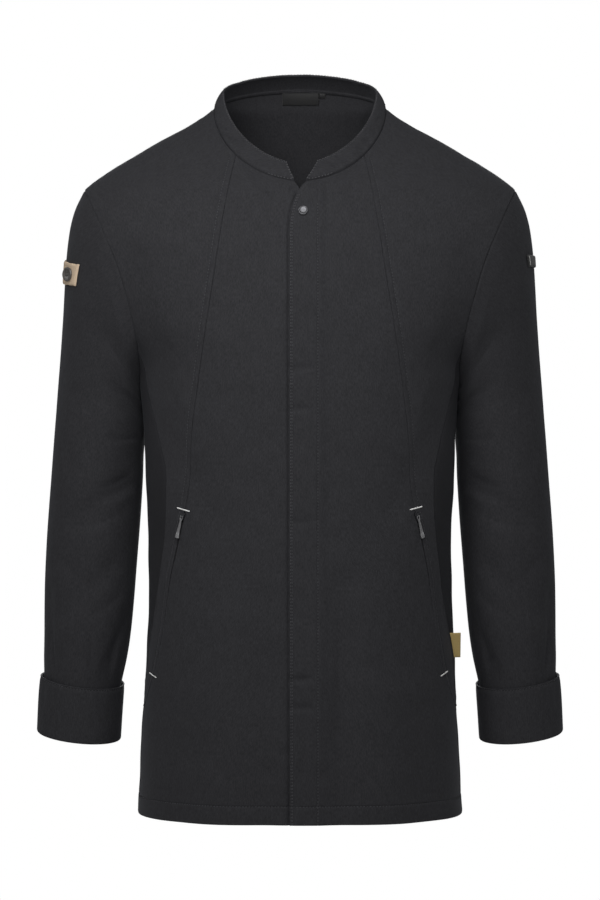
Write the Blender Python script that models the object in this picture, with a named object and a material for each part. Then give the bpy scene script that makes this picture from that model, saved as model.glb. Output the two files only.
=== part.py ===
"""Long-sleeved chef jacket, filled out as if worn, as one solid for each cut piece.

Metres, +Z up. The front faces -Y and the wearer's left is +X. The origin is the middle of the neck,
level with the points where the shoulder seams meet the collar.

The body is a stack of level sections. Each is a superellipse whose half width, depths and squareness
come from short tables by height. A place on a section is its turn in degrees: 0 at the centre front,
90 at the wearer's left side, 180 at the centre back. A sleeve is a row of rings, each given by its
outer and inner ends, and a ring's turn runs from 0 at the outer end through 90 at the front.
"""

import math

import bmesh
import bpy
import numpy as np
from mathutils import Matrix, Vector

# Cloth and seams
WALL = 0.0014
COLLAR_WALL = 0.0020
CUFF_WALL = 0.0022
SEAM_TRIM = 0.0002
POCKET_TRIM = 0.0006
JOIN_GAP = 0.0005
ARMHOLE_GAP = 0.0008
LAY_GAP = 0.0004
SLEEVE_LAY_GAP = 0.0009
NORMAL_STEP = 0.0004
PLACE_STEP = 0.02
TURN_STEP = 0.5
SEARCH_STEPS = 40
NECK_FRONT_STEP = 10.0
NECK_FRONT_STEPS = 9
NECK_BACK_STEP = 15.0
NECK_BACK_STEPS = 6

# Neckline and collar
NECK_HALF_WIDTH = 0.0950
NECK_FRONT_DROP = 0.0875
NECK_BACK_RISE = 0.0260
NECK_SQUARENESS = 1.9
NECK_FIRST_TURN = 4.0
COLLAR_TOP_HALF_WIDTH = 0.0845
COLLAR_TOP_SIDE_HEIGHT = 0.0195
COLLAR_TOP_FRONT_DROP = 0.0870
COLLAR_TOP_BACK_RISE = 0.0230
COLLAR_TOP_FRONT_DEPTH = 0.0800
COLLAR_TOP_BACK_DEPTH = 0.0420
COLLAR_TOP_SQUARENESS = 1.8
COLLAR_TOP_FIRST_TURNS = (15.2, 12.0)
COLLAR_ROWS = 3
COLLAR_BULGE = 0.0012

# Shoulders, armholes and hem
SHOULDER_TIP = (0.2365, -0.0900)
UNDERARM = (0.1750, -0.3050)
ARMHOLE_FRONT_SCOOP = 0.0135
ARMHOLE_BACK_SCOOP = 0.0095
UNDERARM_CLEARANCE = 0.0014
POCKET_SEAM_END = -0.6552
HEM_HEIGHT = -0.7720
LEVELS_TO_SEAM_END = 13
LEVELS_TO_HEM = 5
HALF_TURN_STEPS = 12
SIDE_PANEL_STEP = 9
SIDE_PANEL_INSET = 0.0012
SIDE_PANEL_TRIM = 0.0006
SIDE_PANEL_INSET_EASE = 0.0500

# Rows and columns of the cut pieces
FRONT_TOP_STEP = 0.0007
FRONT_ROW_GAP = 0.0010
FIRST_SHOULDER_ROW = -0.0025
SHOULDER_ROWS_BELOW = -0.0030
BACK_TOP_SHARE = 0.992
FRONT_COLUMNS = (8,)
LAPPED_FRONT_COLUMNS = (2, 1, 5)
NARROW_FRONT_SHARES = (0.0, 0.25, 0.375, 1.0)
NARROWEST_LAP_TURN = 0.5
FRONT_SIDE_COLUMNS = (5,)
BACK_COLUMNS = (16,)
ROW_SAMPLES = 241

# The body's folds fade out at the sides and towards the neck
FOLD_FADE = 0.0300
FOLD_TOP = -0.0850
FOLD_TOP_FADE = 0.0200

# The front fold lies over the other front
OVERLAP_LIFT = WALL + 0.0006
OVERLAP_END = 0.0195
OVERLAP_EASE = 0.0110
OVERLAP_TOP = -0.0875
OVERLAP_FULL = -0.0925

# Pockets, zips, snap and trim
POCKET_TOP = -0.4420
POCKET_BOTTOM = -0.6190
ZIP_WIDTH = 0.0100
ZIP_LAY = 0.0015
ZIP_WALL = 0.0010
ZIP_COLUMNS = 4
SLIT_STEP = 0.0100
SLIDER_WIDTH = 0.0056
SLIDER_LENGTH = 0.0086
SLIDER_HEIGHT = 0.0018
SLIDER_DROP = 0.0050
BRIDGE_WIDTH = 0.0014
BRIDGE_LENGTH = 0.0046
BRIDGE_HEIGHT = 0.0024
BRIDGE_HOLE_LENGTH = 0.0026
BRIDGE_HOLE_HEIGHT = 0.0016
PULL_LENGTH = 0.0250
PULL_END_WIDTH = 0.0050
PULL_NECK_WIDTH = 0.0020
PULL_EYE_WIDTH = 0.0046
PULL_EYE_LENGTH = 0.0052
PULL_EYE_RIM = 0.0009
PULL_WALL = 0.0009
SNAP_RADIUS = 0.0055
SNAP_HEIGHT = 0.0022
SNAP_PLACE = (0.0033, -0.1215)
# Ends of a strip on the sleeve. Columns: turn, top height, bottom height
TAB_ENDS = ((50.0, -0.1746, -0.1974), (-12.0, -0.1645, -0.1905))
TAB_WALL = 0.0014
BUTTON_TURN = 36.5
BUTTON_CENTRE_HEIGHT = -0.1842
BUTTON_TILT = 18.0
BUTTON_LIFT = 0.0022
BUTTON_RADIUS = 0.0078
BUTTON_HEIGHT = 0.0034
LOOP_ENDS = ((37.0, -0.1632, -0.1758), (-46.0, -0.1600, -0.1725))
STRIP_SEARCH = (0.5, 8.0)
LOOP_WALL = 0.0010
LABEL_WALL = 0.0008
NECK_LABEL_X = (-0.0200, 0.0214)
NECK_LABEL_Z = (0.0252, 0.0108)
SIZE_TAB_X = (0.0222, 0.0290)
SIZE_TAB_Z = (0.0236, 0.0180)
SIDE_LABEL_Z = (-0.5740, -0.6010)
SIDE_LABEL_LENGTH = 0.0120
SIDE_LABEL_TURN = 20.0
TURNED_STEPS = 28
CLOTH_SHARP_ANGLE = 50.0
TURNED_SHARP_ANGLE = 40.0
PULL_SHOULDER = 0.0012
PULL_NECK_STEP = 0.0008
PULL_END_ROUND = 0.0015
PULL_END_CORNER = 0.0012
PULL_EYE_END = 0.0014

# Half width of the sections. Between the shoulder tip and the underarm they reach past the armhole
# Columns: height, half width
HALF_WIDTHS = (
    (0.0260, 0.0840),
    (0.0215, 0.0885),
    (0.0130, 0.0925),
    (0.0000, 0.0950),
    (-0.0172, 0.1175),
    (-0.0372, 0.1545),
    (-0.0504, 0.1768),
    (-0.0636, 0.1992),
    (-0.0768, 0.2195),
    (-0.0900, 0.2365),
    (-0.1020, 0.2468),
    (-0.1200, 0.2550),
    (-0.1400, 0.2575),
    (-0.1700, 0.2500),
    (-0.2050, 0.2310),
    (-0.2500, 0.2010),
    (-0.2800, 0.1800),
    (-0.3050, 0.1750),
    (-0.3400, 0.1722),
    (-0.3705, 0.1704),
    (-0.4310, 0.1680),
    (-0.4840, 0.1665),
    (-0.5370, 0.1670),
    (-0.5900, 0.1695),
    (-0.6290, 0.1715),
    (-0.6950, 0.1745),
    (-0.7480, 0.1770),
    (-0.7720, 0.1780),
)

# Columns: height, front, back, squareness
DEPTHS = (
    (0.0260, 0.0010, 0.0600, 2.00),
    (0.0130, 0.0010, 0.0645, 2.00),
    (0.0000, 0.0030, 0.0690, 2.00),
    (-0.0025, 0.0100, 0.0702, 2.00),
    (-0.0152, 0.0285, 0.0760, 2.00),
    (-0.0300, 0.0415, 0.0825, 2.00),
    (-0.0500, 0.0595, 0.0905, 2.00),
    (-0.0700, 0.0752, 0.0970, 2.02),
    (-0.0875, 0.0876, 0.1020, 2.05),
    (-0.1100, 0.0992, 0.1080, 2.10),
    (-0.1300, 0.1068, 0.1130, 2.12),
    (-0.1500, 0.1128, 0.1175, 2.15),
    (-0.2000, 0.1220, 0.1265, 2.20),
    (-0.2500, 0.1265, 0.1290, 2.30),
    (-0.3050, 0.1285, 0.1285, 2.40),
    (-0.3700, 0.1285, 0.1250, 2.45),
    (-0.4500, 0.1295, 0.1230, 2.50),
    (-0.5500, 0.1335, 0.1270, 2.50),
    (-0.6500, 0.1385, 0.1335, 2.50),
    (-0.7720, 0.1430, 0.1400, 2.50),
)

# Distance of the front edges from the centre: the upper one laps past it, the under one lies behind
# Columns: height, x
UPPER_EDGE = (
    (-0.0875, 0.0062),
    (-0.0955, 0.0000),
    (-0.1080, -0.0058),
    (-0.1190, -0.0092),
    (-0.1310, -0.0108),
    (-0.1500, -0.0117),
    (-0.4500, -0.0117),
    (-0.7720, -0.0110),
)

# Columns: height, x
UNDER_EDGE = (
    (-0.0875, 0.0062),
    (-0.0955, 0.0000),
    (-0.1080, -0.0070),
    (-0.1230, -0.0140),
    (-0.1400, -0.0180),
    (-0.4500, -0.0180),
    (-0.7720, -0.0180),
)

# Columns: height, x
PRINCESS_SEAM = (
    (-0.0550, 0.0688),
    (-0.1000, 0.0780),
    (-0.1730, 0.0892),
    (-0.2460, 0.1005),
    (-0.3200, 0.1110),
    (-0.3600, 0.1160),
    (-0.4376, 0.1230),
    (-0.4700, 0.1300),
    (-0.5150, 0.1392),
    (-0.5474, 0.1436),
    (-0.5800, 0.1483),
    (-0.6186, 0.1565),
    (-0.6552, 0.1700),
)

# Below the corners where the side seams leave the armhole
# Columns: height, front y, back y
SIDE_SEAMS = (
    (-0.3050, -0.0460, 0.0430),
    (-0.3300, -0.0560, 0.0520),
    (-0.3700, -0.0730, 0.0570),
    (-0.4100, -0.0820, 0.0600),
    (-0.4500, -0.0810, 0.0610),
    (-0.4935, -0.0750, 0.0610),
    (-0.5447, -0.0645, 0.0590),
    (-0.5900, -0.0500, 0.0560),
    (-0.6320, -0.0390, 0.0530),
    (-0.7000, -0.0290, 0.0500),
    (-0.7720, -0.0230, 0.0480),
)

# Folds: ends of the fold's line, half its width, and its depth (minus is a hollow)
# Columns: x1, z1, x2, z2, half width, depth
FRONT_FOLDS = (
    (-0.034, -0.600, -0.038, -0.790, 0.018, -0.0030),
    (-0.080, -0.560, -0.094, -0.790, 0.024, 0.0028),
    (-0.125, -0.690, -0.132, -0.790, 0.018, -0.0025),
    (0.044, -0.520, 0.046, -0.790, 0.017, -0.0032),
    (0.084, -0.640, 0.098, -0.790, 0.022, 0.0026),
    (0.130, -0.660, 0.138, -0.790, 0.018, -0.0026),
    (-0.158, -0.330, -0.095, -0.450, 0.020, -0.0026),
    (0.160, -0.330, 0.102, -0.440, 0.020, -0.0030),
    (-0.186, -0.170, -0.160, -0.290, 0.022, -0.0034),
    (0.188, -0.160, 0.162, -0.285, 0.022, -0.0030),
    (-0.060, -0.105, -0.100, -0.120, 0.012, -0.0015),
    (0.062, -0.108, 0.098, -0.122, 0.012, -0.0015),
)

# Columns: x1, z1, x2, z2, half width, depth
BACK_FOLDS = (
    (-0.062, -0.240, -0.072, -0.790, 0.024, 0.0045),
    (0.058, -0.260, 0.070, -0.790, 0.024, 0.0040),
    (0.000, -0.330, 0.004, -0.790, 0.028, -0.0045),
    (-0.112, -0.420, -0.124, -0.790, 0.020, -0.0036),
    (0.116, -0.400, 0.120, -0.790, 0.020, -0.0040),
    (-0.168, -0.180, -0.120, -0.300, 0.020, -0.0032),
    (0.166, -0.190, 0.122, -0.310, 0.020, -0.0036),
    (-0.100, -0.395, 0.020, -0.425, 0.016, -0.0022),
)

SLEEVE_RING_COLUMNS = (
    "outer_x", "outer_z", "inner_x", "inner_z", "middle_y", "half_depth", "front_drop",
)
SLEEVE_RINGS = (
    (0.2365, -0.0900, 0.1750, -0.3050, 0.0040, 0.0660, 0.000),
    (0.2480, -0.1150, 0.1764, -0.3130, 0.0100, 0.0690, 0.000),
    (0.2555, -0.1500, 0.1758, -0.3215, 0.0160, 0.0700, 0.000),
    (0.2605, -0.1920, 0.1744, -0.3305, 0.0220, 0.0690, 0.000),
    (0.2637, -0.2350, 0.1726, -0.3410, 0.0270, 0.0670, 0.000),
    (0.2665, -0.2800, 0.1708, -0.3530, 0.0300, 0.0650, 0.000),
    (0.2697, -0.3230, 0.1715, -0.3680, 0.0310, 0.0630, 0.000),
    (0.2727, -0.3620, 0.1735, -0.3840, 0.0310, 0.0610, 0.000),
    (0.2752, -0.4000, 0.1748, -0.4060, 0.0305, 0.0595, 0.000),
    (0.2772, -0.4300, 0.1765, -0.4310, 0.0300, 0.0580, 0.000),
    (0.2795, -0.4650, 0.1787, -0.4660, 0.0290, 0.0560, 0.001),
    (0.2812, -0.5000, 0.1808, -0.5010, 0.0280, 0.0540, 0.002),
    (0.2828, -0.5350, 0.1832, -0.5380, 0.0270, 0.0520, 0.003),
    (0.2842, -0.5700, 0.1868, -0.5740, 0.0260, 0.0495, 0.004),
    (0.2848, -0.6000, 0.1915, -0.6060, 0.0255, 0.0465, 0.005),
    (0.2836, -0.6300, 0.1978, -0.6390, 0.0255, 0.0438, 0.006),
    (0.2855, -0.6580, 0.1995, -0.6680, 0.0255, 0.0438, 0.006),
    (0.2876, -0.6840, 0.2018, -0.6935, 0.0255, 0.0438, 0.006),
)

CUFF_RINGS = (
    (0.2866, -0.6245, 0.1946, -0.6355, 0.0255, 0.0472, 0.006),
    (0.2880, -0.6400, 0.1955, -0.6510, 0.0255, 0.0474, 0.006),
    (0.2892, -0.6560, 0.1967, -0.6665, 0.0255, 0.0476, 0.006),
    (0.2904, -0.6720, 0.1979, -0.6820, 0.0255, 0.0476, 0.006),
    (0.2916, -0.6860, 0.1990, -0.6960, 0.0255, 0.0474, 0.006),
)

# Folds of the left sleeve by ring number and turn; the right sleeve mirrors them
# Columns: ring1, turn1, ring2, turn2, half width, depth
SLEEVE_FOLDS = (
    (1.6, 118.0, 3.4, 62.0, 0.014, -0.0030),
    (3.6, 128.0, 5.4, 78.0, 0.016, -0.0034),
    (1.8, 240.0, 3.8, 300.0, 0.016, -0.0036),
    (4.2, 232.0, 6.2, 290.0, 0.016, -0.0036),
    (8.4, 140.0, 9.6, 70.0, 0.013, -0.0030),
    (10.2, 235.0, 9.2, 300.0, 0.014, -0.0034),
    (11.0, 120.0, 12.4, 60.0, 0.012, -0.0022),
    (12.0, 30.0, 14.6, 52.0, 0.010, -0.0024),
    (12.6, 150.0, 14.6, 118.0, 0.010, -0.0022),
    (12.2, 250.0, 14.6, 285.0, 0.011, -0.0026),
)
RING_SPACING = 0.034
TURN_RADIUS = 0.055

RINGS_PER_SLEEVE = 24
ARMHOLE_FADE_RINGS = 3.0
SLEEVE_FOLD_TOP = 1.5
SLEEVE_FOLD_END = 15.0
UNDERARM_POWER = 4

# Profiles of the turned pieces. Columns: share of the radius, share of the height
SNAP_PROFILE = (
    (0.0, 0.0), (0.86, 0.0), (1.0, 0.30), (0.97, 0.62), (0.82, 0.86), (0.58, 0.86), (0.50, 0.80),
    (0.40, 0.90), (0.0, 1.0),
)
BUTTON_PROFILE = (
    (0.0, 0.0), (0.80, 0.0), (1.0, 0.28), (1.0, 0.66), (0.90, 1.0), (0.74, 0.94), (0.62, 0.66), (0.0, 0.60),
)
ROUND_STEPS = 2 * HALF_TURN_STEPS

# Columns: name, colour, roughness, metallic
MATERIALS = (
    ("charcoal_twill", (0.030, 0.030, 0.033), 0.75, 0.0),
    ("dark_side_twill", (0.020, 0.020, 0.022), 0.80, 0.0),
    ("black_zip_tape", (0.012, 0.012, 0.013), 0.70, 0.0),
    ("brushed_steel", (0.42, 0.42, 0.43), 0.35, 1.0),
    ("gunmetal", (0.16, 0.16, 0.17), 0.38, 1.0),
    ("tan_canvas", (0.50, 0.36, 0.23), 0.80, 0.0),
    ("dark_button", (0.045, 0.042, 0.040), 0.40, 0.0),
    ("black_woven_label", (0.014, 0.014, 0.015), 0.65, 0.0),
    ("tan_woven_label", (0.36, 0.27, 0.12), 0.75, 0.0),
)


def smooth_table(rows, at):
    """The table's other columns at places along its first column, along smooth curves."""
    table = np.array(rows, dtype=float)
    table = table[np.argsort(table[:, 0])]
    keys = table[:, 0]
    values = table[:, 1:]
    slopes = np.gradient(values, keys, axis=0)
    steps = np.diff(values, axis=0)
    slopes[1:-1][steps[:-1] * steps[1:] <= 0.0] = 0.0
    at = np.clip(np.asarray(at, dtype=float), keys[0], keys[-1])
    row = np.clip(np.searchsorted(keys, at) - 1, 0, len(keys) - 2)
    width = keys[row + 1] - keys[row]
    share = ((at - keys[row]) / width)[..., None]
    width = width[..., None]
    near = values[row] * (1 + 2 * share) * (1 - share) ** 2
    far = values[row + 1] * (3 - 2 * share) * share**2
    leave = slopes[row] * width * share * (1 - share) ** 2
    arrive = slopes[row + 1] * width * share**2 * (share - 1)
    return near + far + leave + arrive


def column(rows, index, at):
    return smooth_table(rows, at)[..., index - 1]


def fold_push(folds, across, along):
    """How far a point of the cloth is moved outwards by a table of folds."""
    push = np.zeros(np.broadcast(across, along).shape)
    for x1, z1, x2, z2, half_width, depth in folds:
        run_x, run_z = x2 - x1, z2 - z1
        length = math.hypot(run_x, run_z)
        share = ((across - x1) * run_x + (along - z1) * run_z) / length**2
        share = np.clip(share, 0.0, 1.0)
        away = np.hypot(across - x1 - share * run_x, along - z1 - share * run_z)
        push = push + depth * np.exp(-((away / half_width) ** 2))
    return push


# ---- the body's level sections


def section(height, at_front):
    """Half width, depth and squareness of the level section, in front or behind."""
    front, back, squareness = smooth_table(DEPTHS, height)
    return column(HALF_WIDTHS, 1, height), front if at_front else back, squareness


def section_y(x, height, at_front):
    """How far in front or behind the section is at this x."""
    width, depth, squareness = section(height, at_front)
    side = max(1.0 - (min(abs(x) / width, 1.0)) ** squareness, 0.0)
    return math.copysign(depth * side ** (1.0 / squareness), -1.0 if at_front else 1.0)


def armhole_point(turn):
    """The left armhole's edge at a turn in degrees: 0 at the shoulder tip, 90 in front, 180 under the arm."""
    share = (1.0 - math.cos(math.radians(turn))) / 2.0
    at_front = turn % 360.0 <= 180.0
    scoop = ARMHOLE_FRONT_SCOOP if at_front else ARMHOLE_BACK_SCOOP
    x = SHOULDER_TIP[0] + (UNDERARM[0] - SHOULDER_TIP[0]) * share
    x -= scoop * math.sin(math.radians(turn)) ** 2
    height = SHOULDER_TIP[1] + (UNDERARM[1] - SHOULDER_TIP[1]) * share
    return np.array([x, section_y(x, height, at_front), height])


def body_base(turn, height):
    """Points of the plain body at one height, for turns in degrees."""
    angle = np.radians(np.atleast_1d(np.asarray(turn, dtype=float)))
    width_f, depth_f, squareness = section(height, True)
    width_b, depth_b, _ = section(height, False)
    in_front = np.cos(angle) >= 0.0
    width = np.where(in_front, width_f, width_b)
    depth = np.where(in_front, depth_f, depth_b)
    power = 2.0 / squareness
    x = width * np.sign(np.sin(angle)) * np.abs(np.sin(angle)) ** power
    y = -depth * np.sign(np.cos(angle)) * np.abs(np.cos(angle)) ** power
    return np.stack([x, y, np.full_like(x, height)], axis=-1)


def body_level(x, y, height):
    """The superellipse's own measure of a point: 1 on the section."""
    measures = []
    for at_front in (True, False):
        width, depth, squareness = section(height, at_front)
        measures.append((np.abs(x) / width) ** squareness + (np.abs(y) / depth) ** squareness)
    return np.where(y <= 0.0, measures[0], measures[1])


def body_normals(points):
    """Unit normals of the plain body at points of one row."""
    normals = np.zeros_like(points)
    for i, (x, y, z) in enumerate(points):
        width, depth, squareness = section(z, y <= 0.0)
        normals[i, 0] = math.copysign(squareness * abs(x) ** (squareness - 1) / width**squareness, x)
        normals[i, 1] = math.copysign(squareness * abs(y) ** (squareness - 1) / depth**squareness, y)
        above = body_level(x, y, z + NORMAL_STEP)
        below = body_level(x, y, z - NORMAL_STEP)
        normals[i, 2] = (above - below) / (2.0 * NORMAL_STEP)
    return normals / np.linalg.norm(normals, axis=1)[:, None]


def body_points(base, lift=0.0):
    """(points, normals) of the finished body, with its folds, from points of the plain body."""
    normals = body_normals(base)
    x, y, z = base.T
    front = np.clip(-y / FOLD_FADE, 0.0, 1.0) * fold_push(FRONT_FOLDS, x, z)
    back = np.clip(y / FOLD_FADE, 0.0, 1.0) * fold_push(BACK_FOLDS, x, z)
    below_neck = np.clip((FOLD_TOP - z) / FOLD_TOP_FADE, 0.0, 1.0)
    push = (front + back) * below_neck + lift
    return base + normals * push[:, None], normals


def turn_at_x(x, height):
    """Turn of the front's point with this x."""
    width, _, squareness = section(height, True)
    share = min(abs(x) / width, 1.0) ** (squareness / 2.0)
    return math.copysign(math.degrees(math.asin(share)), x)


def turn_at_y(y, height):
    """Turn of the left side's point with this y."""
    _, depth, squareness = section(height, y <= 0.0)
    share = min(abs(y) / depth, 1.0) ** (squareness / 2.0)
    turn = math.degrees(math.acos(share))
    return turn if y <= 0.0 else 180.0 - turn


def spaced_row(stops, counts, height, start_trim, end_trim):
    """Points of the plain body along one section, with a count of even steps between each two stops.

    The stops are turns in degrees, and a seam's trim is taken off each end of the row.
    """
    turns = np.unique(np.concatenate([np.linspace(stops[0], stops[-1], ROW_SAMPLES), stops]))
    points = body_base(turns, height)
    along = np.concatenate([[0.0], np.cumsum(np.linalg.norm(np.diff(points, axis=0), axis=1))])
    places = np.interp(stops, turns, along)
    places[0] += start_trim
    places[-1] -= end_trim
    wanted = [places[:1]]
    for low, high, count in zip(places, places[1:], counts):
        wanted.append(np.linspace(low, high, count + 1)[1:])
    return body_base(np.interp(np.concatenate(wanted), along, turns), height)


# ---- heights of the rows, shared by the pieces so that their seams match


def neckline_x(height):
    drop = NECK_FRONT_DROP if height <= 0.0 else NECK_BACK_RISE
    share = max(1.0 - (abs(height) / drop) ** NECK_SQUARENESS, 0.0)
    return NECK_HALF_WIDTH * share ** (1.0 / NECK_SQUARENESS)


def neckline_height(turn):
    drop = -NECK_FRONT_DROP if turn < 90.0 else NECK_BACK_RISE
    return drop * abs(math.cos(math.radians(turn))) ** (2.0 / NECK_SQUARENESS)


def neck_front_turns():
    return [NECK_FIRST_TURN] + [NECK_FRONT_STEP * i for i in range(1, NECK_FRONT_STEPS)]


def neck_back_turns():
    return [90.0 + NECK_BACK_STEP * i for i in range(NECK_BACK_STEPS + 1)]


def princess_x(height):
    return column(PRINCESS_SEAM, 1, height)


def princess_top():
    """Height where the princess seam meets the neckline."""
    low, high = -NECK_FRONT_DROP, PRINCESS_SEAM[0][0]
    for _ in range(SEARCH_STEPS):
        middle = (low + high) / 2.0
        if neckline_x(middle) < princess_x(middle):
            low = middle
        else:
            high = middle
    return low


def armhole_heights():
    return [armhole_point(180.0 * i / HALF_TURN_STEPS)[2] for i in range(HALF_TURN_STEPS + 1)]


def body_heights():
    above = np.linspace(UNDERARM[1], POCKET_SEAM_END, LEVELS_TO_SEAM_END + 1)
    below = np.linspace(POCKET_SEAM_END, HEM_HEIGHT, LEVELS_TO_HEM + 1)
    return list(above[1:]) + list(below[1:])


def front_heights():
    neck = [neckline_height(turn) for turn in neck_front_turns()]
    heights = neck + armhole_heights() + body_heights()
    return sorted(heights, reverse=True)


def side_y(height, index):
    """Y of the front (index 1) or back (index 2) side seam."""
    turn = 180.0 * SIDE_PANEL_STEP / HALF_TURN_STEPS
    corner = (armhole_point(turn)[2], armhole_point(turn)[1], armhole_point(360.0 - turn)[1])
    return column((corner,) + SIDE_SEAMS, index, height)


def outer_turn(height, at_front):
    """Turn where a front or back piece ends at the shoulder, the armhole or the side panel."""
    if height >= SHOULDER_TIP[1]:
        return 90.0
    side_panel_top = armhole_heights()[SIDE_PANEL_STEP]
    if height > side_panel_top + NORMAL_STEP:
        share = (SHOULDER_TIP[1] - height) / (SHOULDER_TIP[1] - UNDERARM[1])
        turn = math.degrees(math.acos(1.0 - 2.0 * share))
        edge = armhole_point(turn if at_front else 360.0 - turn)
        return turn_at_y(edge[1], height)
    return turn_at_y(side_y(height, 1 if at_front else 2), height)


# ---- sleeves


def ring_points(ring, turn):
    """Points of a ring (a row of the ring columns) at turns in radians; rings and turns broadcast."""
    ring = np.asarray(ring)
    outer_x, outer_z, inner_x, inner_z, middle_y, half_depth, drop = np.moveaxis(ring, -1, 0)
    share = (1.0 - np.cos(turn)) / 2.0
    sine = np.sin(turn)
    x = outer_x + (inner_x - outer_x) * share
    y = middle_y - half_depth * sine
    z = outer_z + (inner_z - outer_z) * share - drop * sine
    return np.stack(np.broadcast_arrays(x, y, z), axis=-1)


def sleeve_base(place, turn):
    """Points of the plain left sleeve, which leaves the armhole's edge for its own rings."""
    place, turn = np.broadcast_arrays(np.asarray(place, float), np.asarray(turn, float))
    rows = [(number,) + row for number, row in enumerate(SLEEVE_RINGS)]
    points = ring_points(smooth_table(rows, place), np.radians(turn))
    edge = np.array([armhole_point(t) for t in np.ravel(turn)]).reshape(points.shape)
    plain = ring_points(np.array(SLEEVE_RINGS[0]), np.radians(turn))
    fade = np.clip(1.0 - place / ARMHOLE_FADE_RINGS, 0.0, 1.0) ** 2
    return points + (edge - plain) * fade[..., None]


def cuff_base(place, turn):
    rows = [(number,) + row for number, row in enumerate(CUFF_RINGS)]
    return ring_points(smooth_table(rows, place), np.radians(turn))


def tube_normals(base, place, turn):
    """Outward unit normals of a tube given by a base function."""
    ahead = base(place + PLACE_STEP, turn) - base(place - PLACE_STEP, turn)
    round_it = base(place, turn + TURN_STEP) - base(place, turn - TURN_STEP)
    normals = np.cross(round_it, ahead)
    return normals / np.linalg.norm(normals, axis=-1)[..., None]


def sleeve_points(place, turn, lift=0.0):
    """(points, normals) of the finished left sleeve."""
    place, turn = np.broadcast_arrays(np.asarray(place, float), np.asarray(turn, float))
    base = sleeve_base(place, turn)
    inside = np.clip(place, PLACE_STEP, len(SLEEVE_RINGS) - 1 - PLACE_STEP)
    normals = tube_normals(sleeve_base, inside, turn)
    around = np.radians(np.mod(turn, 360.0)) * TURN_RADIUS
    folds = [
        (math.radians(t1) * TURN_RADIUS, r1 * RING_SPACING,
         math.radians(t2) * TURN_RADIUS, r2 * RING_SPACING, half_width, depth)
        for r1, t1, r2, t2, half_width, depth in SLEEVE_FOLDS
    ]
    push = fold_push(folds, around, place * RING_SPACING)
    push = push * np.clip(place / SLEEVE_FOLD_TOP, 0.0, 1.0) * np.clip(SLEEVE_FOLD_END - place, 0.0, 1.0)
    return base + normals * (push + lift)[..., None], normals


# ---- meshes


def mirrored(points):
    return points * np.array([-1.0, 1.0, 1.0])


def new_object(name, vertices, faces, material):
    mesh = bpy.data.meshes.new(name)
    mesh.from_pydata([tuple(map(float, v)) for v in vertices], [], faces)
    mesh.materials.append(material)
    mesh.shade_smooth()
    mesh.set_sharp_from_angle(angle=math.radians(CLOTH_SHARP_ANGLE))
    obj = bpy.data.objects.new(name, mesh)
    bpy.context.scene.collection.objects.link(obj)
    facing = bmesh.new()
    facing.from_mesh(mesh)
    if facing.calc_volume(signed=True) < 0.0:
        bmesh.ops.reverse_faces(facing, faces=facing.faces)
        facing.to_mesh(mesh)
    facing.free()
    return obj


def wall(name, outer, inner, material, closed=False):
    """A closed cloth wall from two grids of points; a closed one joins its last column to its first."""
    rows, columns = outer.shape[:2]
    vertices = np.concatenate([outer.reshape(-1, 3), inner.reshape(-1, 3)])
    far = rows * columns
    faces = []
    spans = columns if closed else columns - 1
    for i in range(rows - 1):
        for j in range(spans):
            a = i * columns + j
            b = i * columns + (j + 1) % columns
            c, d = a + columns, b + columns
            faces.append((a, b, d, c))
            faces.append((far + a, far + c, far + d, far + b))
    last = (rows - 1) * columns
    for j in range(spans):
        k = (j + 1) % columns
        faces.append((j, far + j, far + k, k))
        faces.append((last + j, last + k, far + last + k, far + last + j))
    if not closed:
        for i in range(rows - 1):
            a, c = i * columns, (i + 1) * columns
            faces.append((a, c, far + c, far + a))
            a, c = a + columns - 1, c + columns - 1
            faces.append((a, far + a, far + c, c))
    return new_object(name, vertices, faces, material)


def panel(name, rows, material, thickness=WALL):
    """A wall from rows of (points, normals) of its outer side."""
    outer = np.array([points for points, _ in rows])
    inner = np.array([points - thickness * normals for points, normals in rows])
    return wall(name, outer, inner, material)


def turned(name, profile, steps, place, material):
    """A solid turned from a profile of (radius, height) about its own Z, then put in place."""
    rings = bmesh.new()
    angles = [2.0 * math.pi * i / steps for i in range(steps)]
    loops = []
    for radius, height in profile:
        if radius == 0.0:
            loops.append([rings.verts.new((0.0, 0.0, height))])
        else:
            loops.append([
                rings.verts.new((radius * math.cos(a), radius * math.sin(a), height)) for a in angles
            ])
    for low, high in zip(loops, loops[1:]):
        for i in range(steps):
            k = (i + 1) % steps
            if len(low) == 1:
                rings.faces.new((low[0], high[k], high[i]))
            elif len(high) == 1:
                rings.faces.new((low[i], low[k], high[0]))
            else:
                rings.faces.new((low[i], low[k], high[k], high[i]))
    bmesh.ops.recalc_face_normals(rings, faces=rings.faces)
    mesh = bpy.data.meshes.new(name)
    rings.to_mesh(mesh)
    rings.free()
    mesh.materials.append(material)
    mesh.shade_smooth()
    mesh.set_sharp_from_angle(angle=math.radians(TURNED_SHARP_ANGLE))
    obj = bpy.data.objects.new(name, mesh)
    obj.matrix_world = place
    bpy.context.scene.collection.objects.link(obj)
    return obj


def material(name, colour, roughness, metallic=0.0):
    made = bpy.data.materials.new(name)
    made.use_nodes = True
    shader = made.node_tree.nodes["Principled BSDF"]
    shader.inputs["Base Color"].default_value = (*colour, 1.0)
    shader.inputs["Roughness"].default_value = roughness
    shader.inputs["Metallic"].default_value = metallic
    return made


def frame_at(point, normal, along):
    """A matrix whose Z is the normal and whose Y is nearest to the direction given."""
    z_axis = Vector(normal).normalized()
    x_axis = Vector(along).cross(z_axis).normalized()
    y_axis = z_axis.cross(x_axis)
    place = Matrix((x_axis, y_axis, z_axis)).transposed().to_4x4()
    place.translation = Vector(point)
    return place


# ---- the cut pieces


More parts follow.
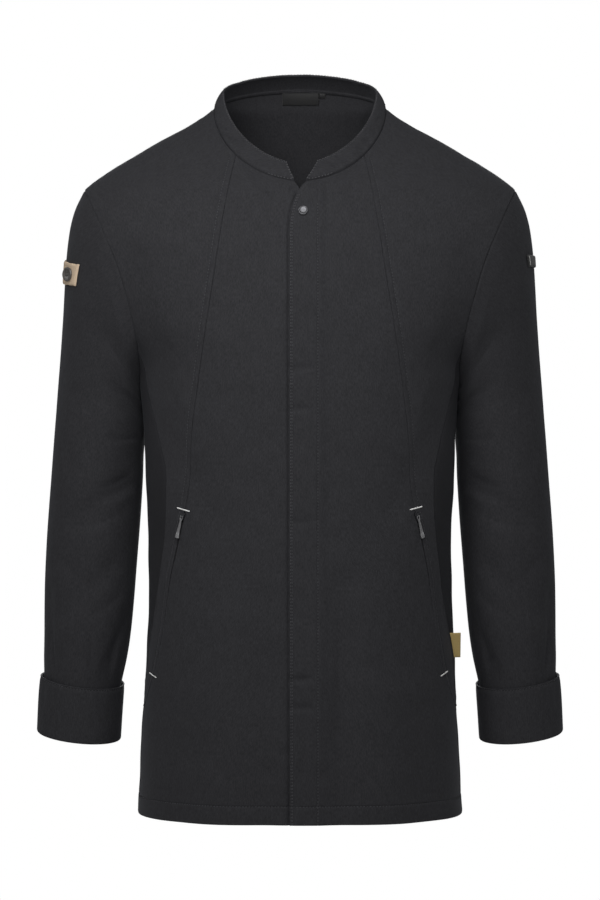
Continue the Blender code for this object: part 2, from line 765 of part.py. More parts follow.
def overlap_lift(base):
    """How far the upper front stands off the body where it laps over the under one."""
    x, _, z = base.T
    across = np.clip((OVERLAP_END + OVERLAP_EASE - x) / OVERLAP_EASE, 0.0, 1.0)
    down = np.clip((OVERLAP_TOP - z) / (OVERLAP_TOP - OVERLAP_FULL), 0.0, 1.0)
    return OVERLAP_LIFT * across**2 * (3.0 - 2.0 * across) * down


def front_centre(name, edge_table, laps, mirror, cloth):
    top = princess_top() - FRONT_TOP_STEP
    rows = []
    for height in [top] + [z for z in front_heights() if z < top - FRONT_ROW_GAP]:
        if height > OVERLAP_TOP:
            start = turn_at_x(neckline_x(height), height)
        else:
            start = turn_at_x(column(edge_table, 1, height), height)
        seam = turn_at_x(princess_x(height), height)
        below_point = height < PRINCESS_SEAM[-1][0]
        end = outer_turn(height, True) if below_point else seam
        in_pocket = POCKET_BOTTOM < height < POCKET_TOP
        trim = POCKET_TRIM if in_pocket else SEAM_TRIM
        lap_end = turn_at_x(OVERLAP_END, height)
        if laps and start < lap_end - NARROWEST_LAP_TURN:
            stops = [start, lap_end, turn_at_x(OVERLAP_END + OVERLAP_EASE, height), end]
        elif laps:
            stops = [start + (end - start) * share for share in NARROW_FRONT_SHARES]
        else:
            stops = [start, end]
        counts = LAPPED_FRONT_COLUMNS if laps else FRONT_COLUMNS
        base = spaced_row(stops, counts, height, SEAM_TRIM, trim)
        flip = np.array([-1.0, 1.0, 1.0]) if mirror else np.ones(3)
        lift = overlap_lift(base) if laps else 0.0
        points, normals = body_points(base * flip, lift)
        rows.append((points, normals))
    return panel(name, rows, cloth)


def front_side(name, side, cloth):
    rows = []
    heights = [FIRST_SHOULDER_ROW] + [z for z in front_heights() if z < SHOULDER_ROWS_BELOW]
    for height in heights:
        if height < PRINCESS_SEAM[-1][0] - NORMAL_STEP:
            continue
        if height > princess_top():
            start = turn_at_x(neckline_x(height), height)
        else:
            start = turn_at_x(princess_x(height), height)
        end = outer_turn(height, True)
        in_pocket = POCKET_BOTTOM < height < POCKET_TOP
        trim = POCKET_TRIM if in_pocket else SEAM_TRIM
        base = spaced_row([start, end], FRONT_SIDE_COLUMNS, height, trim, SEAM_TRIM)
        rows.append(body_points(base * np.array([side, 1.0, 1.0])))
    return panel(name, rows, cloth)


def side_panel(name, side, cloth):
    """The panel under the arm: its top follows the armhole, its sides the two side seams."""
    steps = range(SIDE_PANEL_STEP, ROUND_STEPS - SIDE_PANEL_STEP + 1)
    turns = [180.0 * i / HALF_TURN_STEPS for i in steps]
    top = np.array([armhole_point(turn) for turn in turns])
    shares = (top[:, 1] - top[0, 1]) / (top[-1, 1] - top[0, 1])
    levels = body_heights()
    corner = top[0, 2]
    grid = []
    for level in armhole_heights()[SIDE_PANEL_STEP:]:
        share = (level - corner) / (levels[0] - corner)
        grid.append(top[:, 2] + (levels[0] - top[:, 2]) * share - JOIN_GAP * (1.0 - share))
    grid.extend(np.full(len(turns), level) for level in levels)
    rows = []
    for heights in grid:
        base = []
        for share, height in zip(shares, heights):
            front_y = side_y(height, 1) + SIDE_PANEL_TRIM
            back_y = side_y(height, 2) - SIDE_PANEL_TRIM
            y = front_y + (back_y - front_y) * share
            base.append(body_base(turn_at_y(y, height), height)[0])
        base = np.array(base) * np.array([side, 1.0, 1.0])
        inset = -SIDE_PANEL_INSET * np.clip((UNDERARM[1] - base[:, 2]) / SIDE_PANEL_INSET_EASE, 0.0, 1.0)
        rows.append(body_points(base, inset))
    return panel(name, rows, cloth)


def back_panel(name, cloth):
    neck = [neckline_height(turn) for turn in neck_back_turns()[1:-1]] + [NECK_BACK_RISE * BACK_TOP_SHARE]
    below = [z for z in front_heights() if z < SHOULDER_ROWS_BELOW]
    heights = sorted(neck + [0.0, FIRST_SHOULDER_ROW] + below, reverse=True)
    rows = []
    for height in heights:
        if height > 0.0:
            width, _, squareness = section(height, False)
            share = min(neckline_x(height) / width, 1.0) ** (squareness / 2.0)
            start = 180.0 - math.degrees(math.asin(share))
        else:
            start = outer_turn(height, False)
        base = spaced_row([start, 360.0 - start], BACK_COLUMNS, height, SEAM_TRIM, SEAM_TRIM)
        rows.append(body_points(base))
    return panel(name, rows, cloth)


def collar_ring(share, turns):
    """Points between the neckline (share 0) and the collar's top edge (share 1), at turns in degrees."""
    points = []
    for turn in turns:
        side = -1.0 if turn > 180.0 else 1.0
        turn = min(turn, 360.0 - turn)
        height = neckline_height(turn)
        x = neckline_x(height)
        low = np.array([x, section_y(x, height, turn < 90.0), height])
        power = 2.0 / COLLAR_TOP_SQUARENESS
        sine = math.sin(math.radians(turn)) ** power
        cosine = abs(math.cos(math.radians(turn))) ** power
        if turn < 90.0:
            y = -COLLAR_TOP_FRONT_DEPTH * cosine
            z = COLLAR_TOP_SIDE_HEIGHT - COLLAR_TOP_FRONT_DROP * cosine
        else:
            y = COLLAR_TOP_BACK_DEPTH * cosine
            z = COLLAR_TOP_SIDE_HEIGHT + COLLAR_TOP_BACK_RISE * cosine
        high = np.array([COLLAR_TOP_HALF_WIDTH * sine, y, z])
        up = high - low
        point = low + up * share + up / np.linalg.norm(up) * JOIN_GAP * (1.0 - share)
        points.append(point * np.array([side, 1.0, 1.0]))
    return np.array(points)


def collar(name, cloth):
    left = neck_front_turns() + neck_back_turns()
    turns = np.array(left + [360.0 - turn for turn in left[-2::-1]])
    rows = []
    for i in range(COLLAR_ROWS + 1):
        share = i / COLLAR_ROWS
        firsts = [NECK_FIRST_TURN + (first - NECK_FIRST_TURN) * share for first in COLLAR_TOP_FIRST_TURNS]
        first = np.where(turns < 180.0, firsts[0], firsts[1])
        scale = (180.0 - first) / (180.0 - NECK_FIRST_TURN)
        rows.append(collar_ring(share, 180.0 + (turns - 180.0) * scale))
    grid = np.array(rows)
    along = np.gradient(grid, axis=1)
    up = np.gradient(grid, axis=0)
    normals = np.cross(along, up)
    normals /= np.linalg.norm(normals, axis=-1)[..., None]
    normals[0] = body_normals(grid[0])
    shares = np.linspace(0.0, 1.0, COLLAR_ROWS + 1)[:, None, None]
    grid = grid + normals * COLLAR_BULGE * 4.0 * shares * (1.0 - shares)
    return wall(name, grid, grid - normals * COLLAR_WALL, cloth)


def sleeve(name, side, cloth):
    places = np.linspace(0.0, len(SLEEVE_RINGS) - 1, RINGS_PER_SLEEVE)[:, None]
    turns = np.linspace(0.0, 360.0, ROUND_STEPS, endpoint=False)[None, :]
    outer, normals = sleeve_points(places, turns)
    ahead = sleeve_base(PLACE_STEP * np.ones_like(turns), turns) - outer[0]
    underarm_share = ((1.0 - np.cos(np.radians(turns[0]))) / 2.0) ** UNDERARM_POWER
    outer[0] += (ahead / np.linalg.norm(ahead, axis=-1)[..., None] * ARMHOLE_GAP)[0]
    outer[0] -= normals[0] * (UNDERARM_CLEARANCE * underarm_share)[:, None]
    inner = outer - WALL * normals
    if side < 0:
        outer, inner = mirrored(outer), mirrored(inner)
    return wall(name, outer, inner, cloth, closed=True)


def cuff(name, side, cloth):
    places = np.linspace(0.0, len(CUFF_RINGS) - 1, len(CUFF_RINGS))[:, None]
    turns = np.linspace(0.0, 360.0, ROUND_STEPS, endpoint=False)[None, :]
    outer = cuff_base(places, turns)
    inside = np.clip(places, PLACE_STEP, len(CUFF_RINGS) - 1 - PLACE_STEP)
    inner = outer - CUFF_WALL * tube_normals(cuff_base, inside + 0.0 * turns, turns + 0.0 * places)
    if side < 0:
        outer, inner = mirrored(outer), mirrored(inner)
    return wall(name, outer, inner, cloth, closed=True)


# ---- pockets, fastenings and trim


def pocket_zip(name, side, tape):
    """The closed zip behind the pocket slit."""
    rows = []
    for height in front_heights():
        if not POCKET_BOTTOM < height < POCKET_TOP:
            continue
        middle = turn_at_x(princess_x(height), height)
        reach = ZIP_WIDTH / 2.0
        before = body_base(middle - TURN_STEP, height)[0]
        after = body_base(middle + TURN_STEP, height)[0]
        span = reach * 2.0 * TURN_STEP / np.linalg.norm(after - before)
        base = body_base(np.linspace(middle - span, middle + span, ZIP_COLUMNS + 1), height)
        points, normals = body_points(base * np.array([side, 1.0, 1.0]))
        rows.append((points - (WALL + ZIP_LAY) * normals, normals))
    return panel(name, rows, tape, ZIP_WALL)


def pocket_frame(side, height):
    """Point, normal and downward direction of the pocket slit at a height."""
    places = []
    for z in (height, height - SLIT_STEP):
        base = body_base(turn_at_x(princess_x(z), z), z) * np.array([side, 1.0, 1.0])
        places.append(body_points(base))
    point, normal = places[0][0][0], places[0][1][0]
    down = places[1][0][0] - point
    down = down - normal * float(down @ normal)
    return point, normal, down / np.linalg.norm(down)


def box(name, low, high, place, metal):
    made = bmesh.new()
    size = [h - l for l, h in zip(low, high)]
    middle = [(h + l) / 2.0 for l, h in zip(low, high)]
    bmesh.ops.create_cube(made, size=1.0)
    bmesh.ops.scale(made, vec=size, verts=made.verts)
    bmesh.ops.translate(made, vec=middle, verts=made.verts)
    mesh = bpy.data.meshes.new(name)
    made.to_mesh(mesh)
    made.free()
    mesh.materials.append(metal)
    obj = bpy.data.objects.new(name, mesh)
    obj.matrix_world = place
    bpy.context.scene.collection.objects.link(obj)
    return obj


def combine(obj, other, operation):
    other.hide_render = True
    other.display_type = "WIRE"
    change = obj.modifiers.new(operation.title(), "BOOLEAN")
    change.operation = operation
    change.object = other


def zip_slider(name, side, metal):
    """A slider on the slit, with a bridge that the pull's eye goes round. Its Y points down the slit."""
    point, normal, down = pocket_frame(side, POCKET_TOP - SLIDER_DROP)
    place = frame_at(point + normal * LAY_GAP, normal, down)
    body = box(name, (-SLIDER_WIDTH / 2, -SLIDER_LENGTH / 2, 0.0),
               (SLIDER_WIDTH / 2, SLIDER_LENGTH / 2, SLIDER_HEIGHT), place, metal)
    bridge = box(name + "_bridge", (-BRIDGE_WIDTH / 2, -BRIDGE_LENGTH / 2, SLIDER_HEIGHT / 2),
                 (BRIDGE_WIDTH / 2, BRIDGE_LENGTH / 2, SLIDER_HEIGHT + BRIDGE_HEIGHT), place, metal)
    hole = box(name + "_hole", (-BRIDGE_WIDTH, -BRIDGE_HOLE_LENGTH / 2, SLIDER_HEIGHT),
               (BRIDGE_WIDTH, BRIDGE_HOLE_LENGTH / 2, SLIDER_HEIGHT + BRIDGE_HOLE_HEIGHT), place, metal)
    combine(body, bridge, "UNION")
    combine(body, hole, "DIFFERENCE")
    return place


def zip_pull(name, slider_place, metal):
    """A tapered tab whose eye goes round the bridge. It hinges about its own X."""
    pivot = slider_place @ Matrix.Translation((0.0, 0.0, SLIDER_HEIGHT + BRIDGE_HOLE_HEIGHT / 2))
    half_eye, half_neck, half_end = PULL_EYE_WIDTH / 2, PULL_NECK_WIDTH / 2, PULL_END_WIDTH / 2
    back = -PULL_EYE_RIM / 2
    eye_end = back + PULL_EYE_LENGTH
    half_outline = (
        (half_eye, back),
        (half_eye, eye_end - PULL_SHOULDER),
        (half_neck, eye_end + PULL_NECK_STEP),
        (half_end, back + PULL_LENGTH - PULL_END_ROUND),
        (half_end - PULL_END_CORNER, back + PULL_LENGTH),
    )
    outline = list(half_outline) + [(-x, y) for x, y in reversed(half_outline)]
    count = len(outline)
    vertices = [(x, y, z) for z in (-PULL_WALL / 2, PULL_WALL / 2) for x, y in outline]
    faces = [tuple(range(count))[::-1], tuple(range(count, 2 * count))]
    for i in range(count):
        k = (i + 1) % count
        faces.append((i, k, count + k, count + i))
    pull = new_object(name, vertices, faces, metal)
    pull.matrix_world = pivot
    hole_half = half_eye - PULL_EYE_RIM
    hole = box(name + "_hole", (-hole_half, back + PULL_EYE_RIM, -PULL_WALL),
               (hole_half, eye_end - PULL_EYE_END, PULL_WALL), pivot, metal)
    combine(pull, hole, "DIFFERENCE")


def snap_cap(name, metal):
    """The domed cap of the press stud on the fly."""
    x, height = SNAP_PLACE
    base = body_base(turn_at_x(x, height), height)
    points, normals = body_points(base, overlap_lift(base))
    place = frame_at(points[0] + normals[0] * LAY_GAP, normals[0], (0.0, 0.0, 1.0))
    profile = [(SNAP_RADIUS * radius, SNAP_HEIGHT * rise) for radius, rise in SNAP_PROFILE]
    turned(name, profile, TURNED_STEPS, place, metal)


def strip_place(turn, height):
    """Ring numbers where the plain sleeve has these heights at these turns."""
    turn, height = np.broadcast_arrays(np.asarray(turn, float), np.asarray(height, float))
    low = np.full(turn.shape, STRIP_SEARCH[0])
    high = np.full(turn.shape, STRIP_SEARCH[1])
    for _ in range(SEARCH_STEPS):
        middle = (low + high) / 2.0
        above = sleeve_base(middle, turn)[..., 2] > height
        low = np.where(above, middle, low)
        high = np.where(above, high, middle)
    return low


def sleeve_strip(name, side, ends, columns, rows, thickness, cloth):
    """A flat strip that follows the sleeve between two ends, each a turn with its top and bottom heights."""
    (turn1, top1, bottom1), (turn2, top2, bottom2) = ends
    turns = np.linspace(turn1, turn2, columns + 1)[None, :]
    tops = np.linspace(top1, top2, columns + 1)[None, :]
    bottoms = np.linspace(bottom1, bottom2, columns + 1)[None, :]
    shares = np.linspace(0.0, 1.0, rows + 1)[:, None]
    heights = tops + (bottoms - tops) * shares
    points, normals = sleeve_points(strip_place(turns, heights), turns)
    inner = points + normals * SLEEVE_LAY_GAP
    outer = inner + normals * thickness
    if side < 0:
        outer, inner = mirrored(outer), mirrored(inner)
    return wall(name, outer, inner, cloth)


def tab_button(name, cloth):
    """The button on the tab, which leans forwards on its thread."""
    place = strip_place(BUTTON_TURN, BUTTON_CENTRE_HEIGHT)
    points, normals = sleeve_points(place, BUTTON_TURN, SLEEVE_LAY_GAP + TAB_WALL)
    point, normal = mirrored(points), Vector(mirrored(normals))
    lean = Matrix.Rotation(math.radians(BUTTON_TILT), 3, "Z") @ normal
    spot = frame_at(Vector(point) + normal * BUTTON_LIFT, lean, (0.0, 0.0, 1.0))
    profile = [(BUTTON_RADIUS * radius, BUTTON_HEIGHT * rise) for radius, rise in BUTTON_PROFILE]
    turned(name, profile, TURNED_STEPS, spot, cloth)


def inner_label(name, x_range, z_range, columns, rows, cloth):
    """A label that hangs against the inside of the back."""
    grid = []
    for height in np.linspace(z_range[0], z_range[1], rows + 1):
        width, _, squareness = section(height, False)
        turns = []
        for x in np.linspace(x_range[0], x_range[1], columns + 1):
            share = (abs(x) / width) ** (squareness / 2.0)
            turns.append(180.0 - math.copysign(math.degrees(math.asin(share)), x))
        points, normals = body_points(body_base(turns, height))
        grid.append((points - (WALL + LAY_GAP) * normals, normals))
    return panel(name, grid, cloth, LABEL_WALL)


def side_label(name, cloth):
    """A folded flag that stands out of the left front side seam."""
    turn = math.radians(SIDE_LABEL_TURN)
    out = np.array([math.cos(turn), math.sin(turn), 0.0])
    rows = []
    for height in np.linspace(*SIDE_LABEL_Z, 4):
        edge = body_base(turn_at_y(side_y(height, 1), height), height)
        points, normals = body_points(edge)
        start = points[0] + normals[0] * (JOIN_GAP + LABEL_WALL)
        rows.append([start + out * SIDE_LABEL_LENGTH * share for share in np.linspace(0.0, 1.0, 4)])
    outer = np.array(rows)
    across = np.array([-out[1], out[0], 0.0])
    return wall(name, outer, outer + across * LABEL_WALL, cloth)


def main():
    for obj in list(bpy.data.objects):
        bpy.data.objects.remove(obj)

    made = {row[0]: material(*row) for row in MATERIALS}
    twill = made["charcoal_twill"]
    tape = made["black_zip_tape"]
    steel = made["brushed_steel"]
    woven = made["black_woven_label"]

    front_centre("front_centre_left", UPPER_EDGE, True, False, twill)
    front_centre("front_centre_right", UNDER_EDGE, False, True, twill)
    back_panel("back", twill)
    collar("collar", twill)
    for word, side in (("left", 1.0), ("right", -1.0)):
        front_side("front_side_" + word, side, twill)
        side_panel("side_panel_" + word, side, made["dark_side_twill"])
        sleeve("sleeve_" + word, side, twill)
        cuff("cuff_" + word, side, twill)
        pocket_zip("pocket_zip_" + word, side, tape)
        place = zip_slider("zip_slider_" + word, side, made["gunmetal"])
        zip_pull("zip_pull_" + word, place, steel)
    snap_cap("snap_cap", steel)
    sleeve_strip("sleeve_tab", -1.0, TAB_ENDS, 8, 3, TAB_WALL, made["tan_canvas"])
    tab_button("tab_button", made["dark_button"])
    sleeve_strip("sleeve_loop", 1.0, LOOP_ENDS, 8, 1, LOOP_WALL, woven)
    inner_label("neck_label", NECK_LABEL_X, NECK_LABEL_Z, 4, 2, woven)
    inner_label("size_tab", SIZE_TAB_X, SIZE_TAB_Z, 2, 1, woven)
    side_label("side_label", made["tan_woven_label"])


main()
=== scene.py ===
"""Looks of a long-sleeved chef jacket, filled out as if worn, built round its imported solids.

Metres, +Z up. The front faces -Y and the wearer's left is +X. The origin is the middle of the neck. The cloth
is cut from the same level sections and sleeve rings as the solids, then finished with creases, seam relief,
topstitching, bar tacks, zips and trim.
"""

import math

import bmesh
import bpy
import numpy as np
from mathutils import Matrix, Vector


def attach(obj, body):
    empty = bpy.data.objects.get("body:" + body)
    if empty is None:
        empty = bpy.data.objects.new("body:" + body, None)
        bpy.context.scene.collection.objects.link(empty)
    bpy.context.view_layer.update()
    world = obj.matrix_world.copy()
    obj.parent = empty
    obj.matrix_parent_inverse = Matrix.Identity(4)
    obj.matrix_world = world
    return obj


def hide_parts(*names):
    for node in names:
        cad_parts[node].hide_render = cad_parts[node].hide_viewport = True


bl_info = {
    "name": "Chef jacket",
    "version": (1, 0, 0),
    "blender": (4, 5, 0),
    "location": "3D View > Sidebar > Jacket",
    "description": "Builds the cloth, stitching, zips and trim of a chef jacket round its solids",
    "category": "Object",
}

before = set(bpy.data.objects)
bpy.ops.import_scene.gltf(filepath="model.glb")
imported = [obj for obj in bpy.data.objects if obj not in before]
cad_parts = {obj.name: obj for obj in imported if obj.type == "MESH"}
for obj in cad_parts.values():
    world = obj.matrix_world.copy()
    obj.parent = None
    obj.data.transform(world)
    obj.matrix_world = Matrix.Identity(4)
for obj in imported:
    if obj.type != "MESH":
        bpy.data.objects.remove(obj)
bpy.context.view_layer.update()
BODY = "jacket"

# Cloth thickness, rounded edges and the gaps at seams
WALL = 0.0014
COLLAR_WALL = 0.0020
CUFF_WALL = 0.0022
EDGE_ROUND = 0.0010
EDGE_SHARE = 0.30
PRINCESS_EDGE = 0.30
SEAM_TRIM = 0.0002
POCKET_TRIM = 0.0006
PRINCESS_TRIM = 0.00005
SHUT_TRIM = 0.00003
SLIT_SHUT = -0.5600
JOIN_GAP = 0.0005
LAY_GAP = 0.0004
SLEEVE_LAY_GAP = 0.0009
NORMAL_STEP = 0.0004

# Neckline and collar
NECK_HALF_WIDTH = 0.0950
NECK_FRONT_DROP = 0.0875
NECK_BACK_RISE = 0.0260
NECK_SQUARENESS = 1.9
NECK_FIRST_TURN = 4.0
COLLAR_TOP_HALF_WIDTH = 0.0845
COLLAR_TOP_SIDE_HEIGHT = 0.0195
COLLAR_TOP_FRONT_DROP = 0.0870
COLLAR_TOP_BACK_RISE = 0.0230
COLLAR_TOP_FRONT_DEPTH = 0.0800
COLLAR_TOP_BACK_DEPTH = 0.0420
COLLAR_TOP_SQUARENESS = 1.8
COLLAR_TOP_FIRST_TURNS = (15.2, 12.0)
COLLAR_BULGE = 0.0012

# Shoulders, armholes, pockets and hem
SHOULDER_TIP = (0.2365, -0.0900)
UNDERARM = (0.1750, -0.3050)
ARMHOLE_FRONT_SCOOP = 0.0135
ARMHOLE_BACK_SCOOP = 0.0095
HALF_TURN_STEPS = 12
SIDE_PANEL_STEP = 9
POCKET_TOP = -0.4420
POCKET_BOTTOM = -0.6190
POCKET_SEAM_END = -0.6552
HEM_HEIGHT = -0.7720
FRONT_TOP_STEP = 0.0007
FRONT_SIDE_TOP = -0.0025
FRONT_SIDE_POINT = 0.0008
BACK_TOP_SHARE = 0.992

# The upper front laps over the under one and rolls at its edge; a groove runs beside it
OVERLAP_LIFT = WALL + 0.0006
OVERLAP_END = 0.0195
OVERLAP_EASE = 0.0110
OVERLAP_TOP = -0.0875
OVERLAP_FULL = -0.0925
FLY_ROLL = 0.0005
FLY_ROLL_REACH = 0.0012
UNDER_GROOVE = 0.0022
UNDER_GROOVE_WIDTH = 0.0013

# The side panels and the back go under the edges sewn over them, and the fronts' lower edges stand up
SIDE_PANEL_INSET = 0.0012
SIDE_PANEL_INSET_TOP = -0.4200
SIDE_PANEL_INSET_EASE = 0.0800
SIDE_PANEL_FADE = (-0.6200, -0.6800)
SIDE_PANEL_TRIM = 0.0006
SIDE_PANEL_LAP = 0.0016
SIDE_PANEL_LAP_EASE = 0.0300
LAP_TUCK = 0.0017
LAP_TUCK_REACH = 0.0050
SHOULDER_LAP_TURN = 0.5
SIDE_EDGE_TOP = -0.4300
SIDE_EDGE_BOTTOM = -0.6700
SIDE_EDGE_EASE = 0.0900
SIDE_EDGE_RISE = 0.0007
SIDE_EDGE_WIDTH = 0.0014
SEAM_END_FADE = 0.0200

# Collar and sleeves tuck in where they are sewn on, and a little of them is hidden
JOIN_TUCK = 0.0023
JOIN_TUCK_TOP = 0.0012
JOIN_TUCK_REACH = 0.0038
JOIN_HIDDEN = (0.0030, 0.0015)
JOIN_CARRY = 0.0350
COLLAR_TUCK = 0.0023
COLLAR_TUCK_BACK = 0.0006
COLLAR_TUCK_REACH = 0.0022
SLEEVE_JOIN_RINGS = 3.0

# Half width of the sections. Between the shoulder tip and the underarm they reach past the armhole.
# Columns: height, half_width
HALF_WIDTHS = (
    (0.026, 0.084),
    (0.0215, 0.0885),
    (0.013, 0.0925),
    (0.0, 0.095),
    (-0.0172, 0.1175),
    (-0.0372, 0.1545),
    (-0.0504, 0.1768),
    (-0.0636, 0.1992),
    (-0.0768, 0.2195),
    (-0.09, 0.2365),
    (-0.102, 0.2468),
    (-0.12, 0.255),
    (-0.14, 0.2575),
    (-0.17, 0.25),
    (-0.205, 0.231),
    (-0.25, 0.201),
    (-0.28, 0.18),
    (-0.305, 0.175),
    (-0.34, 0.1722),
    (-0.3705, 0.1704),
    (-0.431, 0.168),
    (-0.484, 0.1665),
    (-0.537, 0.167),
    (-0.59, 0.1695),
    (-0.629, 0.1715),
    (-0.695, 0.1745),
    (-0.748, 0.177),
    (-0.772, 0.178),
)

# Columns: height, front, back, squareness
DEPTHS = (
    (0.026, 0.001, 0.06, 2.0),
    (0.013, 0.001, 0.0645, 2.0),
    (0.0, 0.003, 0.069, 2.0),
    (-0.0025, 0.01, 0.0702, 2.0),
    (-0.0152, 0.0285, 0.076, 2.0),
    (-0.03, 0.0415, 0.0825, 2.0),
    (-0.05, 0.0595, 0.0905, 2.0),
    (-0.07, 0.0752, 0.097, 2.02),
    (-0.0875, 0.0876, 0.102, 2.05),
    (-0.11, 0.0992, 0.108, 2.1),
    (-0.13, 0.1068, 0.113, 2.12),
    (-0.15, 0.1128, 0.1175, 2.15),
    (-0.2, 0.122, 0.1265, 2.2),
    (-0.25, 0.1265, 0.129, 2.3),
    (-0.305, 0.1285, 0.1285, 2.4),
    (-0.37, 0.1285, 0.125, 2.45),
    (-0.45, 0.1295, 0.123, 2.5),
    (-0.55, 0.1335, 0.127, 2.5),
    (-0.65, 0.1385, 0.1335, 2.5),
    (-0.772, 0.143, 0.14, 2.5),
)

# How far the front edges are from the centre: the upper one laps past it, the under one lies behind.
# Columns: height, x
UPPER_EDGE = (
    (-0.0875, 0.0062),
    (-0.0955, 0.0),
    (-0.108, -0.0058),
    (-0.119, -0.0092),
    (-0.131, -0.0108),
    (-0.15, -0.0117),
    (-0.45, -0.0117),
    (-0.772, -0.011),
)
UNDER_EDGE = (
    (-0.0875, 0.0062),
    (-0.0955, 0.0),
    (-0.108, -0.007),
    (-0.123, -0.014),
    (-0.14, -0.018),
    (-0.45, -0.018),
    (-0.772, -0.018),
)

# Columns: height, x
PRINCESS_SEAM = (
    (-0.055, 0.0688),
    (-0.1, 0.078),
    (-0.173, 0.0892),
    (-0.246, 0.1005),
    (-0.32, 0.111),
    (-0.36, 0.116),
    (-0.4376, 0.123),
    (-0.47, 0.13),
    (-0.515, 0.1392),
    (-0.5474, 0.1436),
    (-0.58, 0.1483),
    (-0.6186, 0.1565),
    (-0.6552, 0.17),
)

# Below the corners where the side seams leave the armhole.
# Columns: height, front_y, back_y
SIDE_SEAMS = (
    (-0.305, -0.046, 0.043),
    (-0.33, -0.056, 0.052),
    (-0.37, -0.073, 0.057),
    (-0.41, -0.082, 0.06),
    (-0.45, -0.081, 0.061),
    (-0.4935, -0.075, 0.061),
    (-0.5447, -0.0645, 0.059),
    (-0.59, -0.05, 0.056),
    (-0.632, -0.039, 0.053),
    (-0.7, -0.029, 0.05),
    (-0.772, -0.023, 0.048),
)

# Folds: ends of the fold's line, half its width, and its depth (minus is a hollow).
# Columns: x1, z1, x2, z2, half_width, depth
FRONT_FOLDS = (
    (-0.034, -0.6, -0.038, -0.79, 0.018, -0.003),
    (-0.08, -0.56, -0.094, -0.79, 0.024, 0.0028),
    (-0.125, -0.69, -0.132, -0.79, 0.018, -0.0025),
    (0.044, -0.52, 0.046, -0.79, 0.017, -0.0032),
    (0.084, -0.64, 0.098, -0.79, 0.022, 0.0026),
    (0.13, -0.66, 0.138, -0.79, 0.018, -0.0026),
    (-0.158, -0.33, -0.095, -0.45, 0.02, -0.0026),
    (0.16, -0.33, 0.102, -0.44, 0.02, -0.003),
    (-0.186, -0.17, -0.16, -0.29, 0.022, -0.0034),
    (0.188, -0.16, 0.162, -0.285, 0.022, -0.003),
    (-0.06, -0.105, -0.1, -0.12, 0.012, -0.0015),
    (0.062, -0.108, 0.098, -0.122, 0.012, -0.0015),
)
BACK_FOLDS = (
    (-0.062, -0.24, -0.072, -0.79, 0.024, 0.0045),
    (0.058, -0.26, 0.07, -0.79, 0.024, 0.004),
    (0.0, -0.33, 0.004, -0.79, 0.028, -0.0045),
    (-0.112, -0.42, -0.124, -0.79, 0.02, -0.0036),
    (0.116, -0.4, 0.12, -0.79, 0.02, -0.004),
    (-0.168, -0.18, -0.12, -0.3, 0.02, -0.0032),
    (0.166, -0.19, 0.122, -0.31, 0.02, -0.0036),
    (-0.1, -0.395, 0.02, -0.425, 0.016, -0.0022),
)

# Columns: outer_x, outer_z, inner_x, inner_z, middle_y, half_depth, front_drop
SLEEVE_RINGS = (
    (0.2365, -0.09, 0.175, -0.305, 0.004, 0.066, 0.0),
    (0.248, -0.115, 0.1764, -0.313, 0.01, 0.069, 0.0),
    (0.2555, -0.15, 0.1758, -0.3215, 0.016, 0.07, 0.0),
    (0.2605, -0.192, 0.1744, -0.3305, 0.022, 0.069, 0.0),
    (0.2637, -0.235, 0.1726, -0.341, 0.027, 0.067, 0.0),
    (0.2665, -0.28, 0.1708, -0.353, 0.03, 0.065, 0.0),
    (0.2697, -0.323, 0.1715, -0.368, 0.031, 0.063, 0.0),
    (0.2727, -0.362, 0.1735, -0.384, 0.031, 0.061, 0.0),
    (0.2752, -0.4, 0.1748, -0.406, 0.0305, 0.0595, 0.0),
    (0.2772, -0.43, 0.1765, -0.431, 0.03, 0.058, 0.0),
    (0.2795, -0.465, 0.1787, -0.466, 0.029, 0.056, 0.001),
    (0.2812, -0.5, 0.1808, -0.501, 0.028, 0.054, 0.002),
    (0.2828, -0.535, 0.1832, -0.538, 0.027, 0.052, 0.003),
    (0.2842, -0.57, 0.1868, -0.574, 0.026, 0.0495, 0.004),
    (0.2848, -0.6, 0.1915, -0.606, 0.0255, 0.0465, 0.005),
    (0.2836, -0.63, 0.1978, -0.639, 0.0255, 0.0438, 0.006),
    (0.2855, -0.658, 0.1995, -0.668, 0.0255, 0.0438, 0.006),
    (0.2876, -0.684, 0.2018, -0.6935, 0.0255, 0.0438, 0.006),
)
CUFF_RINGS = (
    (0.2866, -0.6245, 0.1946, -0.6355, 0.0255, 0.0472, 0.006),
    (0.288, -0.64, 0.1955, -0.651, 0.0255, 0.0474, 0.006),
    (0.2892, -0.656, 0.1967, -0.6665, 0.0255, 0.0476, 0.006),
    (0.2904, -0.672, 0.1979, -0.682, 0.0255, 0.0476, 0.006),
    (0.2916, -0.686, 0.199, -0.696, 0.0255, 0.0474, 0.006),
)

# Folds of the left sleeve by ring number and turn; the right sleeve mirrors them.
# Columns: ring1, turn1, ring2, turn2, half_width, depth
SLEEVE_FOLDS = (
    (1.6, 118.0, 3.4, 62.0, 0.014, -0.0012),
    (3.6, 128.0, 5.4, 78.0, 0.016, -0.0012),
    (1.8, 240.0, 3.8, 300.0, 0.016, -0.0036),
    (4.2, 232.0, 6.2, 290.0, 0.016, -0.0036),
    (8.4, 140.0, 9.6, 70.0, 0.013, -0.003),
    (10.2, 235.0, 9.2, 300.0, 0.014, -0.0034),
    (11.0, 120.0, 12.4, 60.0, 0.012, -0.0022),
    (12.0, 30.0, 14.6, 52.0, 0.01, -0.0024),
    (12.6, 150.0, 14.6, 118.0, 0.01, -0.0022),
    (12.2, 250.0, 14.6, 285.0, 0.011, -0.0026),
)

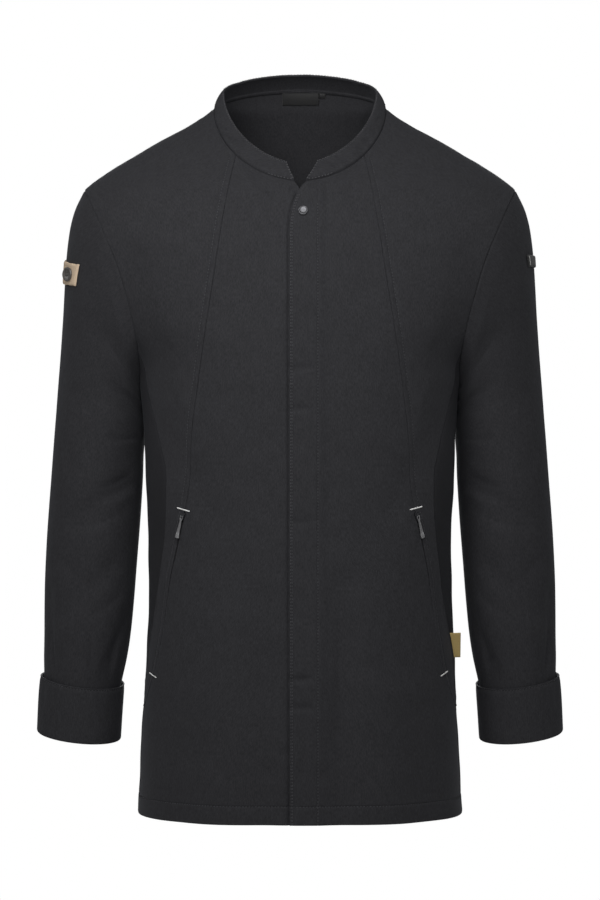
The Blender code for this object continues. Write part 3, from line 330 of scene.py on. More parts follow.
# Creases on top of the folds: ends of the line, how far it bows sideways, half its width, and its depth.
# Columns: x1, z1, x2, z2, bow, half_width, depth
FRONT_CREASES = (
    (-0.015, -0.2905, 0.015, -0.288, 0.001, 0.0045, -0.0018),
    (-0.015, -0.3348, 0.016, -0.334, -0.001, 0.0045, -0.0018),
    (-0.015, -0.451, 0.015, -0.453, 0.001, 0.005, -0.0018),
    (-0.015, -0.6189, 0.017, -0.617, 0.001, 0.005, -0.0024),
    (-0.015, -0.6495, 0.016, -0.65, -0.001, 0.0045, -0.0024),
    (-0.0134, -0.0929, -0.0016, -0.0977, 0.0006, 0.0024, -0.0024),
    (-0.018, -0.0985, -0.005, -0.089, 0.0006, 0.003, 0.0014),
    (0.009, -0.096, 0.02, -0.089, 0.0008, 0.003, -0.0014),
    (0.012, -0.125, 0.023, -0.142, 0.001, 0.004, -0.001),
    (0.023, -0.098, 0.033, -0.112, -0.001, 0.0035, -0.0014),
    (-0.035, -0.096, -0.026, -0.112, 0.001, 0.0035, -0.0014),
    (-0.053, -0.077, -0.0487, -0.09, 0.001, 0.003, -0.0022),
    (-0.044, -0.093, -0.02, -0.101, 0.003, 0.0035, -0.0016),
    (0.05, -0.08, 0.046, -0.093, -0.001, 0.003, -0.0006),
    (-0.066, -0.07, -0.028, -0.099, 0.004, 0.0055, 0.0009),
    (0.064, -0.072, 0.03, -0.1, -0.004, 0.0055, 0.0009),
    (0.042, -0.54, 0.044, -0.77, 0.002, 0.0055, -0.002),
    (-0.016, -0.73, -0.012, -0.77, -0.004, 0.004, -0.0018),
    (-0.023, -0.69, -0.012, -0.702, 0.0, 0.005, -0.002),
    (-0.042, -0.56, -0.047, -0.765, -0.003, 0.009, 0.0008),
    (-0.056, -0.15, -0.078, -0.26, 0.008, 0.012, -0.0008),
    (0.052, -0.14, 0.074, -0.25, -0.008, 0.012, -0.0008),
    (-0.03, -0.36, -0.082, -0.405, 0.006, 0.01, -0.0008),
    (0.028, -0.38, 0.086, -0.42, -0.006, 0.01, -0.0008),
    (-0.172, -0.23, -0.14, -0.315, -0.008, 0.01, -0.0014),
    (0.17, -0.23, 0.14, -0.31, 0.008, 0.01, -0.0013),
    (-0.15, -0.27, -0.12, -0.36, -0.006, 0.009, 0.0009),
    (0.152, -0.275, 0.124, -0.365, 0.006, 0.009, 0.0009),
    (-0.142, -0.42, -0.106, -0.47, 0.005, 0.007, -0.0008),
    (0.144, -0.415, 0.108, -0.465, -0.005, 0.007, -0.0008),
    (-0.1, -0.62, -0.108, -0.77, 0.003, 0.008, -0.0009),
    (0.108, -0.61, 0.118, -0.77, -0.003, 0.008, -0.001),
    (-0.136, -0.11, -0.198, -0.145, 0.005, 0.01, -0.0009),
    (0.138, -0.112, 0.196, -0.148, -0.005, 0.01, -0.0009),
)
BACK_CREASES = (
    (-0.08, -0.12, -0.17, -0.16, 0.008, 0.012, -0.001),
    (0.076, -0.126, 0.172, -0.154, -0.008, 0.012, -0.001),
    (-0.166, -0.21, -0.09, -0.3, -0.012, 0.01, -0.0014),
    (0.164, -0.215, 0.086, -0.31, 0.012, 0.01, -0.0014),
    (-0.14, -0.29, -0.05, -0.35, -0.008, 0.009, 0.001),
    (0.142, -0.28, 0.06, -0.356, 0.008, 0.009, 0.001),
    (-0.09, -0.4, 0.03, -0.43, 0.006, 0.009, -0.0012),
    (0.1, -0.39, -0.01, -0.45, -0.006, 0.009, -0.001),
    (-0.03, -0.46, -0.026, -0.76, 0.004, 0.01, -0.0012),
    (0.036, -0.48, 0.032, -0.765, -0.004, 0.01, 0.0012),
    (0.092, -0.52, 0.098, -0.77, 0.004, 0.009, -0.0012),
    (-0.094, -0.54, -0.09, -0.77, -0.003, 0.009, 0.001),
)

# Creases of the left sleeve, mirrored on the right.
# Columns: ring1, turn1, ring2, turn2, bow, half_width, depth
SLEEVE_CREASES = (
    (1.2, 150.0, 2.6, 92.0, 0.006, 0.007, -0.0009),
    (2.2, 158.0, 3.8, 104.0, 0.006, 0.007, 0.0005),
    (3.0, 152.0, 4.6, 84.0, 0.008, 0.008, -0.0009),
    (4.4, 150.0, 5.8, 96.0, 0.006, 0.008, 0.0006),
    (5.6, 158.0, 6.6, 96.0, 0.006, 0.007, -0.0012),
    (6.6, 30.0, 8.0, 78.0, -0.006, 0.009, -0.001),
    (7.6, 150.0, 8.6, 92.0, 0.006, 0.007, -0.0016),
    (8.6, 156.0, 9.2, 88.0, 0.006, 0.007, 0.0012),
    (9.2, 148.0, 9.9, 60.0, 0.005, 0.007, -0.0014),
    (10.4, 40.0, 11.6, 96.0, -0.006, 0.008, -0.0012),
    (11.6, 146.0, 12.6, 82.0, 0.005, 0.007, -0.0012),
    (12.6, 34.0, 14.9, 52.0, -0.004, 0.005, -0.0026),
    (12.4, 70.0, 14.9, 66.0, 0.004, 0.006, 0.001),
    (12.8, 96.0, 14.9, 104.0, 0.003, 0.005, -0.0022),
    (13.0, 136.0, 14.9, 128.0, 0.004, 0.005, -0.002),
    (2.35, 40.0, 2.55, 8.0, 0.001, 0.0035, -0.0008),
    (2.3, 176.0, 3.6, 182.0, 0.0, 0.02, 0.003),
    (1.6, 210.0, 3.4, 270.0, -0.008, 0.008, -0.0018),
    (3.6, 206.0, 5.2, 272.0, -0.008, 0.008, -0.0016),
    (5.4, 212.0, 6.8, 268.0, 0.008, 0.009, 0.0012),
    (8.0, 208.0, 8.8, 286.0, 0.005, 0.008, -0.0018),
    (9.0, 204.0, 9.6, 280.0, 0.005, 0.008, 0.0014),
    (9.8, 210.0, 10.4, 290.0, 0.004, 0.007, -0.0014),
    (12.0, 220.0, 14.8, 242.0, 0.004, 0.006, -0.0012),
    (12.2, 300.0, 14.8, 284.0, 0.004, 0.006, -0.0012),
)

# Columns: run1, rise1, run2, rise2, bow, half_width, depth
COLLAR_CREASES = (
    (-0.25, 0.004, -0.243, 0.022, 0.002, 0.0035, -0.0022),
    (-0.24, 0.003, -0.236, 0.018, 0.001, 0.003, 0.0014),
    (-0.232, 0.006, -0.226, 0.026, -0.002, 0.004, -0.0026),
    (-0.221, 0.004, -0.217, 0.02, 0.001, 0.0035, 0.0016),
    (-0.21, 0.004, -0.203, 0.024, 0.002, 0.004, -0.0022),
    (-0.196, 0.004, -0.19, 0.024, 0.002, 0.0045, -0.0018),
    (-0.178, 0.004, -0.17, 0.026, 0.002, 0.0045, -0.0016),
    (-0.15, 0.006, -0.157, 0.026, 0.002, 0.006, -0.0008),
    (-0.07, 0.002, -0.076, 0.03, 0.002, 0.008, -0.0008),
    (0.005, 0.004, 0.0, 0.03, 0.002, 0.009, -0.0006),
    (0.064, 0.002, 0.072, 0.03, 0.002, 0.008, -0.0008),
    (0.142, 0.004, 0.138, 0.026, 0.002, 0.006, -0.0009),
    (0.166, 0.003, 0.168, 0.024, 0.002, 0.004, -0.002),
    (0.176, 0.004, 0.18, 0.022, 0.001, 0.004, 0.0016),
    (0.186, 0.004, 0.192, 0.026, 0.002, 0.0045, -0.0024),
    (0.206, 0.006, 0.2, 0.026, -0.002, 0.0045, -0.0016),
    (0.23, 0.004, 0.224, 0.024, 0.002, 0.0045, -0.0018),
    (0.247, 0.004, 0.241, 0.022, 0.002, 0.0035, -0.0016),
)

# Columns: around1, along1, around2, along2, bow, half_width, depth
CUFF_CREASES = (
    (0.022, -0.002, 0.03, 0.034, 0.003, 0.006, -0.0011),
    (0.06, -0.002, 0.062, 0.028, 0.002, 0.007, 0.0008),
    (0.1, -0.002, 0.094, 0.036, -0.003, 0.0065, -0.0009),
    (0.14, -0.002, 0.132, 0.03, 0.002, 0.007, -0.0008),
    (0.21, -0.002, 0.216, 0.04, 0.002, 0.008, -0.001),
    (0.27, -0.002, 0.262, 0.034, 0.002, 0.007, 0.0009),
)

# Slow waves of the cloth. Columns: wavelength, direction, phase, height
BODY_WAVES = (
    (0.19, 20.0, 0.4, 0.0006),
    (0.133, -38.0, 1.9, 0.00045),
    (0.087, 65.0, 3.1, 0.0003),
    (0.061, -12.0, 5.0, 0.0002),
    (0.043, 82.0, 2.2, 0.00014),
)

# Slow waves of the tubes. Columns: lobes round it, wavelength along it, phase, height
SLEEVE_WAVES = (
    (2, 0.29, 0.7, 0.0007),
    (3, -0.17, 2.6, 0.00045),
    (5, 0.115, 4.1, 0.00022),
)
CUFF_WAVES = (
    (2, 0.21, 0.9, 0.0006),
    (3, -0.15, 2.2, 0.0004),
    (5, 0.1, 0.4, 0.00018),
)

# Where folds and creases fade, and how the tables' places become lengths
FOLD_FADE = 0.030
FOLD_TOP = -0.085
FOLD_TOP_FADE = 0.020
CREASE_LEAN = 0.62
CREASE_END = 0.12
AROUND_RADIUS = 0.150
RING_SPACING = 0.034
TURN_RADIUS = 0.055
SLEEVE_FOLD_TOP = 1.5
SLEEVE_FOLD_END = 15.0

# Spots of the front where the creases fade out. Columns: x, z, reach_x, reach_z
CALM_SPOTS = (
    (0.0033, -0.1215, 0.0090, 0.0090),
    (0.1270, -0.4500, 0.0110, 0.0200),
    (-0.1270, -0.4500, 0.0110, 0.0200),
)

# The sleeve is fuller under the arm, gathered at its cap, and has one seam below
UNDERARM_BULGE = 0.0034
UNDERARM_TURN = 185.0
UNDERARM_WIDTH = 0.018
UNDERARM_RINGS = 2.6
GATHER_RADIUS = 0.09
GATHER_LEAST = 0.4
SLEEVE_SEAM_TURN = 190.0
SLEEVE_SEAM_DEPTH = 0.0006
SLEEVE_SEAM_WIDTH = 0.0012

# Thread: length of a stitch, the gap to the next, and the thread's half thickness
STITCH_LENGTH = 0.0022
STITCH_GAP = 0.0012
THREAD_RADIUS = 0.00030
EDGE_THREAD_RADIUS = 0.00022
STITCH_RISE = 0.00008
STITCH_TILT = 0.10
STITCH_WANDER = 0.06
STITCH_REACH = (0.94, 1.04)
STITCH_SIDES = 4

# Along a stitch: share of its half length, share of its radius, and how far it sinks in radii
STITCH_PROFILE = ((-1.0, 0.0, 0.9), (-0.74, 0.85, 0.25), (0.0, 1.0, 0.0), (0.74, 0.85, 0.25), (1.0, 0.0, 0.9))

# Distances of stitch lines from the edges of their pieces, and where the lines stop
PRINCESS_STITCH = 0.0064
FLY_EDGE_STITCHES = (0.0016, 0.0031)
FLY_STITCH_X = 0.0189
HEM_STITCH = 0.0195
SHOULDER_STITCH = 0.0034
COLLAR_STITCH = 0.0018
CUFF_STITCH = 0.0020
NECK_OPEN = -0.1000
PRINCESS_STITCH_ROOM = 0.002
SHOULDER_STITCH_ROOM = 0.003
FLY_STITCH_ROOM = 0.010
COLLAR_STITCH_ROW = 5
COLLAR_STITCH_COLUMN = 3
COLLAR_BASE_STITCHED = 20
CUFF_EDGE_ROW = 5

# Relief of seams and hems, and the puckers across them
HEM_RISE = 0.00025
SEAM_RISE = 0.00045
SEAM_EASE = 0.0016
SHOULDER_RISE = 0.00027
SHOULDER_FADE = 0.0080
STITCH_DEPTH = 0.00065
STITCH_WIDTH = 0.0009
PUCKER_LONG = 0.0128
PUCKER_SHORT = 0.0079
PUCKER_SLOW = 0.0710
PUCKER_SECOND = 0.6
PUCKER_HEIGHT = 0.00013

# Puckers by seam: reach from it, phase, and how much of the side (1 or -1) the phase gains
PUCKERS = {
    "princess_centre": (0.006, 0.7, 1.0),
    "princess_side": (0.009, 0.0, 1.1),
    "fly_edge": (0.010, 0.3, 0.0),
    "fly": (0.006, 2.3, 0.0),
    "front_end": (0.008, 0.4, 1.0),
    "side_panel": (0.010, 0.0, 1.0),
    "back": (0.009, 0.9, 0.0),
    "collar": (0.006, 0.5, 0.0),
    "armhole": (0.012, 0.8, 0.0),
    "cuff": (0.007, 1.7, 0.0),
}

# Grids of the panels
ROW_STEP = 0.0026
ROW_SAMPLES = 301
OFFSET_ROOM = 0.46
LEAST_ROOM = 1e-6
MARK_ROOM = 0.3
EDGE_OFFSETS = (0.0, 0.00018, 0.00050, 0.00100, 0.0020)
LINE_OFFSETS = (0.0024, 0.0012, 0.0005)
HEM_MARKS = (HEM_HEIGHT + HEM_STITCH, HEM_HEIGHT + 0.0026)
UNDER_EDGE_LINE = 0.002
LEAST_SHARE = 0.05
NARROW_SHARE = 0.2
FRONT_CENTRE_COUNTS = (10, 38)
FRONT_SIDE_COUNTS = (22,)
BACK_COUNTS = (112,)
SIDE_PANEL_COLUMNS = 34
SIDE_PANEL_TOP_ROWS = 10
SIDE_PANEL_EDGE_TURNS = np.array([0.0, 0.8, 1.6, 2.6, 4.0, 6.0])

# Grids of the round pieces
COLLAR_COLUMNS = 91
COLLAR_FRONT_COLUMNS = 58
COLLAR_FRONT_TURN = 72.0
COLLAR_EVEN_TURN = 8.2
COLLAR_END_TURNS = np.array([0.0, 0.15, 0.45, 1.0, 1.8, 2.6])
COLLAR_ROWS = 15
COLLAR_MIDDLE = (0.07, 0.93)
COLLAR_BASE_SHARES = np.array([0.0, 0.012, 0.035])
COLLAR_RIM_SHARES = np.array([0.035, 0.012, 0.0])
SLEEVE_ROWS = 205
SLEEVE_COLUMNS = 84
SLEEVE_FIRST_PLACES = (0.0, 0.012, 0.035, 0.07, 0.12, 0.19, 0.27)
SLEEVE_EVEN_PLACE = 0.35
CUFF_COLUMNS = 96
CUFF_ROWS = 22
PLACE_STEP = 0.02
TURN_STEP = 0.5
STRIP_SEARCH = (0.5, 8.0)
SEARCH_STEPS = 40

# The cuff's section. Its edge path has columns: place, depth as a share of the wall
CUFF_EDGE_PATH = (
    (0.0, 0.78), (-0.006, 0.5), (0.0, 0.16), (0.03, 0.0), (0.07, 0.0), (0.11, 0.0), (0.14, 0.0),
    (0.17, 0.0),
)
CUFF_ROLL_PLACES = 0.16
CUFF_ROLL_STEPS = 8
CUFF_ROLL_DEPTH = 0.0034
CUFF_INSIDE_STEPS = 4
CUFF_INSIDE_END = 0.8
CUFF_INSIDE_TURN = 1.1
CUFF_INSIDE_SHARE = 0.4
CUFF_INSIDE_TOP = 0.10
CUFF_SLOPE_PLACE = 0.3
CUFF_OUTSIDE_DEPTH = CUFF_WALL * 0.2
CUFF_RING_SPACING = RING_SPACING / 2.2

# Zips: tape, ridge and teeth
ZIP_WIDTH = 0.0100
ZIP_LAY = 0.0015
ZIP_TAPE_WALL = 0.0006
ZIP_ROWS = 72
ZIP_END_ROOM = 0.0005
ZIP_REACHES = (
    -0.5, -0.44, -0.34, -0.24, -0.20, -0.10, 0.0, 0.10, 0.20, 0.24, 0.34, 0.44, 0.5,
)
ZIP_RIDGE_WIDTH = 0.0021
ZIP_RIDGE_RISE = 0.00045
TOOTH_STEP = 0.0011
TEETH_TOP_ROOM = 0.010
TEETH_BOTTOM_ROOM = 0.002
TOOTH_RISE = 0.0007
TOOTH_ASIDE = 0.0005
TOOTH_CORNERS = (
    (-0.0007, -0.00036, -0.0004), (0.0009, -0.00030, -0.0004),
    (0.0009, 0.00030, -0.0004), (-0.0007, 0.00036, -0.0004),
    (-0.0006, -0.00030, 0.0003), (0.0008, -0.00024, 0.0003),
    (0.0008, 0.00024, 0.0003), (-0.0006, 0.00030, 0.0003),
)
BOX_FACES = ((0, 3, 2, 1), (4, 5, 6, 7), (0, 1, 5, 4), (1, 2, 6, 5), (2, 3, 7, 6), (3, 0, 4, 7))

# Tab and loop: each end is a turn with its top and bottom heights
TAB_ENDS = ((50.0, -0.1746, -0.1974), (-12.0, -0.1645, -0.1905))
TAB_WALL = 0.0014
TAB_GRID = (18, 40)
LOOP_ENDS = ((37.0, -0.1632, -0.1758), (-46.0, -0.1600, -0.1725))
LOOP_WALL = 0.0010
LOOP_GRID = (10, 48)
STRIP_PUFF = 0.0003
STRIP_PUFF_REACH = 0.25
STRIP_THIN_REACH = 0.12
STRIP_THIN_SHARE = 0.55
STRIP_EDGE = 0.99
RAGGED = 0.00045
RAGGED_SEED = 7

# Labels
LABEL_WALL = 0.0008
LABEL_FOLD = 0.0003
LABEL_FOLD_REACH = 0.0012
LABEL_HANG = 0.0005
NECK_LABEL_X = (-0.0200, 0.0214)
NECK_LABEL_Z = (0.0252, 0.0108)
NECK_LABEL_GRID = (14, 34)
SIZE_TAB_X = (0.0222, 0.0290)
SIZE_TAB_Z = (0.0236, 0.0180)
SIZE_TAB_GRID = (8, 8)
SIDE_LABEL_Z = (-0.5740, -0.6010)
SIDE_LABEL_TURN = 20.0
SIDE_LABEL_OUTER_X = 0.1742
SIDE_LABEL_STEPS = 15
SIDE_LABEL_CURL = 0.0006
SIDE_LABEL_FAT = (0.75, 0.5, 0.8)

# Bar tacks: ends of each bar on the front, and the wraps of thread in it
POCKET_TACKS = {
    "right": ((-0.1316, -0.4378, -0.1183, -0.4415), (-0.1615, -0.6165, -0.1529, -0.6207)),
    "left": ((0.1179, -0.4397, 0.1310, -0.4365), (0.1515, -0.6190, 0.1593, -0.6146)),
}
TACK_LINE_STEPS = 9
TACK_TURNS = 26
TACK_STEPS = 4
TACK_SIDES = 10
TACK_WIDTH = 0.0015
TACK_HEIGHT = 0.00055
TACK_LIFT = 0.0001
TACK_END_SHARE = 0.55
TACK_WAVE_WIDTH = 0.10
TACK_WAVE_HEIGHT = 0.28
LOOP_TACK_COLUMN = 2
LOOP_TACK_WIDTH = 0.0016
LOOP_TACK_TURNS = 20

# Sliders, and pulls whose steps are a run and how much wider and thicker each makes the end
SLIT_STEP = 0.0100
SLIDER_WIDTH = 0.0052
SLIDER_LENGTH = 0.0080
SLIDER_HEIGHT = 0.0018
SLIDER_DROP = 0.0050
SLIDER_TAPER = 0.70
SLIDER_RIM = 0.0007
SLIDER_ROUND = 0.00025
BRIDGE_WIDTH = 0.0014
BRIDGE_HOLE_HEIGHT = 0.0016
ARCH_RADIUS = 0.0020
ARCH_BAR = 0.0006
ARCH_STEPS = 10
PULL_WALL = 0.0009
PULL_EYE_WIDTH = 0.0034
PULL_EYE_LENGTH = 0.0042
PULL_EYE_RIM = 0.0007
PULL_EYE_HOLE = 0.0024
PULL_ROUND = 0.00016
PULL_STEPS = (
    (0.0012, 0.66, 1.0), (0.0060, 1.30, 1.0), (0.0060, 1.26, 1.0), (0.0030, 1.14, 1.0), (0.0004, 1.06, 1.5),
    (0.0007, 1.0, 1.0), (0.0003, 1.0, 0.7), (0.0004, 1.0, 1.43), (0.0007, 1.0, 1.0), (0.0003, 1.0, 0.7),
    (0.0004, 1.0, 1.43), (0.0007, 1.0, 1.0), (0.0004, 0.8, 0.7),
)

# The stud's cap and the button: each step is an inset and a rise
DISC_SIDES = 40
SNAP_RADIUS = 0.0055
SNAP_PLACE = (0.0033, -0.1215)
SNAP_BASE = 0.0006
SNAP_ROUND = 0.00022
SNAP_STEPS = (
    (0.0003, 0.0005), (0.0004, 0.0004), (0.0005, 0.0001), (0.0004, -0.0003), (0.0006, -0.0003),
    (0.0012, -0.0001), (0.0010, 0.0),
)
BUTTON_TURN = 36.5
BUTTON_CENTRE_HEIGHT = -0.1842
BUTTON_TILT = 18.0
BUTTON_LIFT = 0.0022
BUTTON_RADIUS = 0.0078
BUTTON_BASE = 0.0012
BUTTON_ROUND = 0.00025
BUTTON_STEPS = (
    (0.0005, 0.0006), (0.0006, 0.0004), (0.0008, 0.0), (0.0006, -0.0005), (0.0010, -0.0004),
    (0.0018, -0.0001),
)
HOLE_SIDES = 12
HOLE_RADIUS = 0.0008
HOLE_REACH = 0.0015
HOLE_DEPTH = BUTTON_BASE * 6.0
SHANK_RADIUS = 0.0011
SHANK_STEP = 0.0005
SHANK_STEPS = ((-0.0002, 0.0003), (0.0002, 0.0003)) * 4
FACING = 0.9
DOUBLES = 0.00001
ROUND_ANGLE = 30.0
SMOOTH_ANGLE = 40.0

# Weaves. The wave texture turns once in 0.314 of its scale
TWILL_RIB = 0.0015
TWILL_SLANT = 63.0
FLECK_WIDTH = 0.0012
CANVAS_YARN = 0.0011
WAVE_TURN = 0.314
# Heights between which the side panels' painted shade fades out upwards
SIDE_SHADE_HEIGHTS = (-0.4300, -0.3250)

# Finishes: the usual range of a noise, then roughness, how far patterns stray from 1 both ways, and
# reliefs as a strength and a height
NOISE_LOW, NOISE_HIGH = 0.25, 0.75
TWILL_ROUGHNESS = 0.82
STREAK_SHARE = 0.35
PATCH_SPREAD = 0.05
RIB_SPREAD = 0.02
# How far the side panels' painted shade darkens them below and lightens them above
SIDE_SHADE_SPREAD = 0.16
RIB_RELIEF = (0.25, 0.00012)
FLECK_RELIEF = (0.35, 0.00018)
PATCH_RELIEF = (0.15, 0.0012)
THREAD_ROUGHNESS = 0.55
FIBRE_SPREAD = 0.30
TAPE_SPECK_SPREAD = 0.16
TAPE_RIB_SPREAD = 0.08
TAPE_RELIEF = (0.4, 0.0001)
CANVAS_ROUGHNESS = 0.85
WEAVE_SPREAD = 0.07
CANVAS_SPECK_SPREAD = 0.10
CANVAS_RELIEF = (0.5, 0.0002)
SMEAR_LOW, SMEAR_HIGH = 0.3, 0.7
SMEAR_SPREAD = 0.15
PIT_RELIEF = (0.15, 0.00005)
RESIN_ROUGHNESS = 0.32
RESIN_SPREAD = 0.45
FLOOR_ROUGHNESS = 0.9
FLOOR_COLOUR = "#f2f2f2"

# Camera, floor and lights
CAMERA_PLACE = (0.0, -3.4, -0.376)
CAMERA_TURN = (90.0, 0.0, 0.0)
VIEW_HEIGHT = 0.990
SENSOR = 36.0
FLOOR_HEIGHT = -1.35
FLOOR_SIZE = 4.4
FLOOR_TONE = 0.74
AMBIENT = 0.09
KEY_PLACE = (-0.15, -1.05, 0.30)
KEY_AIM = (0.0, 0.0, -0.15)
KEY_SIZE = 1.0
KEY_POWER = 11.2
FILL_PLACE = (0.0, 0.0, 1.60)
FILL_AIM = (0.0, 0.0, 0.0)
FILL_SIZE = 1.6
FILL_POWER = 1.6
BACK_PLACE = (0.0, 1.90, 0.35)
BACK_AIM = (0.0, 0.0, -0.35)
BACK_SIZE = 0.9
BACK_POWER = 26.0
SIDE_PLACE = (1.90, 0.15, 0.50)
SIDE_AIM = (0.10, 0.0, -0.20)
SIDE_SIZE = 0.8
SIDE_POWER = 3.0


# ---- settings that a user would change


def linear(code):
    """A colour written as #rrggbb, in linear light."""
    parts = [int(code[i : i + 2], 16) / 255.0 for i in (1, 3, 5)]
    return tuple(p / 12.92 if p <= 0.04045 else ((p + 0.055) / 1.055) ** 2.4 for p in parts) + (1.0,)


def size_property(name, description, default):
    """A length in metres."""
    return bpy.props.FloatProperty(
        name=name, description=description, default=default, min=0.0, precision=5, unit="LENGTH"
    )


def colour_property(name, description, code):
    """A colour, from its sRGB code."""
    return bpy.props.FloatVectorProperty(
        name=name, description=description, default=linear(code), size=4, min=0.0, max=1.0, subtype="COLOR"
    )


def power_property(name, description, default):
    """The power of a light."""
    return bpy.props.FloatProperty(
        name=name, description=description, default=default, min=0.0, unit="POWER"
    )


class JacketSizes(bpy.types.PropertyGroup):
    """Sizes of the thread and the round fastenings"""

    stitch_length: size_property("Stitch length", "Length of one stitch of the topstitching", STITCH_LENGTH)
    stitch_gap: size_property("Stitch gap", "Gap between two stitches", STITCH_GAP)
    thread_radius: size_property("Thread", "Half thickness of the topstitching", THREAD_RADIUS)
    edge_thread_radius: size_property(
        "Edge thread", "Half thickness of the pale thread at the collar's edge", EDGE_THREAD_RADIUS
    )
    snap_radius: size_property("Stud cap", "Radius of the press stud's cap", SNAP_RADIUS)
    button_radius: size_property("Button", "Radius of the button on the sleeve tab", BUTTON_RADIUS)


class JacketLooks(bpy.types.PropertyGroup):
    """Colours of the finishes, one of each name"""

    charcoal_twill: colour_property("Cloth", "Twill of the fronts, back, sleeves and collar", "#313134")
    # The side cloth is the jacket's own twill, its darker colour painted shade under the arms
    dark_side_twill: colour_property("Side cloth", "Darker twill of the panels under the arms", "#28282b")
    black_zip_tape: colour_property("Zip tape", "Woven tapes of the pocket zips", "#1a1a1b")
    black_woven_label: colour_property("Black tape", "Sleeve loop and labels inside the neck", "#1d1d1e")
    tan_woven_label: colour_property("Side label", "Folded label in the side seam", "#b9a166")
    tan_canvas: colour_property("Tab", "Canvas of the sleeve tab", "#ecd3b6")
    charcoal_thread: colour_property("Thread", "Topstitching of the seams and hems", "#454549")
    # Edge thread: a real row of edge stitching, its pale colour also a painted highlight along the collar's
    # edge
    pale_edge_thread: colour_property("Edge thread", "Row at the collar's edge", "#6c6c6f")
    white_thread: colour_property("Pocket tacks", "Bar tacks at the ends of the pockets", "#f0f0ee")
    grey_thread: colour_property("Loop tack", "Bar tack on the sleeve loop", "#a4a4a2")
    black_zip_teeth: colour_property("Zip teeth", "Metal teeth of the pocket zips", "#2a2a2c")
    gunmetal: colour_property("Sliders", "Cast metal of the zip sliders", "#66666a")
    brushed_steel: colour_property("Stud", "Steel of the press stud's cap", "#6e6e71")
    pull_steel: colour_property("Pulls", "Stamped steel of the zip pulls", "#b8b8ba")
    dark_button: colour_property("Button", "Resin of the button on the sleeve tab", "#565350")


class JacketStage(bpy.types.PropertyGroup):
    """Lights and floor"""

    key_power: power_property("Key light", "Power of the soft light in front", KEY_POWER)
    fill_power: power_property("Fill light", "Power of the wide light above", FILL_POWER)
    back_power: power_property("Back light", "Power of the soft light behind", BACK_POWER)
    side_power: power_property("Side lights", "Power of the soft light at each side", SIDE_POWER)
    floor_tone: bpy.props.FloatProperty(
        name="Floor tone", description="How pale the floor looks", default=FLOOR_TONE, min=0.0, max=1.0
    )
    ambient: bpy.props.FloatProperty(
        name="Ambient", description="Strength of the light from all round", default=AMBIENT, min=0.0, max=2.0
    )


# ---- curves through the tables


def smooth_table(rows, at):
    """The table's other columns at places along its first column, along smooth curves."""
    table = np.array(rows, dtype=float)
    table = table[np.argsort(table[:, 0])]
    keys = table[:, 0]
    values = table[:, 1:]
    slopes = np.gradient(values, keys, axis=0)
    steps = np.diff(values, axis=0)
    slopes[1:-1][steps[:-1] * steps[1:] <= 0.0] = 0.0
    at = np.clip(np.asarray(at, dtype=float), keys[0], keys[-1])
    row = np.clip(np.searchsorted(keys, at) - 1, 0, len(keys) - 2)
    width = keys[row + 1] - keys[row]
    share = ((at - keys[row]) / width)[..., None]
    width = width[..., None]
    near = values[row] * (1 + 2 * share) * (1 - share) ** 2
    far = values[row + 1] * (3 - 2 * share) * share**2
    leave = slopes[row] * width * share * (1 - share) ** 2
    arrive = slopes[row + 1] * width * share**2 * (share - 1)
    return near + far + leave + arrive


def column(rows, index, at):
    """One column of a table, counted from 1, at places along its first column."""
    return smooth_table(rows, at)[..., index - 1]


def ease(share):
    """A smooth step from 0 to 1."""
    share = np.clip(share, 0.0, 1.0)
    return share * share * (3.0 - 2.0 * share)


def unit(vectors):
    """The vectors at length 1."""
    return vectors / np.linalg.norm(vectors, axis=-1)[..., None]


def mirrored(points, side):
    """Points or directions of the left side as they are on a side: 1 left, -1 right."""
    return points * np.array([side, 1.0, 1.0])


def along_line(places, along, values):
    """Values given at running lengths along a line, read at other places along it."""
    return np.stack([np.interp(places, along, values[:, i]) for i in range(3)], axis=1)


def fold_push(folds, across, along):
    """How far a point of the cloth is moved outwards by a table of folds."""
    push = np.zeros(np.broadcast(across, along).shape)
    for x1, z1, x2, z2, half_width, depth in folds:
        run_x, run_z = x2 - x1, z2 - z1
        length = math.hypot(run_x, run_z)
        share = ((across - x1) * run_x + (along - z1) * run_z) / length**2
        share = np.clip(share, 0.0, 1.0)
        away = np.hypot(across - x1 - share * run_x, along - z1 - share * run_z)
        push = push + depth * np.exp(-((away / half_width) ** 2))
    return push


def crease_push(creases, across, along):
    """Like fold_push, for creases that bow sideways, fade at both ends and stand up steeper on one side."""
    push = np.zeros(np.broadcast(across, along).shape)
    for x1, z1, x2, z2, bow, half_width, depth in creases:
        run_x, run_z = x2 - x1, z2 - z1
        length = math.hypot(run_x, run_z)
        share = ((across - x1) * run_x + (along - z1) * run_z) / length**2
        inside = np.clip(share, 0.0, 1.0)
        side = ((across - x1) * run_z - (along - z1) * run_x) / length
        side = side - bow * 4.0 * inside * (1.0 - inside)
        past = (share - inside) * length
        away = np.hypot(side, past)
        lean = np.where(side > 0.0, CREASE_LEAN, 1.0)
        fade = CREASE_END + (1.0 - CREASE_END) * np.sin(math.pi * inside)
        push = push + depth * fade * np.exp(-((away / (half_width * lean)) ** 2))
    return push


def ripple(waves, across, along):
    """A sum of slow waves over the cloth, from a table of wavelength, direction, phase and height."""
    push = np.zeros(np.broadcast(across, along).shape)
    for wavelength, direction, phase, height in waves:
        angle = math.radians(direction)
        run = across * math.cos(angle) + along * math.sin(angle)
        push = push + height * np.sin(2.0 * math.pi * run / wavelength + phase)
    return push


# ---- the body's level sections


def section(height, at_front):
    """Half width, depth and squareness of the level sections, in front or behind."""
    front, back, squareness = np.moveaxis(smooth_table(DEPTHS, height), -1, 0)
    return column(HALF_WIDTHS, 1, height), np.where(at_front, front, back), squareness


def section_y(x, height, at_front):
    """How far in front or behind the section is at this x."""
    width, depth, squareness = section(height, at_front)
    side = np.clip(1.0 - np.minimum(np.abs(x) / width, 1.0) ** squareness, 0.0, None)
    return np.where(at_front, -1.0, 1.0) * depth * side ** (1.0 / squareness)


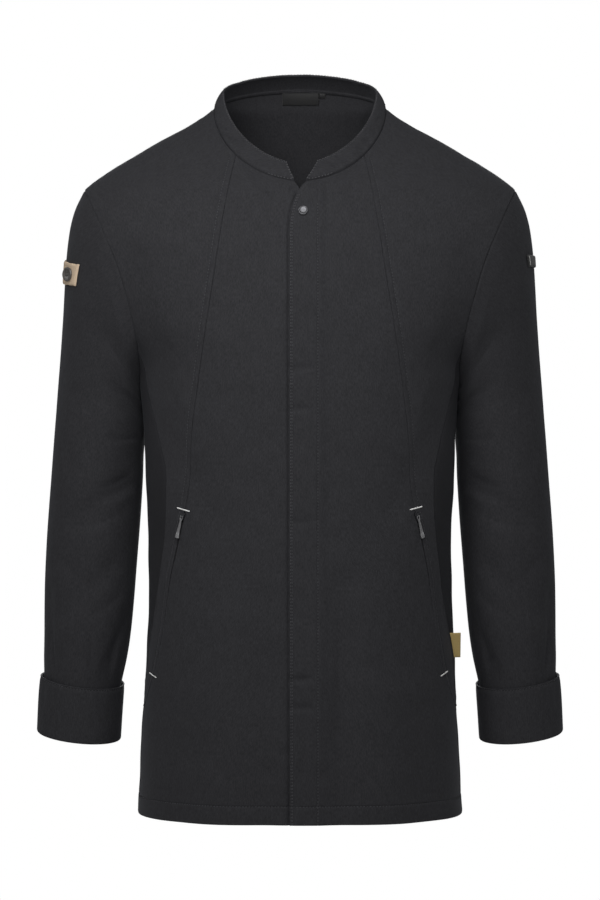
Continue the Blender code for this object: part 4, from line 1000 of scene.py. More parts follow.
def armhole_point(turn):
    """The left armhole's edge at turns in degrees: 0 at the shoulder tip, 90 in front, 180 under the arm."""
    turn = np.asarray(turn, dtype=float)
    share = (1.0 - np.cos(np.radians(turn))) / 2.0
    at_front = np.mod(turn, 360.0) <= 180.0
    scoop = np.where(at_front, ARMHOLE_FRONT_SCOOP, ARMHOLE_BACK_SCOOP)
    x = SHOULDER_TIP[0] + (UNDERARM[0] - SHOULDER_TIP[0]) * share
    x = x - scoop * np.sin(np.radians(turn)) ** 2
    height = SHOULDER_TIP[1] + (UNDERARM[1] - SHOULDER_TIP[1]) * share
    return np.stack([x, section_y(x, height, at_front), height], axis=-1)


def body_base(turn, height):
    """Points of the plain body at turns in degrees and heights."""
    turn, height = np.broadcast_arrays(np.asarray(turn, float), np.asarray(height, float))
    angle = np.radians(turn)
    width, depth, squareness = section(height, np.cos(angle) >= 0.0)
    power = 2.0 / squareness
    x = width * np.sign(np.sin(angle)) * np.abs(np.sin(angle)) ** power
    y = -depth * np.sign(np.cos(angle)) * np.abs(np.cos(angle)) ** power
    return np.stack([x, y, height], axis=-1)


def body_level(x, y, height):
    """The superellipse's own measure of a point: 1 on the section."""
    width, depth, squareness = section(height, y <= 0.0)
    return (np.abs(x) / width) ** squareness + (np.abs(y) / depth) ** squareness


def body_normals(points):
    """Unit normals of the plain body at its points."""
    x, y, z = np.moveaxis(points, -1, 0)
    width, depth, squareness = section(z, y <= 0.0)
    across = np.sign(x) * squareness * np.abs(x) ** (squareness - 1.0) / width**squareness
    ahead = np.sign(y) * squareness * np.abs(y) ** (squareness - 1.0) / depth**squareness
    above = body_level(x, y, z + NORMAL_STEP)
    below = body_level(x, y, z - NORMAL_STEP)
    normals = np.stack([across, ahead, (above - below) / (2.0 * NORMAL_STEP)], axis=-1)
    return unit(normals)


def body_folds(base):
    """The body's main folds, outwards, as the solids have them."""
    x, y, z = np.moveaxis(base, -1, 0)
    front = np.clip(-y / FOLD_FADE, 0.0, 1.0) * fold_push(FRONT_FOLDS, x, z)
    back = np.clip(y / FOLD_FADE, 0.0, 1.0) * fold_push(BACK_FOLDS, x, z)
    return (front + back) * np.clip((FOLD_TOP - z) / FOLD_TOP_FADE, 0.0, 1.0)


def body_push(base):
    """Folds, creases and slow waves of the body's cloth, outwards. The metal pieces sit on calm spots."""
    x, y, z = np.moveaxis(base, -1, 0)
    front = np.clip(-y / FOLD_FADE, 0.0, 1.0) * crease_push(FRONT_CREASES, x, z)
    back = np.clip(y / FOLD_FADE, 0.0, 1.0) * crease_push(BACK_CREASES, x, z)
    side = np.where(x < 0.0, -1.0, 1.0)
    around = side * np.arctan2(np.abs(x), -y) * AROUND_RADIUS
    waves = ripple(BODY_WAVES, around, z) * np.clip((FOLD_TOP - z) / FOLD_TOP_FADE, 0.0, 1.0)
    calm = np.ones_like(x)
    for spot_x, spot_z, reach_x, reach_z in CALM_SPOTS:
        away = ((x - spot_x) / reach_x) ** 2 + ((z - spot_z) / reach_z) ** 2
        calm = calm * np.where(y < 0.0, 1.0 - np.exp(-away), 1.0)
    return body_folds(base) + (front + back + waves) * calm


def turn_at_x(x, height):
    """Turn of the front's point with this x."""
    width, _, squareness = section(height, True)
    share = np.minimum(np.abs(x) / width, 1.0) ** (squareness / 2.0)
    return np.sign(x) * np.degrees(np.arcsin(share))


def turn_at_y(y, height):
    """Turn of the left side's point with this y."""
    y = np.asarray(y, dtype=float)
    _, depth, squareness = section(height, y <= 0.0)
    share = np.minimum(np.abs(y) / depth, 1.0) ** (squareness / 2.0)
    turn = np.degrees(np.arccos(share))
    return np.where(y <= 0.0, turn, 180.0 - turn)


def neckline_x(height):
    """X of the neckline at a height: in front up to 0 and behind above it."""
    drop = NECK_FRONT_DROP if height <= 0.0 else NECK_BACK_RISE
    share = max(1.0 - (abs(height) / drop) ** NECK_SQUARENESS, 0.0)
    return NECK_HALF_WIDTH * share ** (1.0 / NECK_SQUARENESS)


def princess_x(height):
    """X of the princess seam at a height."""
    return float(column(PRINCESS_SEAM, 1, height))


def princess_top():
    """Height where the princess seam meets the neckline."""
    low, high = -NECK_FRONT_DROP, PRINCESS_SEAM[0][0]
    for _ in range(SEARCH_STEPS):
        middle = (low + high) / 2.0
        if neckline_x(middle) < princess_x(middle):
            low = middle
        else:
            high = middle
    return low


def side_panel_corner():
    """Turn of the armhole where the side panel's top begins."""
    return 180.0 * SIDE_PANEL_STEP / HALF_TURN_STEPS


def side_y(height, index):
    """Y of the front (index 1) or back (index 2) side seam."""
    turn = side_panel_corner()
    front, back = armhole_point(turn), armhole_point(360.0 - turn)
    return column(((front[2], front[1], back[1]),) + SIDE_SEAMS, index, height)


def outer_turn(height, at_front):
    """Turn where a front or back piece ends at the shoulder, the armhole or the side panel."""
    if height >= SHOULDER_TIP[1]:
        return 90.0
    if height > armhole_point(side_panel_corner())[2]:
        share = (SHOULDER_TIP[1] - height) / (SHOULDER_TIP[1] - UNDERARM[1])
        turn = math.degrees(math.acos(1.0 - 2.0 * share))
        edge = armhole_point(turn if at_front else 360.0 - turn)
        return float(turn_at_y(edge[1], height))
    return float(turn_at_y(side_y(height, 1 if at_front else 2), height))


# ---- sleeves


def ring_points(ring, turn):
    """Points of a ring (a row of the ring columns) at turns in radians; rings and turns broadcast."""
    outer_x, outer_z, inner_x, inner_z, middle_y, half_depth, drop = np.moveaxis(np.asarray(ring), -1, 0)
    share = (1.0 - np.cos(turn)) / 2.0
    sine = np.sin(turn)
    x = outer_x + (inner_x - outer_x) * share
    y = middle_y - half_depth * sine
    z = outer_z + (inner_z - outer_z) * share - drop * sine
    return np.stack(np.broadcast_arrays(x, y, z), axis=-1)


def sleeve_base(place, turn):
    """Points of the plain left sleeve, which leaves the armhole's edge for its own rings."""
    place, turn = np.broadcast_arrays(np.asarray(place, float), np.asarray(turn, float))
    rows = [(number,) + row for number, row in enumerate(SLEEVE_RINGS)]
    points = ring_points(smooth_table(rows, place), np.radians(turn))
    edge = armhole_point(turn)
    plain = ring_points(np.array(SLEEVE_RINGS[0]), np.radians(turn))
    fade = np.clip(1.0 - place / SLEEVE_JOIN_RINGS, 0.0, 1.0) ** 2
    return points + (edge - plain) * fade[..., None]


def cuff_base(place, turn):
    """Points of the plain left cuff."""
    rows = [(number,) + row for number, row in enumerate(CUFF_RINGS)]
    return ring_points(smooth_table(rows, place), np.radians(turn))


def tube_normals(base, place, turn):
    """Outward unit normals of a tube given by a base function."""
    ahead = base(place + PLACE_STEP, turn) - base(place - PLACE_STEP, turn)
    round_it = base(place, turn + TURN_STEP) - base(place, turn - TURN_STEP)
    normals = np.cross(round_it, ahead)
    return unit(normals)


def sleeve_around(turn):
    """Run round the sleeve from a turn in degrees, as the fold tables count it."""
    return np.radians(np.mod(turn, 360.0)) * TURN_RADIUS


def unrolled(rows):
    """Rows of a sleeve's table, with rings and turns as lengths round and along the sleeve."""
    return [
        (math.radians(turn1) * TURN_RADIUS, ring1 * RING_SPACING,
         math.radians(turn2) * TURN_RADIUS, ring2 * RING_SPACING, *rest)
        for ring1, turn1, ring2, turn2, *rest in rows
    ]


def sleeve_push(place, turn):
    """Folds, creases and slow waves of the sleeve's cloth, outwards."""
    around = sleeve_around(turn)
    along = place * RING_SPACING
    whole = 2.0 * math.pi * TURN_RADIUS
    push = fold_push(unrolled(SLEEVE_FOLDS), around, along)
    for shift in (-whole, 0.0, whole):
        push = push + crease_push(unrolled(SLEEVE_CREASES), around + shift, along)
    fade = np.clip(place / SLEEVE_FOLD_TOP, 0.0, 1.0) * np.clip(SLEEVE_FOLD_END - place, 0.0, 1.0)
    angle = np.radians(turn)
    waves = np.zeros_like(push)
    for lobes, wavelength, phase, height in SLEEVE_WAVES:
        waves = waves + height * np.sin(lobes * angle + phase + 2.0 * math.pi * along / wavelength)
    bulge = np.sin(math.pi * np.clip(place / UNDERARM_RINGS, 0.0, 1.0))
    beside = np.radians(turn - UNDERARM_TURN) * TURN_RADIUS
    bulge = UNDERARM_BULGE * bulge * np.exp(-((beside / UNDERARM_WIDTH) ** 2))
    return push * fade + waves * np.clip(place / SLEEVE_FOLD_TOP, 0.0, 1.0) + bulge


def strip_place(turn, height):
    """Ring numbers where the plain sleeve has these heights at these turns."""
    turn, height = np.broadcast_arrays(np.asarray(turn, float), np.asarray(height, float))
    low = np.full(turn.shape, STRIP_SEARCH[0])
    high = np.full(turn.shape, STRIP_SEARCH[1])
    for _ in range(SEARCH_STEPS):
        middle = (low + high) / 2.0
        above = sleeve_base(middle, turn)[..., 2] > height
        low = np.where(above, middle, low)
        high = np.where(above, high, middle)
    return low


# ---- cloth walls as grids of points


def edge_shape(distance):
    """Share of the full thickness near a cut edge, so that the edge is round."""
    share = np.clip(1.0 - distance / EDGE_ROUND, 0.0, 1.0)
    return np.maximum(np.sqrt(1.0 - share**2), EDGE_SHARE)


def wall_faces(points, normals, thickness, edge):
    """(outer, inner) faces of a wall, thinner where its distance from an edge is small."""
    share = edge_shape(edge)[..., None]
    half = normals * thickness / 2.0
    return points - half * (1.0 - share), points - half * (1.0 + share)


def groove(distance, half_width):
    """A bell-shaped share round a line, 1 on the line itself."""
    return np.exp(-((distance / half_width) ** 2))


def lengths_along(points):
    """Running length along the second-last axis of a line or grid of points."""
    steps = np.linalg.norm(np.diff(points, axis=-2), axis=-1)
    start = np.zeros(steps.shape[:-1] + (1,))
    return np.concatenate([start, np.cumsum(steps, axis=-1)], axis=-1)


def grid_faces(rows, columns, closed):
    """Faces of a closed wall whose outer grid comes first and whose inner grid follows."""
    spans = columns if closed else columns - 1
    far = rows * columns
    i, j = np.meshgrid(np.arange(rows - 1), np.arange(spans), indexing="ij")
    a = (i * columns + j).ravel()
    b = (i * columns + (j + 1) % columns).ravel()
    c, d = a + columns, b + columns
    faces = [np.stack([a, b, d, c], axis=1), np.stack([far + a, far + c, far + d, far + b], axis=1)]
    j = np.arange(spans)
    k = (j + 1) % columns
    last = (rows - 1) * columns
    faces.append(np.stack([j, far + j, far + k, k], axis=1))
    faces.append(np.stack([last + j, last + k, far + last + k, far + last + j], axis=1))
    if not closed:
        a = np.arange(rows - 1) * columns
        c = a + columns
        faces.append(np.stack([a, c, far + c, far + a], axis=1))
        a, c = a + columns - 1, c + columns - 1
        faces.append(np.stack([a, far + a, far + c, c], axis=1))
    return np.concatenate(faces)


def signed_volume(vertices, faces):
    """Volume inside a mesh of quads, below zero where its faces point inwards."""
    a, b, c, d = (vertices[faces[:, i]] for i in range(4))
    return float(np.sum(a * np.cross(b, c)) + np.sum(a * np.cross(c, d))) / 6.0


def new_piece(name, vertices, faces, finish, uvs=None, smooth=True, mixed=False):
    """A mesh object at the origin that rides on the jacket.

    The uvs are one pair for each corner of each face. Mixed faces are turned outwards.
    """
    mesh = bpy.data.meshes.new(name)
    mesh.from_pydata(vertices.tolist(), [], faces)
    if uvs is not None:
        layer = mesh.uv_layers.new(name="cloth_metres")
        layer.data.foreach_set("uv", uvs.reshape(-1).astype(np.float32))
    mesh.materials.append(finish)
    if smooth:
        mesh.shade_smooth()
    piece = bpy.data.objects.new(name, mesh)
    bpy.context.scene.collection.objects.link(piece)
    if mixed:
        fix_normals(piece)
    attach(piece, BODY)
    return piece


def fix_normals(piece):
    """Turns every closed part of a mesh outwards."""
    made = bmesh.new()
    made.from_mesh(piece.data)
    bmesh.ops.recalc_face_normals(made, faces=made.faces)
    made.to_mesh(piece.data)
    made.free()


def as_one(parts):
    """Vertices and faces of several meshes, each given as (vertices, faces), in one."""
    vertices, faces, start = [], [], 0
    for more, their_faces in parts:
        vertices.append(more)
        faces += [tuple(start + v for v in face) for face in their_faces]
        start += len(more)
    return np.concatenate(vertices), faces


def cloth_wall(name, outer, inner, finish, closed=False):
    """A closed wall between two grids, with its uv in metres: u round or across the piece, v down it."""
    rows, columns = outer.shape[:2]
    vertices = np.concatenate([outer.reshape(-1, 3), inner.reshape(-1, 3)])
    faces = grid_faces(rows, columns, closed)
    looped = np.concatenate([outer, outer[:, :1]], axis=1) if closed else outer
    across = lengths_along(looped)
    across = across - across[:, across.shape[1] // 2][:, None]
    down = np.mean(lengths_along(np.swapaxes(looped, 0, 1)), axis=0)
    column_of = faces % (rows * columns) % columns
    row_of = faces % (rows * columns) // columns
    if closed:
        wraps = (column_of.max(axis=1) == columns - 1) & (column_of.min(axis=1) == 0)
        column_of = np.where(wraps[:, None] & (column_of == 0), columns, column_of)
    uvs = np.stack([across[row_of, column_of], -down[row_of]], axis=-1)
    if signed_volume(vertices, faces) < 0.0:
        faces = faces[:, ::-1]
        uvs = uvs[:, ::-1]
    return new_piece(name, vertices, faces.tolist(), finish, uvs)


class Panel:
    """A cut piece of the body: its rows of points, and how far each is from the row's ends."""

    def __init__(self, base, start, end, side):
        self.base = mirrored(base, side)
        self.start = start
        self.end = end
        self.normals = body_normals(self.base)
        self.heights = self.base[..., 2]
        self.x = self.base[..., 0]
        self.points = None

    def push(self, amount):
        """Moves the points outwards from the plain body."""
        self.points = self.base + self.normals * amount[..., None]

    def build(self, name, finish, thickness, edge):
        """The wall under the points, thinner towards its edges."""
        return cloth_wall(name, *wall_faces(self.points, self.normals, thickness, edge), finish)

    def line(self, distances, wanted, low=-10.0, high=10.0, reverse=False):
        """Points and normals down the rows, at one distance along each; the heights may be limited."""
        points, normals = [], []
        for row in range(len(self.points)):
            along = distances[row]
            order = np.argsort(along)
            if not along[order[0]] <= wanted <= along[order[-1]]:
                continue
            place = [np.interp(wanted, along[order], self.points[row, order, i]) for i in range(3)]
            if not low <= place[2] <= high:
                continue
            points.append(place)
            middle = int(np.argmin(np.abs(along - wanted)))
            normals.append(self.normals[row, middle])
        return np.array(points), np.array(normals)

    def level(self, height):
        """Points and normals across the columns, at one height."""
        points = []
        for j in range(self.points.shape[1]):
            z = self.heights[::-1, j]
            points.append([np.interp(height, z, self.points[::-1, j, i]) for i in range(3)])
        row = int(np.argmin(np.abs(self.heights[:, 0] - height)))
        return np.array(points), self.normals[row]


def spaced_row(stops, offsets, counts, height, trims):
    """Turns of one row and its distances from each end.

    Round each stop stand points at set distances, and between two stops a count of evenly spaced ones.
    """
    turns = np.unique(np.concatenate([np.linspace(stops[0], stops[-1], ROW_SAMPLES), stops]))
    points = body_base(turns, height)
    along = lengths_along(points)
    places = np.interp(stops, turns, along)
    places[0] += trims[0]
    places[-1] -= trims[1]
    wanted = [places[:1]]
    for low, high, after, before, count in zip(places, places[1:], offsets[0], offsets[1], counts):
        room = max(high - low, LEAST_ROOM)
        tight = min(1.0, OFFSET_ROOM * room / (after[-1] + before[-1]))
        near = low + np.array(after[1:]) * tight
        far = high - np.array(before[::-1]) * tight
        wanted.append(near)
        wanted.append(np.linspace(near[-1], far[0], count + 2)[1:-1])
        wanted.append(far)
    wanted = np.concatenate(wanted)
    return np.interp(wanted, along, turns), wanted - places[0], places[-1] - wanted


def body_rows(heights, stops_at, offsets, counts, trims_at, side):
    """A Panel from a function that gives each height's stops."""
    rows, start, end = [], [], []
    for height in heights:
        turns, before, after = spaced_row(stops_at(height), offsets, counts, height, trims_at(height))
        rows.append(body_base(turns, height))
        start.append(before)
        end.append(after)
    return Panel(np.array(rows), np.array(start), np.array(end), side)


def row_heights(top, bottom, marks=()):
    """Heights of rows from top to bottom: even steps, and closer ones round each mark and at the hem."""
    count = max(int(round((top - bottom) / ROW_STEP)), 2)
    heights = [z for z in np.linspace(top, bottom, count + 1)]
    for mark in marks:
        close = max(LINE_OFFSETS) + ROW_STEP * MARK_ROOM
        heights = [z for z in heights if abs(z - mark) > close or z in (top, bottom)]
        heights += [mark + step for step in LINE_OFFSETS] + [mark] + [mark - step for step in LINE_OFFSETS]
    kept = [z for z in heights if bottom <= z <= top]
    return np.array(sorted(set(kept), reverse=True))


# ---- thread


def stitches_on(points, normals, length, gap, radius, seed):
    """Vertices and faces of short rounded stitches along a line on the cloth, each half sunk in it."""
    random = np.random.default_rng(seed)
    along = lengths_along(points)
    count = int(along[-1] // (length + gap))
    if count < 1:
        return np.zeros((0, 3)), []
    middles = (np.arange(count) + 0.5) * along[-1] / count
    middles = middles + random.uniform(-STITCH_WANDER, STITCH_WANDER, count) * length

    middle = along_line(middles, along, points)
    start, end = (along_line(middles + length * half, along, points) for half in (-0.5, 0.5))
    ahead = unit(end - start)
    up = along_line(middles, along, normals)
    up -= ahead * np.sum(up * ahead, axis=1)[:, None]
    up = unit(up)
    across = np.cross(up, ahead)
    tilt = random.uniform(-STITCH_TILT, STITCH_TILT, count)[:, None]
    ahead = ahead + across * tilt
    reach = length * random.uniform(*STITCH_REACH, count) / 2.0
    vertices = []
    for share, thick, sink in STITCH_PROFILE:
        centre = middle + ahead * (reach * share)[:, None] + up * (STITCH_RISE - radius * sink)
        if thick == 0.0:
            vertices.append(centre[:, None])
            continue
        ring = [
            centre + (across * math.cos(a) + up * math.sin(a)) * radius * thick
            for a in (2.0 * math.pi * k / STITCH_SIDES for k in range(STITCH_SIDES))
        ]
        vertices.append(np.stack(ring, axis=1))
    vertices = np.concatenate(vertices, axis=1)
    each = vertices.shape[1]
    pattern = []
    for k in range(STITCH_SIDES):
        m = (k + 1) % STITCH_SIDES
        one, two, three = (1 + ring * STITCH_SIDES for ring in range(3))
        pattern.append((0, one + m, one + k))
        pattern.append((one + k, one + m, two + m, two + k))
        pattern.append((two + k, two + m, three + m, three + k))
        pattern.append((three + k, three + m, each - 1))
    faces = [tuple(i + v for v in face) for i in range(0, count * each, each) for face in pattern]
    return vertices.reshape(-1, 3), faces


def thread_piece(name, lines, finish, fine=False):
    """All the stitches of a piece as one mesh, along lines given as (points, normals)."""
    sizes = bpy.context.scene.jacket_sizes
    radius = sizes.edge_thread_radius if fine else sizes.thread_radius
    parts = [
        stitches_on(points, normals, sizes.stitch_length, sizes.stitch_gap, radius, seed)
        for seed, (points, normals) in enumerate(lines)
        if len(points) > 1
    ]
    return new_piece(name, *as_one(parts), finish)


# ---- pieces of cloth


def overlap_lift(base):
    """How far the upper front stands off the body where it laps over the under one."""
    x, z = base[..., 0], base[..., 2]
    across = ease((OVERLAP_END + OVERLAP_EASE - x) / OVERLAP_EASE)
    down = np.clip((OVERLAP_TOP - z) / (OVERLAP_TOP - OVERLAP_FULL), 0.0, 1.0)
    return OVERLAP_LIFT * across * down


def hem_relief(heights):
    """The double cloth of the hem stands up a little, and its stitches pull a groove."""
    above = heights - (HEM_HEIGHT + HEM_STITCH)
    return HEM_RISE * ease(-above / SEAM_EASE) - STITCH_DEPTH * groove(above, STITCH_WIDTH)


def seam_relief(distance, stitch, rise):
    """The seam allowance under a topstitched edge, with its groove."""
    band = rise * ease((stitch - distance) / SEAM_EASE + 0.5)
    return band - STITCH_DEPTH * groove(distance - stitch, STITCH_WIDTH)


def pucker(run, distance, seam, side=0.0):
    """Small uneven ripples across a stitched seam of the table of puckers."""
    reach, phase, by_side = PUCKERS[seam]
    phase = phase + by_side * side
    waves = np.sin(2.0 * math.pi * run / PUCKER_LONG + phase) * np.sin(2.0 * math.pi * run / PUCKER_SLOW)
    waves = waves + PUCKER_SECOND * np.sin(2.0 * math.pi * run / PUCKER_SHORT + 2.0 * phase)
    return PUCKER_HEIGHT * waves * np.exp(-((distance / reach) ** 2))


def offsets_for(*lines):
    """Distances of points beside a stop: a round edge, then close ones at each stitch line."""
    found = list(EDGE_OFFSETS)
    for line in lines:
        beside = (-LINE_OFFSETS[1], -LINE_OFFSETS[2], 0.0, LINE_OFFSETS[2], LINE_OFFSETS[1])
        found += [line + step for step in beside]
    return tuple(sorted(v for v in set(found) if v >= 0.0))


def seam_trim(height):
    """How far a front is cut back from the princess seam: open at the pocket, shut below it."""
    if height >= POCKET_TOP:
        return PRINCESS_TRIM
    share = np.clip((height - SLIT_SHUT) / (POCKET_TOP - SLIT_SHUT), 0.0, 1.0)
    return SHUT_TRIM + (POCKET_TRIM - SHUT_TRIM) * float(share)


def seam_edge(distance, heights):
    """Distance from a princess seam's edge as the rounding counts it: sharp, and flat below the pocket."""
    shut = np.where(heights <= POCKET_BOTTOM, EDGE_ROUND, distance / PRINCESS_EDGE)
    return np.where((heights < POCKET_TOP) & (heights > SLIT_SHUT), distance, shut)


def side_edge_relief(distance, heights):
    """The pressed edge of a front, which stands a little over the side panel."""
    below_top = ease((SIDE_EDGE_TOP - heights) / SIDE_EDGE_EASE)
    above_end = ease((heights - SIDE_EDGE_BOTTOM) / SEAM_END_FADE)
    return SIDE_EDGE_RISE * groove(distance, SIDE_EDGE_WIDTH) * below_top * above_end


def front_centre_piece(name, side, edge_table, laps, finish):
    """A front from its edge to the princess seam, and below the pocket to the side panel."""
    top = princess_top() - FRONT_TOP_STEP

    def stops_at(height):
        if height > OVERLAP_TOP:
            start = turn_at_x(neckline_x(height), height)
        else:
            start = turn_at_x(column(edge_table, 1, height), height)
        below_point = height < PRINCESS_SEAM[-1][0]
        end = outer_turn(height, True) if below_point else turn_at_x(princess_x(height), height)
        fly = turn_at_x(FLY_STITCH_X, height)
        middle = start + (end - start) * NARROW_SHARE
        if laps and start < fly - 1.0:
            middle = fly
        elif not laps and height < OVERLAP_TOP:
            beyond = turn_at_x(-column(UPPER_EDGE, 1, height), height)
            middle = max(beyond, start + (end - start) * LEAST_SHARE)
        return [float(start), float(middle), float(end)]

    def trims_at(height):
        return (SEAM_TRIM, seam_trim(height))

    around = (0.0,) + LINE_OFFSETS[::-1]
    near_edge = offsets_for(*FLY_EDGE_STITCHES) if laps else offsets_for(UNDER_EDGE_LINE)
    after = (near_edge, around)
    before = (around, offsets_for(PRINCESS_STITCH))
    heights = row_heights(top, HEM_HEIGHT, HEM_MARKS)
    panel = body_rows(heights, stops_at, (after, before), FRONT_CENTRE_COUNTS, trims_at, side)
    lift = overlap_lift(panel.base) if laps else 0.0
    z = panel.heights
    relief = hem_relief(z) + pucker(z, panel.end, "princess_centre", side)
    if laps:
        for stitch in FLY_EDGE_STITCHES:
            relief = relief - STITCH_DEPTH * groove(panel.start - stitch, STITCH_WIDTH)
        on_fly = np.where(z < OVERLAP_FULL, panel.x - FLY_STITCH_X, 1.0)
        relief = relief - STITCH_DEPTH * groove(on_fly, STITCH_WIDTH)
        relief = relief + pucker(z, panel.start, "fly_edge") + pucker(z, on_fly, "fly")
        relief = relief - FLY_ROLL * groove(panel.start, FLY_ROLL_REACH)
    else:
        upper_edge = -column(UPPER_EDGE, 1, z)
        below_neck = np.clip((OVERLAP_TOP - z) / (OVERLAP_TOP - OVERLAP_FULL), 0.0, 1.0)
        beside = -panel.x - upper_edge - UNDER_GROOVE_WIDTH / 2.0
        relief = relief - UNDER_GROOVE * groove(beside, UNDER_GROOVE_WIDTH) * below_neck
    at_side = z < PRINCESS_SEAM[-1][0]
    relief = relief + side_edge_relief(panel.end, z) * at_side
    panel.push(body_push(panel.base) + lift + relief)
    edge = np.minimum(panel.start, np.where(at_side, panel.end, seam_edge(panel.end, z)))
    edge = np.minimum(edge, z - HEM_HEIGHT)
    piece = panel.build(name, finish, WALL, edge)
    return piece, panel


def front_side_piece(name, side, finish):
    """A front from the princess seam to the armhole and the side panel, ending in a point."""

    def stops_at(height):
        in_neck = height > princess_top()
        start = turn_at_x(neckline_x(height) if in_neck else princess_x(height), height)
        return [float(start), outer_turn(height, True)]

    def trims_at(height):
        return (seam_trim(height), SEAM_TRIM)

    heights = row_heights(FRONT_SIDE_TOP, POCKET_SEAM_END + FRONT_SIDE_POINT)
    after = (offsets_for(PRINCESS_STITCH),)
    before = (offsets_for(SHOULDER_STITCH),)
    panel = body_rows(heights, stops_at, (after, before), FRONT_SIDE_COUNTS, trims_at, side)
    z = panel.heights
    seamed = np.where(z > princess_top(), 0.0, 1.0)
    relief = seam_relief(panel.start, PRINCESS_STITCH, SEAM_RISE) * seamed
    relief = relief + pucker(z, panel.start, "princess_side", side) * seamed
    at_shoulder = ease((z - SHOULDER_TIP[1]) / SHOULDER_FADE)
    relief = relief + seam_relief(panel.end, SHOULDER_STITCH, SHOULDER_RISE) * at_shoulder
    relief = relief + side_edge_relief(panel.end, z)
    relief = relief + pucker(z + panel.x, panel.end, "front_end", side)
    panel.push(body_push(panel.base) + relief)
    start_edge = np.where(z > princess_top(), panel.start, seam_edge(panel.start, z))
    end_edge = np.where(z < SHOULDER_TIP[1], panel.end / PRINCESS_EDGE, panel.end)
    piece = panel.build(name, finish, WALL, np.minimum(start_edge, end_edge))
    return piece, panel


def side_panel_piece(name, side, finish):
    """The panel under the arm: its top follows the armhole, its sides the two side seams."""
    first = side_panel_corner()
    edge_turns = first + SIDE_PANEL_EDGE_TURNS
    even = np.linspace(edge_turns[-1], 360.0 - edge_turns[-1], SIDE_PANEL_COLUMNS)
    turns = np.concatenate([edge_turns[:-1], even, 360.0 - edge_turns[-2::-1]])
    top = armhole_point(turns)
    shares = (top[:, 1] - top[0, 1]) / (top[-1, 1] - top[0, 1])
    corner, under = top[0, 2], UNDERARM[1]
    grid = []
    for level in np.linspace(corner, under, SIDE_PANEL_TOP_ROWS, endpoint=False):
        share = (level - corner) / (under - corner)
        grid.append(top[:, 2] + (under - top[:, 2]) * share - JOIN_GAP * (1.0 - share))
    lower = row_heights(under, HEM_HEIGHT, HEM_MARKS)
    grid += [np.full(len(turns), level) for level in lower]
    heights = np.array(grid)
    lapped = ease((UNDERARM[1] - heights) / SIDE_PANEL_LAP_EASE)
    trim = SIDE_PANEL_TRIM - (SIDE_PANEL_TRIM + SIDE_PANEL_LAP) * lapped
    front_y = side_y(heights, 1) + trim
    back_y = side_y(heights, 2) - trim
    y = front_y + (back_y - front_y) * shares
    base = body_base(turn_at_y(y, heights), heights)
    along = lengths_along(base)
    panel = Panel(base, along, along[:, -1:] - along, side)
    below_top = (SIDE_PANEL_INSET_TOP - panel.heights) / SIDE_PANEL_INSET_EASE
    inset = -SIDE_PANEL_INSET * np.clip(below_top, 0.0, 1.0)
    fade_from, fade_to = SIDE_PANEL_FADE
    inset = inset * np.clip((panel.heights - fade_to) / (fade_from - fade_to), 0.0, 1.0)
    tuck = LAP_TUCK * ease(1.0 - np.minimum(panel.start, panel.end) / LAP_TUCK_REACH) * lapped
    relief = hem_relief(panel.heights) + pucker(panel.heights, panel.start, "side_panel", side)
    panel.push(body_push(panel.base) + np.minimum(inset, -tuck) + relief)
    edge = np.minimum(np.minimum(panel.start, panel.end), panel.heights - HEM_HEIGHT)
    piece = panel.build(name, finish, WALL, edge)
    return piece, panel


def back_piece(name, finish):
    """The back, from the neck and the shoulders to the hem."""

    def stops_at(height):
        if height > 0.0:
            width, _, squareness = section(height, False)
            share = min(neckline_x(height) / float(width), 1.0) ** (float(squareness) / 2.0)
            start = 180.0 - math.degrees(math.asin(share))
        else:
            start = outer_turn(height, False) - (SHOULDER_LAP_TURN if height > SHOULDER_TIP[1] else 0.0)
        return [start, 360.0 - start]

    def trims_at(height):
        return (SEAM_TRIM, SEAM_TRIM)

    heights = row_heights(NECK_BACK_RISE * BACK_TOP_SHARE, HEM_HEIGHT, HEM_MARKS)
    near = offsets_for(SHOULDER_STITCH)
    panel = body_rows(heights, stops_at, ((near,), (near,)), BACK_COUNTS, trims_at, 1.0)
    nearest = np.minimum(panel.start, panel.end)
    relief = hem_relief(panel.heights)
    relief = relief + pucker(panel.heights, nearest, "back")
    on_shoulder = (panel.heights > SHOULDER_TIP[1]) & (panel.heights <= 0.0)
    relief = relief - LAP_TUCK * ease(1.0 - nearest / LAP_TUCK_REACH) * on_shoulder
    panel.push(body_push(panel.base) + relief)
    piece = panel.build(name, finish, WALL, np.minimum(nearest, panel.heights - HEM_HEIGHT))
    return piece, panel


